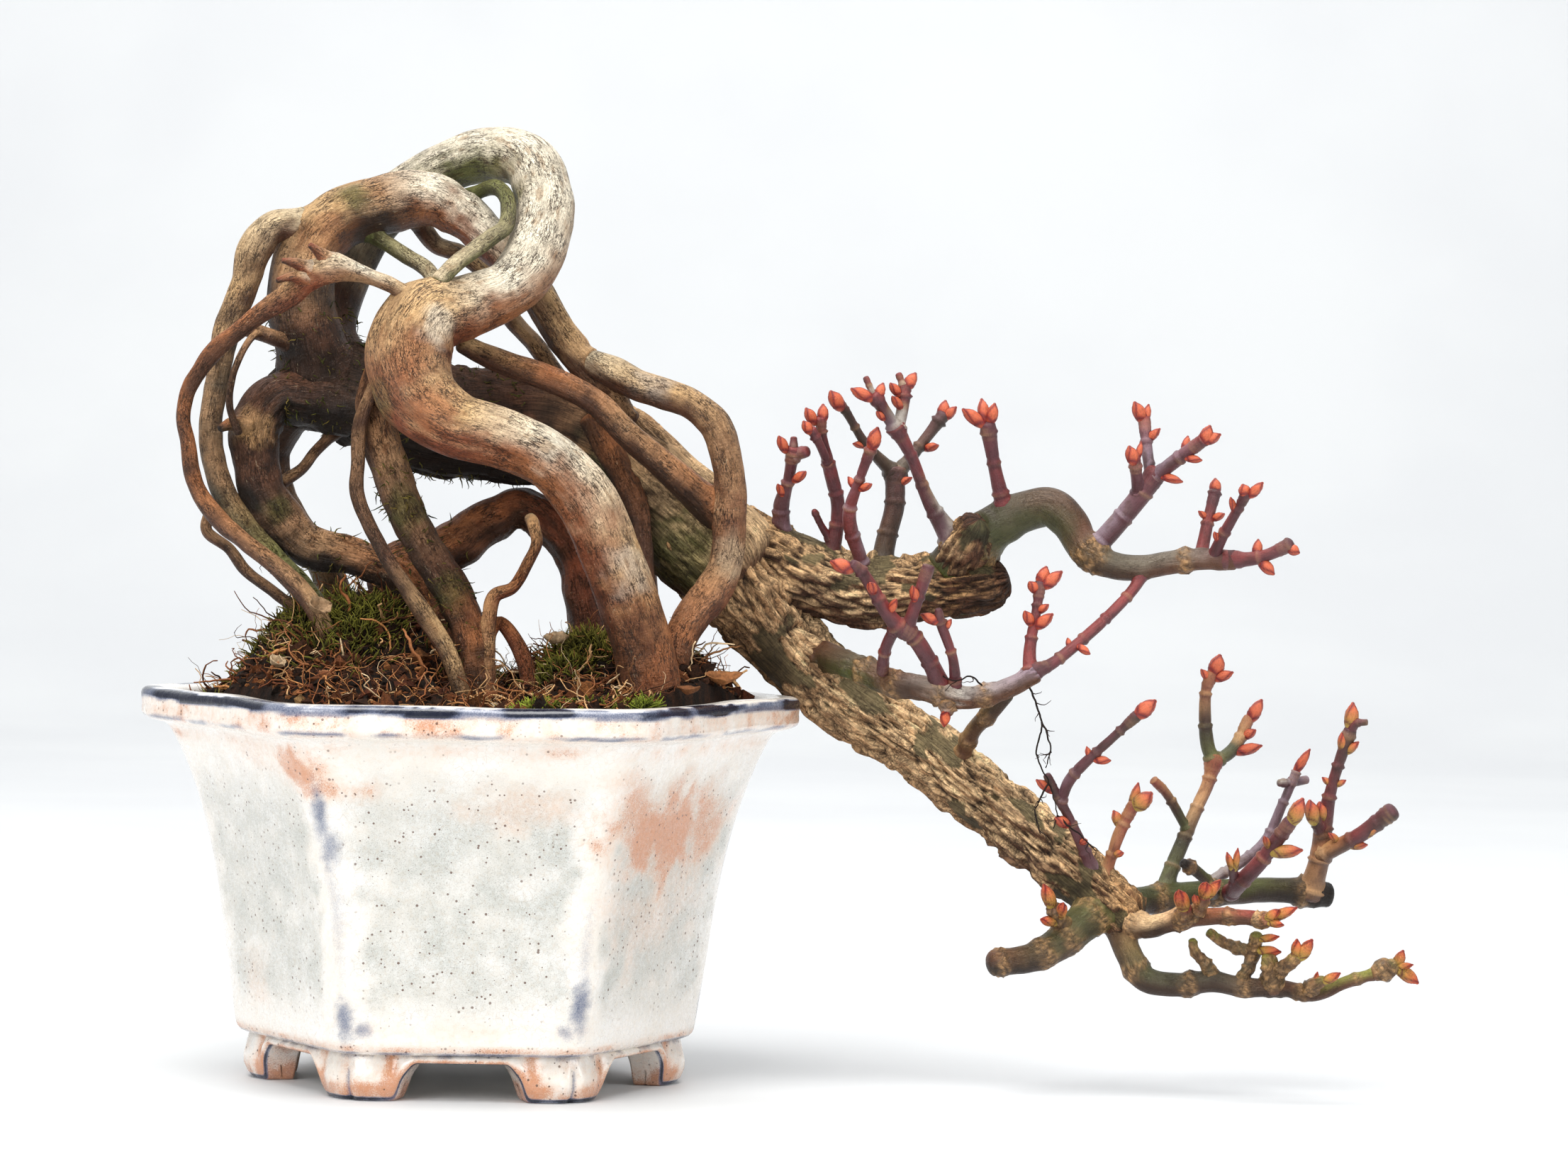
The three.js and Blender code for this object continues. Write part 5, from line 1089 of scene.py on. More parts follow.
def bark_tint(stem, grid, look, seed, relief, cork, collar, ring):
    """The bark's colour: painted light above and painted shade beneath, darker in the fissures, partly
    painted shade, with its own patches.
    """
    grain = stem.grain
    drift = rough(grain / 6, seed + 40, 3)
    # Painted light and shade: places facing up take the top colour, places facing down the darker one
    # underneath.
    above = ease(-0.6, 0.65, stem.normals()[..., 2] + 0.3 * drift)
    top = stop_colour(look["stops"], stem.along, 1)
    under = stop_colour(look["stops"], stem.along, 2)
    tint = mix(under, top, above[..., None])
    streak = rough(grain * ALONG_GRAIN / 1.4, seed + 50, 2)
    tint = tint * (1 + 0.13 * streak + 0.2 * drift)[..., None]
    for x, y, z, reach, colour, strength in look.get("spots", []):
        away = np.linalg.norm(grid - [x, y, z], axis=-1)
        close = strength * ease(1.15, 0.45, away / reach + 0.35 * drift)
        tint = mix(tint, paint(colour) * (1 + 0.25 * streak)[..., None], close[..., None])
    blotch = look.get("flecks", 0.3) * ease(0.3, 0.6, rough(grain * [1, 1, 0.4] / 1.7, seed + 60, 3))
    tint = mix(tint, tint * [0.6, 0.5, 0.42], blotch[..., None])
    if look.get("cork", 0) > 0:
        # Dark in the fissures, lighter on the raised plates: the bark's own colour, with painted shade and
        # painted light.
        bark = mix(paint("bistre") * 0.7, tint * 1.3, ease(0.02, 0.36, relief)[..., None])
        inner = paint(look.get("smooth_patch", "olive")) * (1 + 0.3 * streak)[..., None]
        # Painted shade: the smooth patches are darker where they face down.
        inner = inner * mix(0.5, 1.1, above)[..., None]
        wood = mix(tint, inner, 0.8 if "smooth_patch" in look else 0.0)
        tint = mix(wood, bark, ease(0.1, 0.5, cork)[..., None])
    cracked = np.clip(collar * (0.6 + 0.4 * rough(grain / 0.8, seed + 70, 2)), 0, 1)
    crust = mix(0.35, 1.2, ease(-0.3, 0.5, rough(grain / 1.1, seed + 71, 2)))
    tint = mix(tint, paint("honey") * crust[..., None], cracked[..., None])
    tint = mix(tint, paint("tan"), (0.6 * ring * ease(-0.3, 0.5, drift))[..., None])
    return np.clip(tint, 0.002, 1)


def bud_grid(base, tip, width, seed, green):
    """A pointed winter bud with pairs of overlapping scales."""
    base, tip = np.array(base, float), np.array(tip, float)
    axis = tip - base
    length = np.linalg.norm(axis)
    axis = axis / length
    side = np.cross(axis, [0.3, -0.8, 0.5])
    side /= np.linalg.norm(side)
    other = np.cross(axis, side)
    share = np.concatenate([[0.0], np.linspace(0.02, 0.97, BUD_RINGS - 2), [1.0]])[:, None]
    turn = np.linspace(0, 2 * math.pi, BUD_AROUND, endpoint=False)[None, :]
    body = (0.12 + 0.88 * share ** 0.5) * (1 - share ** 2.4) ** 0.75 / 0.66
    # Which pair of scales each place lies on, how near a scale's edge, and how near its middle.
    shape = (BUD_RINGS, BUD_AROUND)
    layer = np.full(shape, BUD_HEART)
    close = np.full(shape, np.inf)
    heart = np.full(shape, 0.6)
    for pair, top in enumerate(BUD_SCALES):
        aside = np.abs((turn - math.pi / 2 * pair + math.pi / 2) % math.pi - math.pi / 2) / (math.pi / 2)
        edge = top - (0.2 + 0.5 * pair) * aside ** 1.8
        layer = np.where((layer == BUD_HEART) & (share < edge), pair, layer)
        close = np.minimum(close, np.abs(share - edge))
        heart = np.where(layer == pair, 1 - aside ** 2, heart)
    reach = width / 2 * (body - 0.05 * layer * (share < 0.95)) + 0.02
    reach = np.maximum(reach, 0.04) * np.ones_like(turn)
    out = np.cos(turn)[..., None] * side + np.sin(turn)[..., None] * other
    grid = base + axis * share[..., None] * length + out * reach[..., None]
    glow = ease(0.04, 0.2, close) * heart
    face = mix(paint("#8c1f18"), paint("#c9613c"), glow[..., None])
    if green:
        face = mix(face, paint("#a39a42"), np.clip(0.9 - 1.1 * share, 0, 1)[..., None] * np.ones((*shape, 1)))
    tint = mix(paint("#58171a"), face, ease(0.0, 0.07, close)[..., None])
    if not green:
        tint = mix(tint, paint("#6e1d1e"), (0.6 * ease(0.25, 0.0, share) * np.ones_like(turn))[..., None])
    grain = np.stack([reach * np.cos(turn), reach * np.sin(turn), share * length + seed + 0 * turn], axis=-1)
    return grid, {"grain": grain, "tint": np.clip(tint, 0.002, 1), "relief": 1 - 0.2 * layer,
                  "cork": np.zeros(shape)}


GREEN_BUDS = ("stub_branch", "front_limb", "low_shoot_2", "low_shoot_5", "low_shoot_6", "drooping_branch")
CLAWS = {
    "outer_root": [[[-31, -27, 184, 2.2], [-34, -29, 186.5, 1.2], [-36, -30, 188, 0.7]],
                   [[-35, -27, 182.5, 2], [-39, -29, 184, 1.2], [-42, -30, 184.5, 0.6]],
                   [[-36, -27, 180.5, 1.8], [-40, -29.5, 181, 1.1], [-43, -31, 180, 0.6]]],
    "ring_root": [[[-52, -7, 147, 2.2], [-55, -10, 148, 1.4], [-57, -12, 147, 0.9]]],
    "upper_branch": [[[109, 11, 119, 4.0], [112, 7, 125, 4.4], [114, 5, 128.5, 3.6]]],
}


def limb_stems(name, one):
    """All the stems of one limb, and its buds."""
    stems, buds = (one["stems"], one["buds"]) if isinstance(one, dict) else ([one], [])
    stems = stems + CLAWS.get(name, [])
    step = MESH_STEP if max(point[3] for point in stems[0]) > TWIG_RADIUS else TWIG_STEP
    return [Stem(points, step) for points in stems], buds


def make_limb(name, stems, buds, others, look, seed):
    """One limb as one mesh: its stems with their bark, and its buds."""
    stock = Stock()
    lengths = [stem.length * stem.radii.max() for stem in stems] + [6.0] * len(buds)
    widths = np.sqrt(np.array(lengths))
    widths = widths / widths.sum()
    lefts = np.concatenate([[0], np.cumsum(widths)[:-1]])
    for index, stem in enumerate(stems):
        flare_into(stem, others + [other for other in stems if other is not stem])
        own_look = CLAW_LOOK if index and name == "outer_root" else look
        values = dress(stem, own_look, seed + 101 * index)
        stock.add_grid(stem.grid(), values, (lefts[index] + 0.002, widths[index] - 0.004))
    for index, bud in enumerate(buds):
        place = len(stems) + index
        grid, values = bud_grid(bud[:3], bud[3:6], BUD_FULLNESS * bud[6], seed + index, name in GREEN_BUDS)
        stock.add_grid(grid, values, (lefts[place] + 0.0005, widths[place] - 0.001))
    return stock.build(name + "_wood")


# ---- Pot ---------------------------------------------------------------------------------------

def hexagon_reach(angle):
    """How far a rounded hexagon reaches at an angle, as a share of its corner radius."""
    total = np.zeros(np.shape(angle))
    for face in range(6):
        total += np.maximum(np.cos(angle - math.radians(30 + 60 * face)), 0) ** CORNER_SHARPNESS
    corner = 2 * math.cos(math.pi / 6) ** CORNER_SHARPNESS
    return (corner / total) ** (1 / CORNER_SHARPNESS)


def wall_radius(z):
    share = (z - FOOT_HEIGHT) / (BAND_BOTTOM - FOOT_HEIGHT)
    return BASE_RADIUS + (NECK_RADIUS - BASE_RADIUS) * (0.55 * share + 0.45 * share ** 4)


def inside_radius(z):
    lip = RIM_RADIUS - RIM_WIDTH
    wall = wall_radius(np.minimum(z, BAND_BOTTOM)) - WALL
    share = np.maximum(0, (z - (RIM_TOP - 3 * RIM_BAND)) / (3 * RIM_BAND))
    return np.minimum(wall + (lip - wall) * share, lip)


def softened(profile, step, passes):
    """A closed outline resampled to even steps, with its corners rounded."""
    loop = np.array(profile + profile[:1], float)
    run = np.concatenate([[0], np.cumsum(np.linalg.norm(np.diff(loop, axis=0), axis=1))])
    count = int(run[-1] / step)
    even = np.linspace(0, run[-1], count, endpoint=False)
    line = np.stack([np.interp(even, run, loop[:, axis]) for axis in range(2)], axis=1)
    for _ in range(passes):
        line = 0.5 * line + 0.25 * (np.roll(line, 1, axis=0) + np.roll(line, -1, axis=0))
    return line


def angle_gap(a, b):
    return (a - b + 180) % 360 - 180


# Stains in the glaze: angle round the pot in degrees, height, reach round and up in mm, strength.
RUST_PATCHES = [
    (238, 74, 8, 5, 1.0), (245, 69, 10, 3, 0.8), (222, 76, 14, 4, 0.4), (328, 59, 24, 13, 1.0),
    (312, 64, 13, 8, 0.8), (344, 60, 12, 11, 0.8), (325, 42, 20, 12, 0.4), (285, 66, 14, 5, 0.4),
    (306, 72, 8, 3, 0.5), (200, 24, 8, 5, 0.3), (90, 58, 24, 12, 0.8), (110, 66, 12, 8, 0.6),
    (150, 36, 14, 14, 0.5), (30, 66, 16, 7, 0.6), (38, 30, 10, 8, 0.4), (270, 16, 30, 2, 0.25),
]
COBALT_STREAKS = [
    (241, 64, 2.6, 8, 1.0), (243, 56, 3.0, 6, 0.9), (243, 42, 3.0, 22, 0.55), (243, 18, 2.8, 6, 1.0),
    (243, 30, 2.0, 8, 0.35), (247, 16, 2.5, 2.5, 0.9), (302, 22, 2.6, 8, 1.0), (302, 34, 2.4, 14, 0.55),
    (299, 16, 2.4, 2.2, 0.8), (182, 68, 1.6, 9, 0.7), (182, 16, 2.4, 3, 0.8), (2, 55, 1.6, 12, 0.7),
    (2, 18, 2.2, 5, 0.9), (62, 40, 2.2, 14, 0.8), (122, 56, 2.2, 12, 0.8), (122, 20, 2.4, 6, 0.9),
    (205, 60, 6, 10, 0.12), (328, 70, 3, 9, 0.3),
]


def glaze_stains(places):
    """Rust, cobalt and grey of the glaze at each place of the pot."""
    angle = np.degrees(np.arctan2(places[..., 1], places[..., 0])) % 360
    radius = np.hypot(places[..., 0], places[..., 1])
    z = places[..., 2]
    drift = rough(places / 7, 3, 4)
    fine = rough(places / 1.8, 8, 3)
    outward = ease(-4.5, -2.5, radius - wall_radius(np.clip(z, FOOT_HEIGHT, RIM_TOP)) * hexagon_reach(
        np.radians(angle) - POT_TURN))
    across = angle_gap(angle - math.degrees(POT_TURN), 30) % 60
    from_corner = np.minimum(np.abs(angle_gap(across, 30)), 30) / 30
    rust = np.zeros(z.shape)
    for turn, height, wide, tall, strength in RUST_PATCHES:
        far = np.hypot(np.radians(angle_gap(angle, turn)) * radius / wide, (z - height) / tall)
        rust = np.maximum(rust, strength * ease(1.4, 0.2, far + 0.5 * drift))
    cobalt = np.zeros(z.shape)
    for turn, height, wide, tall, strength in COBALT_STREAKS:
        sway = 1.2 * rough(places / [9, 9, 14], 21, 2)
        far = np.hypot((np.radians(angle_gap(angle, turn)) * radius + sway) / wide, (z - height) / tall)
        cobalt = np.maximum(cobalt, 0.68 * strength * ease(1.7, 0.0, far + 0.25 * fine))
    # The rim: a dark line along its outer upper edge, rust on the band and a thin line at its foot.
    edge_z = z - RIM_TOP + 0.35 * drift
    rim_edge = ease(-3.0, -2.2, edge_z) * ease(-0.05, -0.5, edge_z)
    rim_edge = rim_edge * ease(RIM_RADIUS * 0.83, RIM_RADIUS * 0.86, radius)
    thick = 0.7 + 0.5 * ease(-0.5, 0.2, rough(places / [16, 16, 60], 33, 2))
    cobalt = np.maximum(cobalt, thick * rim_edge * outward)
    foot_line = np.exp(-((z - (BAND_BOTTOM + 0.4 + 0.5 * drift)) / 0.7) ** 2) * outward
    cobalt = np.maximum(cobalt, 0.7 * foot_line * ease(-0.7, 0.1, rough(places / [12, 12, 40], 34, 2)))
    band = ease(BAND_BOTTOM - 1.5, BAND_BOTTOM + 0.5, z) * ease(RIM_TOP - 1.0, RIM_TOP - 2.8, z) * outward
    rust = np.maximum(rust, band * (0.45 + 0.4 * drift + 0.2 * fine))
    under = np.exp(-((z - (BAND_BOTTOM - 3.2)) / 1.8) ** 2) * outward
    rust = np.maximum(rust, under * (0.3 + 0.5 * drift))
    base = np.exp(-((z - (FOOT_HEIGHT + 1.4)) / 0.9) ** 2) * outward
    rust = np.maximum(rust, base * (0.65 + 0.4 * drift))
    base_line = np.exp(-((z - (FOOT_HEIGHT + 0.4)) / 0.6) ** 2) * outward
    cobalt = np.maximum(cobalt, base_line * (0.55 + 0.5 * drift))
    panel = ease(0.04, 0.34, from_corner + 0.12 * drift) * outward
    panel = panel * ease(14, 27, z) * ease(78, 62, z + 6 * drift)
    grey = panel * (0.72 + 0.35 * drift)
    return np.clip(np.stack([rust, cobalt, grey], axis=-1), 0, 1)


def turned_grid(line, around, wobble):
    """Rings of a rounded hexagon for each point of an outline; the middle stays round."""
    turns = np.linspace(0, 2 * math.pi, around, endpoint=False)
    reach = hexagon_reach(turns)[None, :]
    reach = mix(1.0, reach, ease(10, 22, line[:, 0])[:, None])
    radius = line[:, 0][:, None] * reach
    turn = turns + POT_TURN
    height = np.broadcast_to(line[:, 1][:, None], radius.shape)
    grid = np.stack([radius * np.cos(turn), radius * np.sin(turn), height], axis=-1)
    out = np.stack([np.cos(turn), np.sin(turn), 0 * turn], axis=-1)
    sway = rough(grid / [26, 26, 34], 60, 2)
    return grid + out[None] * (wobble * sway * ease(30, 45, line[:, 0])[:, None])[..., None]


def joined_grid(name, grid, values):
    """One mesh from rings that close up both ways."""
    stock = Stock()
    looped = np.concatenate([grid, grid[:1]])
    stock.add_grid(looped, {key: np.concatenate([value, value[:1]]) for key, value in values.items()},
                   (0.002, 0.996), closed_ends=False)
    rings, around = grid.shape[:2]
    stock.places = [grid.reshape(-1, 3)]
    stock.values = {key: [value.reshape(rings * around, -1)] for key, value in values.items()}
    stock.quads = [np.concatenate(stock.quads) % (rings * around)]
    return stock.build(name)


def make_pot_body():
    rising = np.linspace(FOOT_HEIGHT + 1.2, BAND_BOTTOM - 1.2, 30)
    falling = np.linspace(RIM_TOP - 1, POT_FLOOR + 3, 16)
    outside = [(float(wall_radius(z)), float(z)) for z in rising]
    inside = [(float(inside_radius(z)), float(z)) for z in falling]
    profile = [(DRAIN_RADIUS, FOOT_HEIGHT), (BASE_RADIUS - 1.2, FOOT_HEIGHT)] + outside + [
        (RIM_RADIUS - 1.4, BAND_BOTTOM - 0.2), (RIM_RADIUS + 0.1, BAND_BOTTOM + 1.0),
        (RIM_RADIUS - 0.7, BAND_BOTTOM + 2.6), (RIM_RADIUS + 0.1, RIM_TOP - 1.2),
        (RIM_RADIUS - 1.2, RIM_TOP), (RIM_RADIUS - RIM_WIDTH + 0.8, RIM_TOP - 0.3)] + inside + [
        (float(inside_radius(POT_FLOOR)) - 3, POT_FLOOR), (DRAIN_RADIUS, POT_FLOOR)]
    line = softened(profile, OUTLINE_STEP, 2)
    grid = turned_grid(line, POT_AROUND, POT_WOBBLE)
    # The rim rises and sags a little on its way round.
    grid[..., 2] += 0.35 * rough(grid / [30, 30, 400], 61, 2) * ease(60, 80, grid[..., 2])
    return joined_grid("pot_body", grid, {"stain": glaze_stains(grid)})


def arch_height(across):
    """How high the foot ring is cut away at a distance from the middle of a face."""
    half_top = (ARCH_WIDTH - ARCH_SLOPE) / 2
    half_floor = (ARCH_WIDTH + ARCH_SLOPE) / 2
    share = np.clip((half_floor - np.abs(across)) / (half_floor - half_top), 0, 1)
    rise = np.where(share < 0.45, 0.62 * ease(0, 0.5, share), 0.62 + 0.38 * ease(0.35, 1.0, share))
    return ARCH_HEIGHT * np.clip(rise, 0, 1)


def make_pot_feet():
    turns = np.linspace(0, 2 * math.pi, FEET_AROUND, endpoint=False)
    middle = np.round((turns - math.pi / 6) / (math.pi / 3)) * math.pi / 3 + math.pi / 6
    across = np.tan(turns - middle) * FOOT_RADIUS * math.cos(math.pi / 6)
    low = arch_height(across)
    high = FOOT_HEIGHT + 0.6
    inner = FOOT_RADIUS - FOOT_WIDTH
    outline = softened([(inner, 0.0), (FOOT_RADIUS - 1.4, 0.0), (FOOT_RADIUS - 0.2, 0.14),
                        (FOOT_RADIUS + 0.2, 0.4), (FOOT_RADIUS - 0.9, 0.75), (FOOT_RADIUS - 1.6, 1.0),
                        (inner, 1.0)], 0.45, 0)
    outer = (outline[:, 0] > inner + 4)[:, None]
    share = outline[:, 1][:, None]
    z = low[None, :] + share * (high - low[None, :])
    taper = 1.6 * ease(5, 0, np.abs(z)) * 0.5
    near_arch = ease(0.0, 3.2, np.abs(np.abs(across) - (ARCH_WIDTH + ARCH_SLOPE) / 2))[None, :]
    reach = hexagon_reach(turns)[None, :]
    corner = np.abs((turns + math.pi / 6) % (math.pi / 3) - math.pi / 6) * FOOT_RADIUS
    slit = 1.3 * np.exp(-(corner / 0.8) ** 2)[None, :] * ease(8.5, 5.5, z)
    radius = (outline[:, 0][:, None] - (taper + slit) * outer) * reach
    radius = radius - (1 - near_arch) * 0.6 * outer
    turn = turns + POT_TURN
    grid = np.stack([radius * np.cos(turn), radius * np.sin(turn), z], axis=-1)
    for _ in range(2):
        grid = 0.5 * grid + 0.25 * (np.roll(grid, 1, axis=1) + np.roll(grid, -1, axis=1))
    grid[..., 2] = np.maximum(grid[..., 2], 0.0)
    drift = rough(grid / 5, 71, 3)
    rim_of_foot = ease(FOOT_RADIUS - 1.8, FOOT_RADIUS - 0.9, outline[:, 0])[:, None]
    edge = ease(0.13, 0.07, share) * np.ones_like(z) * mix(0.25, 1.0, rim_of_foot)
    cobalt = edge * (0.95 + 0.3 * drift) + 0.6 * np.exp(-(corner / 0.6) ** 2)[None, :] * ease(9, 6, z)
    top_band = np.exp(-((z - FOOT_HEIGHT) / 0.9) ** 2)
    cobalt = np.maximum(cobalt, 0.5 * top_band * ease(-0.2, 0.3, drift))
    rust = 0.2 + 0.4 * drift + 0.8 * np.exp(-((share - 0.2) / 0.16) ** 2) + 0.7 * (1 - near_arch)
    stain = np.clip(np.stack([rust * np.ones_like(z), cobalt, 0.15 + 0.3 * drift], axis=-1), 0, 1)
    return joined_grid("pot_feet", grid, {"stain": stain})


# ---- Soil, rootlets and moss -------------------------------------------------------------------

# Mounds in the soil: x, y, spread across and back, height. The skirt hangs inside the pot's wall.
MOUNDS = [(-26, -2, 24, 30, 23), (34, -2, 24, 30, 14)]
SKIRT_SHARE = 0.88
SKIRT_DEPTH = 12


def soil_height(x, y):
    """Height of the soil's surface over the pot, lumps included."""
    height = np.full(np.shape(x), SOIL_EDGE + 0.5)
    for centre_x, centre_y, spread_x, spread_y, top in MOUNDS:
        height = height + top * np.exp(-((x - centre_x) / spread_x) ** 4 - ((y - centre_y) / spread_y) ** 2)
    flat = np.stack(np.broadcast_arrays(x, y, 0.0), axis=-1).astype(float)
    return height + 1.3 * rough(flat / 9, 80, 3) + 0.5 * rough(flat / 1.7, 84, 2)


def soil_reach(angle):
    return (float(inside_radius(SOIL_EDGE)) - 0.4) * hexagon_reach(angle - POT_TURN)


def make_soil():
    around, rings = 300, 80
    turns = np.linspace(0, 2 * math.pi, around, endpoint=False)
    shares = np.linspace(0.004, 1, rings)[::-1]
    reach = soil_reach(turns)
    x = shares[:, None] * reach * np.cos(turns)
    y = shares[:, None] * reach * np.sin(turns)
    z = soil_height(x, y)
    z = np.where(shares[:, None] > 0.97, np.minimum(z, SOIL_EDGE + 0.6), z)
    top = np.stack([x, y, z], axis=-1)
    skirt = top[:1] * [SKIRT_SHARE, SKIRT_SHARE, 0] + [0, 0, SOIL_EDGE - SKIRT_DEPTH]
    grid = np.concatenate([skirt, top])
    spots = grid / 3.0
    drift = rough(spots, 90, 3)
    dark = mix(paint("#0d0703"), paint("#301a0c"), ease(-0.6, 0.7, drift)[..., None])
    stock = Stock()
    stock.add_grid(grid, {"tint": dark, "grain": grid}, (0.002, 0.996))
    return stock.build("soil_bed")


def scatter_on_soil(draw, count, spread=1.0):
    """Random places spread evenly over the mound."""
    angle = draw.uniform(0, 2 * math.pi, count)
    share = np.sqrt(draw.uniform(0, 1, count)) * SOIL_SHARE * spread
    x = share * soil_reach(angle) * np.cos(angle)
    y = share * soil_reach(angle) * np.sin(angle)
    return np.stack([x, y, soil_height(x, y)], axis=-1)


# A lump has a top, a ring of five corners and a bottom.
LUMP_FACES = [(0, here, here % 5 + 1) for here in range(1, 6)]
LUMP_FACES += [(6, here % 5 + 1, here) for here in range(1, 6)]


def make_crumbs():
    """Loose crumbs of soil, bark and grit, each an uneven lump."""
    draw = np.random.RandomState(SEEDS["crumbs"])
    places, faces, tints = [], [], []
    shades = [paint(code) for code in CRUMB_SHADES]
    for centre in scatter_on_soil(draw, CRUMB_COUNT):
        size = draw.uniform(0.35, 1.25) * draw.uniform(0.6, 1.3)
        size = size * (BIG_CRUMB_SIZE if draw.uniform() < BIG_CRUMB_ODDS else 1.0)
        shape = np.array([[0, 0, 1]] + [[math.cos(a), math.sin(a), draw.uniform(-0.3, 0.4)]
                                        for a in np.arange(5) * 2 * math.pi / 5] + [[0, 0, -1]])
        shape = shape * draw.uniform(0.6, 1.2, (7, 1)) * [1.2, 0.9, 0.75] * size
        angle = draw.uniform(0, 6.3)
        turn = np.array(Matrix.Rotation(angle, 3, Vector(draw.uniform(-1, 1, 3) + [0, 0, 0.01])))
        base = len(places) * 7
        places.append(shape @ turn.T + centre + [0, 0, 0.25 * size])
        faces += [tuple(base + corner for corner in face) for face in LUMP_FACES]
        shade = shades[draw.choice(len(shades), p=CRUMB_ODDS)] * draw.uniform(0.7, 1.3)
        tints.append(np.tile(shade, (7, 1)))
    places = np.concatenate(places)
    values = {"tint": np.concatenate(tints), "grain": places}
    return plain_mesh("soil_crumbs", places, faces, values, smooth=False)


class Threads:
    """Many fine tapered threads or blades gathered into one mesh."""

    def __init__(self, sides=4):
        self.sides, self.places, self.faces, self.tints = sides, [], [], []
        self.count = 0

    def add(self, line, radii, tint):
        line = np.asarray(line, float)
        run = np.gradient(line, axis=0)
        run /= np.maximum(np.linalg.norm(run, axis=1), 1e-9)[:, None]
        side = np.cross(run, [0.31, 0.17, 0.93])
        side /= np.maximum(np.linalg.norm(side, axis=1), 1e-9)[:, None]
        other = np.cross(run, side)
        turns = np.arange(self.sides) * 2 * math.pi / self.sides
        out = np.cos(turns)[None, :, None] * side[:, None] + np.sin(turns)[None, :, None] * other[:, None]
        rings = line[:, None] + out * np.asarray(radii)[:, None, None]
        base, sides = self.count, self.sides
        for ring in range(len(line) - 1):
            for corner in range(sides):
                here, beside = base + ring * sides + corner, base + ring * sides + (corner + 1) % sides
                self.faces.append((here, beside, beside + sides, here + sides))
        self.faces.append(tuple(base + corner for corner in reversed(range(sides))))
        self.faces.append(tuple(base + (len(line) - 1) * sides + corner for corner in range(sides)))
        self.places.append(rings.reshape(-1, 3))
        shade = np.asarray(tint) if np.ndim(tint) == 2 else np.tile(tint, (len(line), 1))
        self.tints.append(np.repeat(shade, sides, axis=0))
        self.count += len(line) * sides

    def build(self, name):
        places = np.concatenate(self.places)
        return plain_mesh(name, places, self.faces, {"tint": np.concatenate(self.tints), "grain": places})


def wander(draw, start, heading, length, steps, bend, ground=None, lift=0.0):
    """A line that wanders off from a place, kept above the soil where ground is given."""
    line = [np.array(start, float)]
    heading = np.array(heading, float)
    for _ in range(steps):
        heading = heading + draw.normal(0, bend, 3) * [1, 1, 0.6]
        heading /= np.linalg.norm(heading)
        place = line[-1] + heading * length / steps
        if ground is not None:
            floor = ground(place[0], place[1]) + lift
            if place[2] < floor:
                place[2] = floor
                heading[2] = abs(heading[2]) * 0.3
            if np.hypot(place[0], place[1]) > soil_reach(math.atan2(place[1], place[0])) - 1:
                break
        line.append(place)
    return np.array(line)


def make_rootlets():
    """The mat of fine roots over the mound."""
    draw = np.random.RandomState(SEEDS["rootlets"])
    threads = Threads(4)
    shades = [paint(code) for code in ROOTLET_SHADES]
    for start in scatter_on_soil(draw, ROOTLET_COUNT, 0.98):
        tall = np.exp(-((start[0] + 24) / 30) ** 2)
        heading = [draw.normal(), draw.normal(), draw.uniform(0.1, 0.7 + 0.9 * tall)]
        line = wander(draw, start - [0, 0, 0.4], heading, draw.uniform(4, 17), 11, 0.5, soil_height, 0.2)
        if len(line) < 4:
            continue
        thick = draw.choice([0.1, 0.15, 0.22, 0.34, 0.55], p=[0.26, 0.3, 0.26, 0.14, 0.04])
        radii = thick * np.linspace(1, 0.45, len(line))
        shade = shades[draw.choice(len(shades), p=ROOTLET_ODDS)]
        threads.add(line, radii, shade * draw.uniform(0.7, 1.25))
    return threads.build("rootlets")


# Moss tufts: x, y, reach across, how many strands, how green, strand length.
MOSS_TUFTS = [
    (-26, -16, 12, 800, 0.4, 5.5), (-38, -14, 8, 260, 0.3, 4.5), (-46, -4, 8, 200, 0.3, 3.5),
    (27, -9, 9, 700, 0.3, 5.5), (22, -20, 7, 260, 0.4, 4.0), (38, 2, 10, 300, 0.25, 4.5),
    (16, -49, 6, 340, 1.0, 3.4), (41, -44, 5, 300, 1.0, 3.6), (-60, -18, 5, 120, 0.6, 4.5),
    (30, -46, 10, 120, 0.7, 2.4), (-30, 24, 13, 600, 0.5, 4.0), (12, 30, 14, 500, 0.45, 4.0),
    (44, 26, 9, 300, 0.7, 3.6), (-52, 14, 8, 220, 0.6, 3.6), (-8, 48, 12, 260, 0.7, 3.0),
]


def make_moss():
    """Shaggy moss: strands that branch from tufts, brighter at their tips."""
    draw = np.random.RandomState(SEEDS["moss"])
    threads = Threads(3)
    for x, y, spread, count, green, length in MOSS_TUFTS:
        tip = mix(paint("#5e4a1c"), paint("#7f8a2a"), green)
        root = mix(paint("#1a1206"), paint("#262c0c"), green)
        for _ in range(count):
            offset = draw.normal(0, 0.5, 2) * spread
            px, py = x + offset[0], y + offset[1]
            dome = 0.35 * spread * math.exp(-(offset @ offset) / (0.6 * spread * spread))
            if np.hypot(px, py) > soil_reach(math.atan2(py, px)) - 1.5:
                continue
            start = [px, py, soil_height(px, py) - 0.5 + dome * draw.uniform(0.3, 1)]
            heading = [0.9 * part / spread + draw.normal(0, 0.5) for part in offset] + [0.9]
            line = wander(draw, start, heading, length * draw.uniform(0.35, 1.1), 4, 0.35)
            radii = draw.uniform(0.14, 0.3) * np.array([0.8, 1.0, 1.0, 0.75, 0.25])
            tone = draw.uniform(0.55, 1.35)
            threads.add(line, radii, mix(root, tip, np.linspace(0, 1, 5)[:, None]) * tone)
    return threads.build("moss_strands")


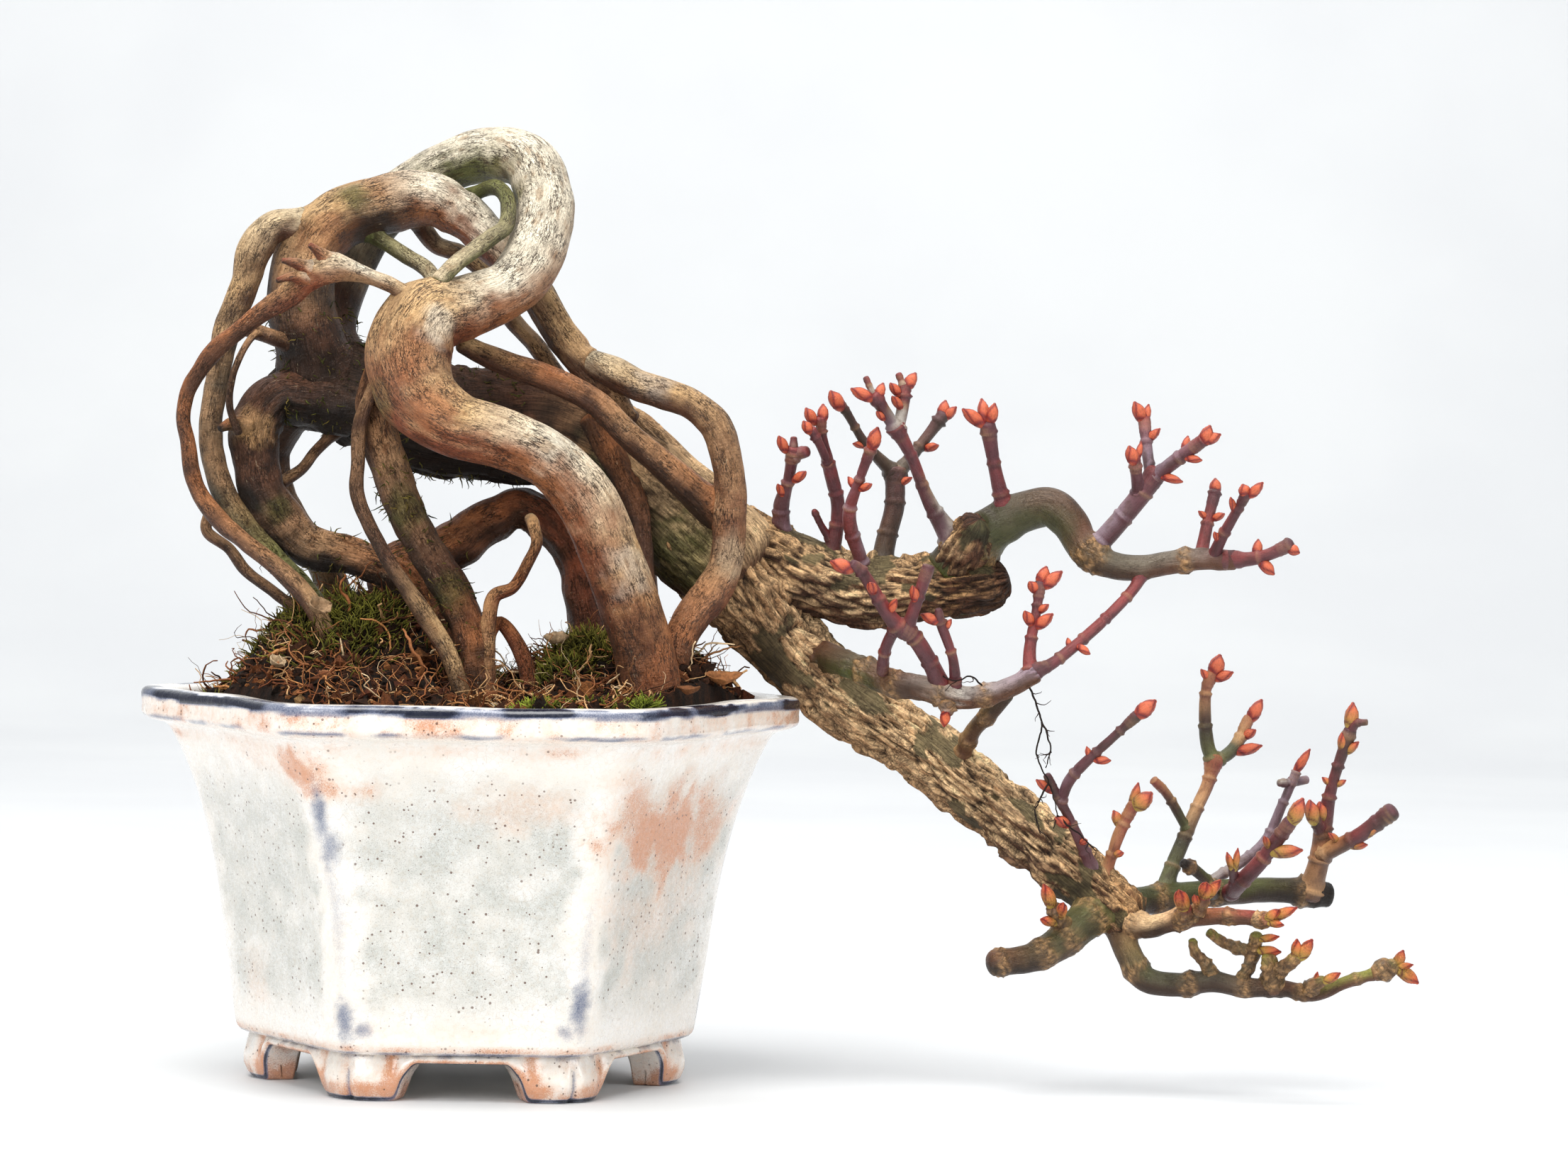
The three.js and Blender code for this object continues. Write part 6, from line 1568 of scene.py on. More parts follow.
# Moss that clings to the wood: limb, first and last share of its length, strands.
WOOD_MOSS = [("trunk", 0.05, 0.5, 1500), ("ring_root", 0.02, 0.2, 200), ("ring_root", 0.55, 0.95, 260),
             ("second_root", 0.3, 0.95, 320), ("left_root", 0.75, 1.0, 200), ("great_root", 0.93, 1.0, 260),
             ("arch_root", 0.0, 0.2, 260), ("back_arch", 0.05, 0.4, 120)]


def make_wood_moss(limbs):
    """Short dark moss and root hairs on the shaded wood."""
    draw = np.random.RandomState(SEEDS["wood moss"])
    threads = Threads(3)
    for name, first, last, count in WOOD_MOSS:
        stem = limbs[name][0][0]
        grid = stem.grid()
        for _ in range(count):
            row = int(draw.uniform(first, last) * (len(grid) - 1))
            column = draw.randint(grid.shape[1])
            start, out = grid[row, column], stem.out[row, column]
            if rough(start / 5, 95, 2) < -0.1:
                continue
            heading = out * 0.8 + draw.normal(0, 0.5, 3) + [0, 0, -0.35]
            line = wander(draw, start, heading, draw.uniform(0.8, 3.2), 4, 0.4)
            tone = mix(paint("#3c4416"), paint("#6a5a2a"), draw.uniform()) * draw.uniform(0.35, 1.3)
            threads.add(line, draw.uniform(0.1, 0.22) * np.array([1, 1, 0.9, 0.6, 0.3]), tone)
    return threads.build("wood_moss")


# Dark threads that hang beside the cascade.
HANGING_THREADS = [
    [[126, -18, 93], [129, -17, 85], [128, -17, 78], [131, -16, 71], [133, -15, 64], [132, -15, 61]],
    [[129, -17, 85], [131, -18, 80], [130, -18, 75]],
    [[133, -15, 64], [138, -14, 60], [142, -13, 56]],
    [[117, -17, 91], [113, -19, 95], [109, -19, 94], [105, -18, 96]],
    [[131, -16, 71], [128, -18, 66], [129, -18, 60]],
]


def make_hanging_threads():
    threads = Threads(5)
    draw = np.random.RandomState(SEEDS["threads"])
    for points in HANGING_THREADS:
        path, _ = smooth_path([point + [0.2] for point in points], 0.5)
        sway = [rough(path[:, :3] / 2.5, 5 + axis, 2) for axis in range(3)]
        line = path[:, :3] + 0.35 * np.stack(sway, axis=-1)
        threads.add(line, 0.26 * np.linspace(1, 0.5, len(line)), paint("#1a0f0b"))
        for _ in range(5):
            start = line[draw.randint(2, len(line) - 1)]
            heading = [draw.normal(), draw.normal() * 0.4, -0.7]
            side = wander(draw, start, heading, draw.uniform(2, 5), 6, 0.4)
            threads.add(side, 0.14 * np.linspace(1, 0.4, len(side)), paint("#241510"))
    return threads.build("hanging_threads")


# Curled dry leaves and flakes: x, y, height above the soil, length, width, turn, tilt, colour.
LITTER = [
    (57, -16, 2.2, 9, 4.2, 20, 25, "#8a5a34"), (-42, -33, 3.0, 6, 3.5, 70, 40, "#b09878"),
    (-30, -38, 1.2, 5, 3, 140, 20, "#8a5a3a"), (20, -16, 5.0, 6, 3.4, 200, 50, "#b89a78"),
    (6, -40, 1.0, 4, 1.2, 40, 60, "#cdb898"), (-20, -42, 1.0, 4.5, 1.1, 100, 55, "#c9b08c"),
    (-34, -24, 9.0, 8, 4.5, 60, 50, "#a08262"), (50, -34, 1.0, 6, 3, 330, 10, "#6e4426"),
    (-10, 42, 1.0, 8, 4, 80, 12, "#7c5030"), (46, 20, 1.5, 7, 4, 10, 20, "#8a5c36"),
]
LEAF_ROWS = 13
LEAF_COLUMNS = 7
LEAF_HALF_THICK = 0.12


def leaf_faces(first):
    """Faces of a thin closed leaf whose two sides are grids, with its corners numbered from first."""
    index = first + np.arange(2 * LEAF_ROWS * LEAF_COLUMNS).reshape(2, LEAF_ROWS, LEAF_COLUMNS)
    faces = []
    for side, order in zip(index, (1, -1)):
        for row in range(LEAF_ROWS - 1):
            for column in range(LEAF_COLUMNS - 1):
                corners = [side[row, column], side[row + 1, column],
                           side[row + 1, column + 1], side[row, column + 1]]
                faces.append(tuple(int(corner) for corner in corners[::order]))
    last_row, last_column = LEAF_ROWS - 1, LEAF_COLUMNS - 1
    border = [(row, 0) for row in range(LEAF_ROWS)]
    border += [(last_row, column) for column in range(1, LEAF_COLUMNS)]
    border += [(row, last_column) for row in range(last_row - 1, -1, -1)]
    border += [(0, column) for column in range(last_column - 1, 0, -1)]
    for here, beside in zip(border, border[1:] + border[:1]):
        corners = (index[0][beside], index[0][here], index[1][here], index[1][beside])
        faces.append(tuple(int(corner) for corner in corners))
    return faces


def make_litter():
    """Curled dry leaves and flakes, each a thin closed sheet."""
    places, faces, tints, count = [], [], [], 0
    s, t = np.meshgrid(np.linspace(-1, 1, LEAF_ROWS), np.linspace(-1, 1, LEAF_COLUMNS), indexing="ij")
    bulge = np.clip(1 - s ** 2, 0, 1)
    for x, y, above, length, width, turn, tilt, colour in LITTER:
        outline = width / 2 * bulge ** 0.8 * (1 + 0.15 * np.sin(9 * s + turn))
        curl = 0.28 * length * s ** 2 + 0.45 * width * t ** 2 * bulge
        flat = np.stack([s * length / 2, t * (outline + 0.06), curl + 0.12 * np.sin(5 * s + 3 * t)], axis=-1)
        spin = Matrix.Rotation(math.radians(turn), 3, "Z") @ Matrix.Rotation(math.radians(tilt), 3, "X")
        centre = np.array([x, y, float(soil_height(x, y)) + above])
        shade = (paint(colour) * (1 - 0.35 * np.exp(-(t / 0.12) ** 2))[..., None]).reshape(-1, 3)
        for side in (LEAF_HALF_THICK, -LEAF_HALF_THICK):
            sheet = (flat + [0, 0, side]).reshape(-1, 3) @ np.array(spin).T + centre
            places.append(sheet)
            tints.append(np.clip(shade * (1 + 0.25 * rough(sheet / 1.2, 44, 2))[:, None], 0, 1))
        faces += leaf_faces(count)
        count += 2 * s.size
    places = np.concatenate(places)
    return plain_mesh("dry_leaves", places, faces, {"tint": np.concatenate(tints), "grain": places})


# ---- Finishes ----------------------------------------------------------------------------------

def new_group(name, inputs, outputs):
    """An empty node group with named inputs (name, kind, default) and outputs (name, kind)."""
    group = bpy.data.node_groups.new(name, "ShaderNodeTree")
    for label, kind, default in inputs:
        socket = group.interface.new_socket(label, in_out="INPUT", socket_type="NodeSocket" + kind)
        if default is not None:
            socket.default_value = default
    for label, kind in outputs:
        group.interface.new_socket(label, in_out="OUTPUT", socket_type="NodeSocket" + kind)
    return group, group.nodes.new("NodeGroupInput").outputs, group.nodes.new("NodeGroupOutput").inputs


class Bench:
    """Short ways to add nodes to one tree and wire them."""

    def __init__(self, tree):
        self.tree = tree

    def node(self, kind, **settings):
        made = self.tree.nodes.new("ShaderNode" + kind)
        for key, value in settings.items():
            setattr(made, key, value)
        return made

    def wire(self, source, socket):
        if isinstance(source, bpy.types.NodeSocket):
            self.tree.links.new(source, socket)
        else:
            socket.default_value = source

    def maths(self, operation, a, b=0.0, clamp=False):
        made = self.node("Math", operation=operation, use_clamp=clamp)
        self.wire(a, made.inputs[0])
        self.wire(b, made.inputs[1])
        return made.outputs[0]

    def product(self, first, *others):
        for other in others:
            first = self.maths("MULTIPLY", first, other)
        return first

    def remap(self, value, low, high, to_low=0.0, to_high=1.0):
        """A smooth step from one range of values to another."""
        made = self.node("MapRange", interpolation_type="SMOOTHSTEP")
        self.wire(value, made.inputs["Value"])
        for label, number in (("From Min", low), ("From Max", high), ("To Min", to_low), ("To Max", to_high)):
            self.wire(number, made.inputs[label])
        return made.outputs["Result"]

    def stretch(self, vector, scale):
        made = self.node("VectorMath", operation="MULTIPLY")
        self.wire(vector, made.inputs[0])
        self.wire(scale, made.inputs[1])
        return made.outputs[0]

    def drawn_out(self, vector, lengthwise):
        """The vector with its third number scaled by a socket, so that a pattern runs lengthwise."""
        scale = self.node("CombineXYZ")
        for socket, number in zip(scale.inputs, (1.0, 1.0, lengthwise)):
            self.wire(number, socket)
        return self.stretch(vector, scale.outputs[0])

    def millimetres(self):
        """Places on the piece in millimetres."""
        return self.stretch(self.node("TexCoord").outputs["Object"], (1 / MM, 1 / MM, 1 / MM))

    def noise(self, vector, scale, detail=3.0, roughness=0.6):
        made = self.node("TexNoise")
        self.wire(vector, made.inputs["Vector"])
        self.wire(scale, made.inputs["Scale"])
        made.inputs["Detail"].default_value = detail
        made.inputs["Roughness"].default_value = roughness
        return made.outputs["Fac"]

    def cells(self, vector, scale, feature="F1"):
        made = self.node("TexVoronoi", feature=feature)
        self.wire(vector, made.inputs["Vector"])
        self.wire(scale, made.inputs["Scale"])
        return made.outputs

    def blend(self, share, a, b, how="MIX"):
        made = self.node("Mix", data_type="RGBA", blend_type=how)
        self.wire(share, made.inputs["Factor"])
        self.wire(a, made.inputs[6])
        self.wire(b, made.inputs[7])
        return made.outputs[2]

    def shaded(self, colour, shade):
        """The colour made lighter or darker by a number."""
        grey = self.node("CombineColor")
        for socket in grey.inputs[:3]:
            self.wire(shade, socket)
        return self.blend(1.0, colour, grey.outputs[0], "MULTIPLY")

    def stored(self, name, output="Fac"):
        made = self.node("Attribute", attribute_name=name)
        return made.outputs[output]

    def group(self, tree, **inputs):
        made = self.node("Group", node_tree=tree)
        for label, value in inputs.items():
            self.wire(value, made.inputs[label.replace("_", " ")])
        return made.outputs

    def bump(self, height, distance, strength=1.0):
        made = self.node("Bump")
        self.wire(height, made.inputs["Height"])
        made.inputs["Distance"].default_value = distance
        made.inputs["Strength"].default_value = strength
        return made.outputs["Normal"]


def rgb(code):
    return (*paint(code), 1.0)


def fibre_group():
    """Fine lengthwise grain with short cross wrinkles, in millimetre grain coordinates."""
    inputs = [("Grain", "Vector", None), ("Width", "Float", 1.0), ("Stretch", "Float", 0.12),
              ("Wrinkle", "Float", 0.3)]
    group, given, put = new_group("Wood fibre", inputs, [("Shade", "Float"), ("Height", "Float")])
    bench = Bench(group)
    along = bench.drawn_out(given["Grain"], given["Stretch"])
    fine = bench.noise(along, bench.maths("DIVIDE", 1.6, given["Width"]), 4.0, 0.65)
    across = bench.stretch(given["Grain"], (0.35, 0.35, 1.6))
    wrinkle = bench.noise(across, bench.maths("DIVIDE", 1.1, given["Width"]), 3.0, 0.6)
    both = bench.maths("ADD", fine, bench.product(wrinkle, given["Wrinkle"]))
    bench.wire(bench.remap(both, 0.42, 0.86), put["Shade"])
    bench.wire(both, put["Height"])
    return group


def fleck_group():
    """Scattered fine flecks: a mask of small broken dashes."""
    inputs = [("Grain", "Vector", None), ("Size", "Float", 1.0), ("Amount", "Float", 0.3)]
    group, given, put = new_group("Flecks", inputs, [("Mask", "Float")])
    bench = Bench(group)
    vector = bench.stretch(given["Grain"], (1.0, 1.0, 0.32))
    spots = bench.noise(vector, bench.maths("DIVIDE", 1.9, given["Size"]), 5.0, 0.72)
    patch = bench.noise(given["Grain"], 0.16, 2.0, 0.5)
    limit = bench.maths("SUBTRACT", 0.78, bench.product(given["Amount"], patch, 0.42))
    level = bench.maths("SUBTRACT", spots, limit)
    bench.wire(bench.remap(level, 0.0, 0.05), put["Mask"])
    return group


def crack_group():
    """Thin dark cracks between small uneven plates."""
    inputs = [("Grain", "Vector", None), ("Size", "Float", 1.0), ("Stretch", "Float", 0.3)]
    group, given, put = new_group("Bark cracks", inputs, [("Crack", "Float"), ("Height", "Float")])
    bench = Bench(group)
    warp = bench.node("TexNoise")
    bench.wire(given["Grain"], warp.inputs["Vector"])
    warp.inputs["Scale"].default_value = 0.5
    warp.inputs["Detail"].default_value = 3.0
    shift = bench.node("VectorMath", operation="MULTIPLY_ADD")
    bench.wire(warp.outputs["Color"], shift.inputs[0])
    bench.wire((2.2, 2.2, 2.2), shift.inputs[1])
    bench.wire(given["Grain"], shift.inputs[2])
    plates_at = bench.drawn_out(shift.outputs[0], given["Stretch"])
    pitch = bench.maths("DIVIDE", 0.9, given["Size"])
    edge = bench.cells(plates_at, pitch, "DISTANCE_TO_EDGE")["Distance"]
    bench.wire(bench.remap(edge, 0.09, 0.0), put["Crack"])
    bench.wire(bench.remap(edge, 0.0, 0.3), put["Height"])
    return group


def vein_group():
    """Thin dark wrinkles that wander along the wood, and finer ones between them."""
    inputs = [("Grain", "Vector", None), ("Amount", "Float", 1.0)]
    group, given, put = new_group("Wrinkles", inputs, [("Mask", "Float")])
    bench = Bench(group)
    masks = []
    for squash, scale, width in (((1.0, 1.0, 0.24), 0.8, 0.026), ((1.0, 1.0, 0.4), 1.7, 0.03)):
        level = bench.noise(bench.stretch(given["Grain"], squash), scale, 3.0, 0.62)
        away = bench.maths("ABSOLUTE", bench.maths("SUBTRACT", level, 0.5))
        masks.append(bench.remap(away, width, 0.0))
    patch = bench.remap(bench.noise(given["Grain"], 0.2, 2.0, 0.5), 0.4, 0.6, 0.25, 1.0)
    both = bench.maths("MAXIMUM", masks[0], bench.product(masks[1], 0.7))
    bench.wire(bench.product(both, patch, given["Amount"]), put["Mask"])
    return group


FIBRE = fibre_group()
VEINS = vein_group()
FLECKS = fleck_group()
CRACKS = crack_group()


def new_finish(name):
    material = bpy.data.materials.new(name)
    material.use_nodes = True
    shader = material.node_tree.nodes["Principled BSDF"]
    return material, Bench(material.node_tree), shader.inputs


def bark_finish(name, fibre_width, stretch, wrinkle, relief, flecks, roughness, contrast, veins):
    """Bark over the painted tint: fibres, cracks on corky parts, flecks, and a matching relief."""
    material, bench, surface = new_finish(name)
    grain = bench.stored("grain", "Vector")
    cork = bench.stored("cork")
    fibre = bench.group(FIBRE, Grain=grain, Width=fibre_width, Stretch=stretch, Wrinkle=wrinkle)
    crack = bench.group(CRACKS, Grain=grain, Size=1.3, Stretch=0.35)
    dark = bench.group(FLECKS, Grain=grain, Size=0.8, Amount=flecks)["Mask"]
    pale_at = bench.stretch(grain, (1.1, 1.1, 1.3))
    pale = bench.group(FLECKS, Grain=pale_at, Size=1.1, Amount=flecks * 0.8)["Mask"]
    vein = bench.group(VEINS, Grain=grain, Amount=veins)["Mask"]
    shade = bench.remap(fibre["Shade"], 0.0, 1.0, 1 - contrast, 1 + 0.6 * contrast)
    colour = bench.shaded(bench.stored("tint", "Color"), shade)
    colour = bench.blend(bench.product(dark, 0.8), colour, rgb(BARK_COLOURS["fleck"]))
    colour = bench.blend(bench.product(pale, 0.4), colour, rgb(BARK_COLOURS["flake"]))
    seams = bench.product(crack["Crack"], cork, 0.6)
    colour = bench.blend(seams, colour, rgb(BARK_COLOURS["fissure"]))
    colour = bench.blend(vein, colour, rgb(BARK_COLOURS["wrinkle"]))
    bench.wire(colour, surface["Base Color"])
    dull = bench.remap(fibre["Height"], 0.4, 0.9, roughness + 0.12, roughness - 0.08)
    bench.wire(dull, surface["Roughness"])
    ridges = bench.product(crack["Height"], cork)
    height = bench.maths("ADD", bench.product(fibre["Height"], 0.5), bench.product(ridges, 0.45))
    height = bench.maths("ADD", height, bench.product(bench.stored("relief"), 0.25))
    height = bench.maths("SUBTRACT", height, bench.product(dark, 0.12))
    height = bench.maths("SUBTRACT", height, bench.product(vein, 0.3))
    bench.wire(bench.bump(height, relief * MM), surface["Normal"])
    surface["Specular IOR Level"].default_value = 0.35
    return material


def shoot_finish():
    """Thin young bark and bud scales: smooth and a little waxy, with fine dots."""
    material, bench, surface = new_finish("young shoot")
    grain = bench.stored("grain", "Vector")
    fibre = bench.group(FIBRE, Grain=grain, Width=0.35, Stretch=0.2, Wrinkle=0.5)
    shade = bench.remap(fibre["Shade"], 0.0, 1.0, 0.66, 1.15)
    colour = bench.shaded(bench.stored("tint", "Color"), shade)
    dots = bench.group(FLECKS, Grain=grain, Size=0.45, Amount=0.45)["Mask"]
    colour = bench.blend(bench.product(dots, 0.6), colour, rgb(BARK_COLOURS["dot"]))
    bench.wire(colour, surface["Base Color"])
    bench.wire(bench.remap(fibre["Height"], 0.4, 0.9, 0.5, 0.34), surface["Roughness"])
    bench.wire(bench.bump(fibre["Height"], 0.25 * MM), surface["Normal"])
    surface["Coat Weight"].default_value = 0.15
    surface["Coat Roughness"].default_value = 0.4
    return material


def iron_dots(bench, where, grey, rust):
    """Small round pinholes and iron specks, thicker where the glaze is thin."""
    spot = bench.cells(where, 1.05)
    rare = bench.node("SeparateColor")
    bench.wire(spot["Color"], rare.inputs[0])
    chosen = bench.remap(rare.outputs[0], 0.66, 0.7)
    density = bench.maths("ADD", bench.product(grey, 0.9), bench.product(rust, 0.8), clamp=True)
    density = bench.maths("ADD", density, 0.12, clamp=True)
    dot = bench.maths("LESS_THAN", spot["Distance"], bench.product(rare.outputs[1], 0.34))
    return bench.product(dot, chosen, bench.remap(density, 0.1, 0.7, 0.1, 0.85))


def glaze_finish():
    """Milky crackled glaze over rust and cobalt, with iron specks and pinholes."""
    material, bench, surface = new_finish("crackled glaze")
    where = bench.millimetres()
    parts = bench.node("SeparateColor")
    bench.wire(bench.stored("stain", "Color"), parts.inputs[0])
    rust, cobalt, grey = parts.outputs
    cloud = bench.noise(where, 0.09, 5.0, 0.6)
    mottle = bench.noise(where, 0.9, 5.0, 0.7)
    dust = bench.noise(where, 3.4, 3.0, 0.7)
    shades = {key: rgb(code) for key, code in GLAZE_COLOURS.items()}
    # The milky coat, thinner and greyer over the panels, with a warm mottle.
    colour = bench.blend(bench.remap(cloud, 0.3, 0.7), shades["milk"], shades["pale_milk"])
    veil = bench.product(grey, bench.remap(mottle, 0.3, 0.62, 0.6, 1.0))
    colour = bench.blend(veil, colour, shades["veil"])
    speckle = bench.product(bench.remap(dust, 0.5, 0.66), bench.product(grey, 0.62))
    colour = bench.blend(speckle, colour, shades["speckle"])
    warm = bench.product(bench.remap(mottle, 0.45, 0.7), 0.25)
    colour = bench.blend(warm, colour, shades["warmth"])
    # Rust that blushes through it, grainy where it is strong.
    soft_rust = bench.product(rust, 0.62, bench.remap(mottle, 0.3, 0.6, 0.45, 1.0))
    colour = bench.blend(soft_rust, colour, shades["blush"])
    grains = bench.maths("ADD", bench.product(rust, 0.7), dust)
    grains = bench.product(bench.remap(grains, 0.82, 1.2), bench.remap(rust, 0.1, 0.5))
    colour = bench.blend(bench.product(grains, 0.7), colour, shades["rust"])
    # Crackle, specks, and cobalt where the glaze runs thick.
    edge = bench.cells(where, 0.62, "DISTANCE_TO_EDGE")["Distance"]
    crackle = bench.product(bench.remap(edge, 0.035, 0.0), bench.remap(cloud, 0.35, 0.65, 0.05, 0.28))
    colour = bench.blend(crackle, colour, shades["crackle"])
    dots = iron_dots(bench, where, grey, rust)
    colour = bench.blend(dots, colour, shades["iron"])
    inky = bench.maths("ADD", bench.product(cobalt, 0.9), bench.product(dust, 0.5))
    colour = bench.blend(bench.remap(inky, 0.36, 1.0, 0.0, 0.92), colour, shades["cobalt"])
    deep = bench.remap(bench.maths("ADD", cobalt, bench.product(dust, 0.3)), 0.78, 1.08)
    colour = bench.blend(deep, colour, shades["deep_cobalt"])
    bench.wire(colour, surface["Base Color"])
    bench.wire(bench.remap(mottle, 0.3, 0.7, 0.2, 0.36), surface["Roughness"])
    surface["Coat Weight"].default_value = 0.6
    surface["Coat Roughness"].default_value = 0.12
    peel = bench.noise(where, 0.35, 2.0, 0.5)
    height = bench.maths("ADD", bench.product(peel, 0.8), bench.product(mottle, 0.16))
    height = bench.maths("SUBTRACT", height, bench.product(dots, 0.12))
    height = bench.maths("SUBTRACT", height, bench.product(crackle, 0.05))
    bench.wire(bench.bump(height, 0.5 * MM, 0.6), surface["Normal"])
    return material


def loose_finish(name, scale, low, high, roughness, relief):
    """A dull finish for soil, threads, moss and leaves: the tint, broken by fine noise."""
    material, bench, surface = new_finish(name)
    speck = bench.noise(bench.stored("grain", "Vector"), scale, 4.0, 0.7)
    shade = bench.remap(speck, 0.3, 0.7, low, high)
    bench.wire(bench.shaded(bench.stored("tint", "Color"), shade), surface["Base Color"])
    surface["Roughness"].default_value = roughness
    surface["Specular IOR Level"].default_value = 0.25
    bench.wire(bench.bump(speck, relief * MM), surface["Normal"])
    return material


def plain_finish(name, colour, roughness, metallic, scale):
    """Moulded or drawn stock with a fine uneven surface."""
    material, bench, surface = new_finish(name)
    speck = bench.noise(bench.millimetres(), scale, 4.0, 0.6)
    dull = tuple(0.6 * channel for channel in paint(colour)) + (1.0,)
    bench.wire(bench.blend(bench.remap(speck, 0.35, 0.65), dull, rgb(colour)), surface["Base Color"])
    bench.wire(bench.remap(speck, 0.3, 0.7, roughness - 0.08, roughness + 0.12), surface["Roughness"])
    surface["Metallic"].default_value = metallic
    bench.wire(bench.bump(speck, 0.08 * MM), surface["Normal"])
    return material


root_bark = bark_finish("root bark", 0.8, 0.12, 0.6, 1.3, 0.85, 0.5, 0.42, 1.0)
rough_bark = bark_finish("corky bark", 0.7, 0.08, 0.3, 1.1, 0.6, 0.72, 0.42, 0.7)
young_bark = bark_finish("young bark", 0.7, 0.16, 0.6, 0.7, 0.5, 0.45, 0.3, 0.5)
shoot_bark = shoot_finish()
glaze = glaze_finish()
soil_finish = loose_finish("damp soil", 1.4, 0.5, 1.5, 0.95, 0.8)
thread_finish = loose_finish("rootlet", 1.8, 0.7, 1.25, 0.7, 0.1)
moss_finish = loose_finish("moss", 1.2, 0.65, 1.35, 0.85, 0.1)
leaf_finish = loose_finish("dry leaf", 1.1, 0.6, 1.3, 0.75, 0.25)
drain_finish = plain_finish("moulded plastic", "#1a1d1a", 0.5, 0.0, 1.5)
wire_finish = plain_finish("drawn wire", "#b9b6b0", 0.35, 1.0, 4.0)


# ---- Camera, floor and light -------------------------------------------------------------------

CAMERA_PLACE = np.array([70.5, -1224.3, 152.3])
CAMERA_TILT = math.radians(-1.82)
CAMERA_ROLL = math.radians(1.22)
LENS = 123.7


def set_camera():
    ahead = Vector((0, math.cos(CAMERA_TILT), math.sin(CAMERA_TILT)))
    up = Vector((0, -math.sin(CAMERA_TILT), math.cos(CAMERA_TILT)))
    right = Vector((1, 0, 0))
    c, s = math.cos(CAMERA_ROLL), math.sin(CAMERA_ROLL)
    across, upward = c * right + s * up, c * up - s * right
    turn = Matrix((across, upward, -ahead)).transposed().to_4x4()
    data = bpy.data.cameras.new("camera")
    data.sensor_width = 36.0
    data.lens = LENS
    data.clip_start = 0.05
    data.clip_end = 20.0
    camera = bpy.data.objects.new("camera", data)
    camera.matrix_world = Matrix.Translation(Vector(CAMERA_PLACE * MM + POT_AXIS)) @ turn
    bpy.context.scene.collection.objects.link(camera)
    bpy.context.scene.camera = camera


def set_floor():
    """A pale sweep: flat under the plant and curving up behind it."""
    half, bend, back = 2.6, 0.7, 1.9
    line = [(-2.6, 0.0), (back - bend, 0.0)]
    turns = np.linspace(0.1, math.pi / 2, 14)
    line += [(back - bend + bend * math.sin(turn), bend - bend * math.cos(turn)) for turn in turns]
    line.append((back, 3.2))
    places = [(x, y, z) for y, z in line for x in (-half, half)]
    faces = [(2 * i, 2 * i + 1, 2 * i + 3, 2 * i + 2) for i in range(len(line) - 1)]
    mesh = bpy.data.meshes.new("floor")
    mesh.from_pydata(places, [], faces)
    mesh.polygons.foreach_set("use_smooth", np.ones(len(faces), dtype=bool))
    floor = bpy.data.objects.new("floor", mesh)
    bpy.context.scene.collection.objects.link(floor)
    material, bench, surface = new_finish("pale paper")
    cloud = bench.remap(bench.noise(bench.node("TexCoord").outputs["Object"], 5.0, 3.0, 0.5), 0.3, 0.7)
    bench.wire(bench.blend(cloud, rgb("#d7d9db"), rgb("#dddfe0")), surface["Base Color"])
    surface["Roughness"].default_value = 0.55
    mesh.materials.append(material)


# Softboxes: name, place, what they face, their size in metres, power in watts and colour.
LIGHTS = [
    ("overhead softbox", (-0.15, -0.35, 1.2), (0, 0, 0.1), (1.0, 0.8), 17.5, (1.0, 0.99, 0.97)),
    ("front left softbox", (-0.7, -1.1, 0.75), (0, 0, 0.1), (0.7, 0.7), 10.0, (1, 1, 1)),
    ("right softbox", (1.1, -0.6, 0.6), (0, 0, 0.1), (0.6, 0.8), 6.0, (1, 1, 1)),
    ("wash on the sweep", (0.0, 0.9, 1.7), (0, 1.7, 0.3), (2.4, 0.6), 22.0, (1, 1, 1)),
]
ROOM_COLOUR = (0.97, 0.98, 1.0, 1.0)
ROOM_STRENGTH = 0.28


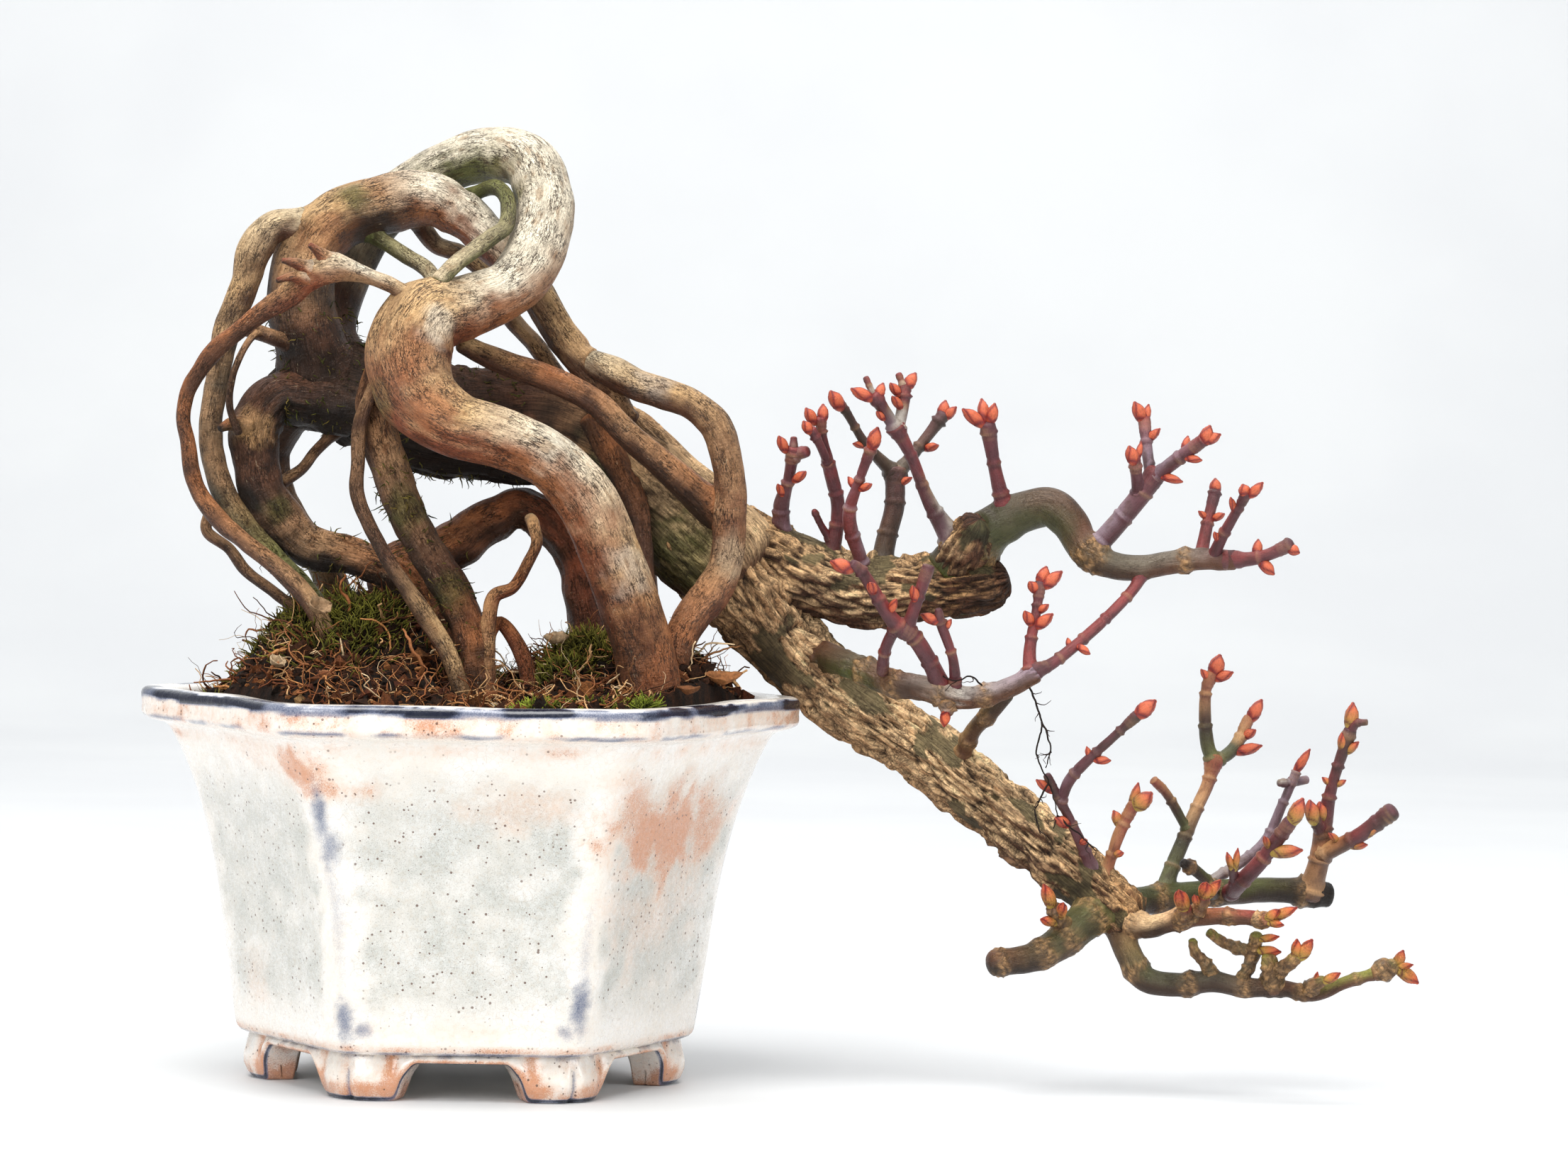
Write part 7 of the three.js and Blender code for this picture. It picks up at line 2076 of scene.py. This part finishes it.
def set_light():
    scene = bpy.context.scene
    for name, place, aim, size, power, colour in LIGHTS:
        data = bpy.data.lights.new(name, "AREA")
        data.shape = "RECTANGLE"
        data.size, data.size_y = size
        data.energy = power
        data.color = colour
        light = bpy.data.objects.new(name, data)
        light.location = place
        light.rotation_euler = (Vector(aim) - Vector(place)).to_track_quat("-Z", "Y").to_euler()
        scene.collection.objects.link(light)
    scene.world = bpy.data.worlds.new("white room")
    scene.world.use_nodes = True
    background = scene.world.node_tree.nodes["Background"]
    background.inputs["Color"].default_value = ROOM_COLOUR
    background.inputs["Strength"].default_value = ROOM_STRENGTH
    scene.view_settings.view_transform = "Standard"
    scene.view_settings.look = "None"


# ---- Putting it together -----------------------------------------------------------------------

set_camera()
set_floor()
set_light()

settle(make_pot_body(), "glaze", glaze, "pot")
settle(make_pot_feet(), "glaze", glaze)
settle(make_soil(), "soil", soil_finish, "soil")
settle(make_crumbs(), "soil", soil_finish)
settle(make_rootlets(), "root_bark", thread_finish)
settle(make_moss(), "moss", moss_finish, "moss_left", "moss_right", "moss_front", "moss_front_right")
settle(make_litter(), "dry_leaf", leaf_finish, "fallen_leaf")
settle(make_hanging_threads(), "root_bark", thread_finish)

limbs = {}
for name, one in {**ROOTS, **BRANCHES, **SHOOTS}.items():
    limbs[name] = limb_stems(name, one)
settle(make_wood_moss(limbs), "moss", moss_finish)
for seed, name in enumerate(limbs):
    stems, buds = limbs[name]
    others = [stem for other, (kept, _) in limbs.items() if other != name for stem in kept]
    if name in SHOOTS:
        look, slot, finish = {**SHOOT_LOOK, **LOOKS.get(name, {})}, "shoot_bark", shoot_bark
    elif name in ("trunk", "cascade", "upper_branch"):
        look, slot, finish = LOOKS[name], "rough_bark", rough_bark
    elif name in ROOTS:
        look, slot, finish = {**ROOT_LOOK, **LOOKS.get(name, {})}, "root_bark", root_bark
    else:
        look, slot, finish = {**BRANCH_LOOK, **LOOKS.get(name, {})}, "young_bark", young_bark
    settle(make_limb(name, stems, buds, others, look, 7 * seed), slot, finish, name)

for name, finish in (("drain_mesh", drain_finish), ("mesh_wire", wire_finish)):
    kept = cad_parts[name]
    kept.data.materials.clear()
    kept.data.materials.append(finish)
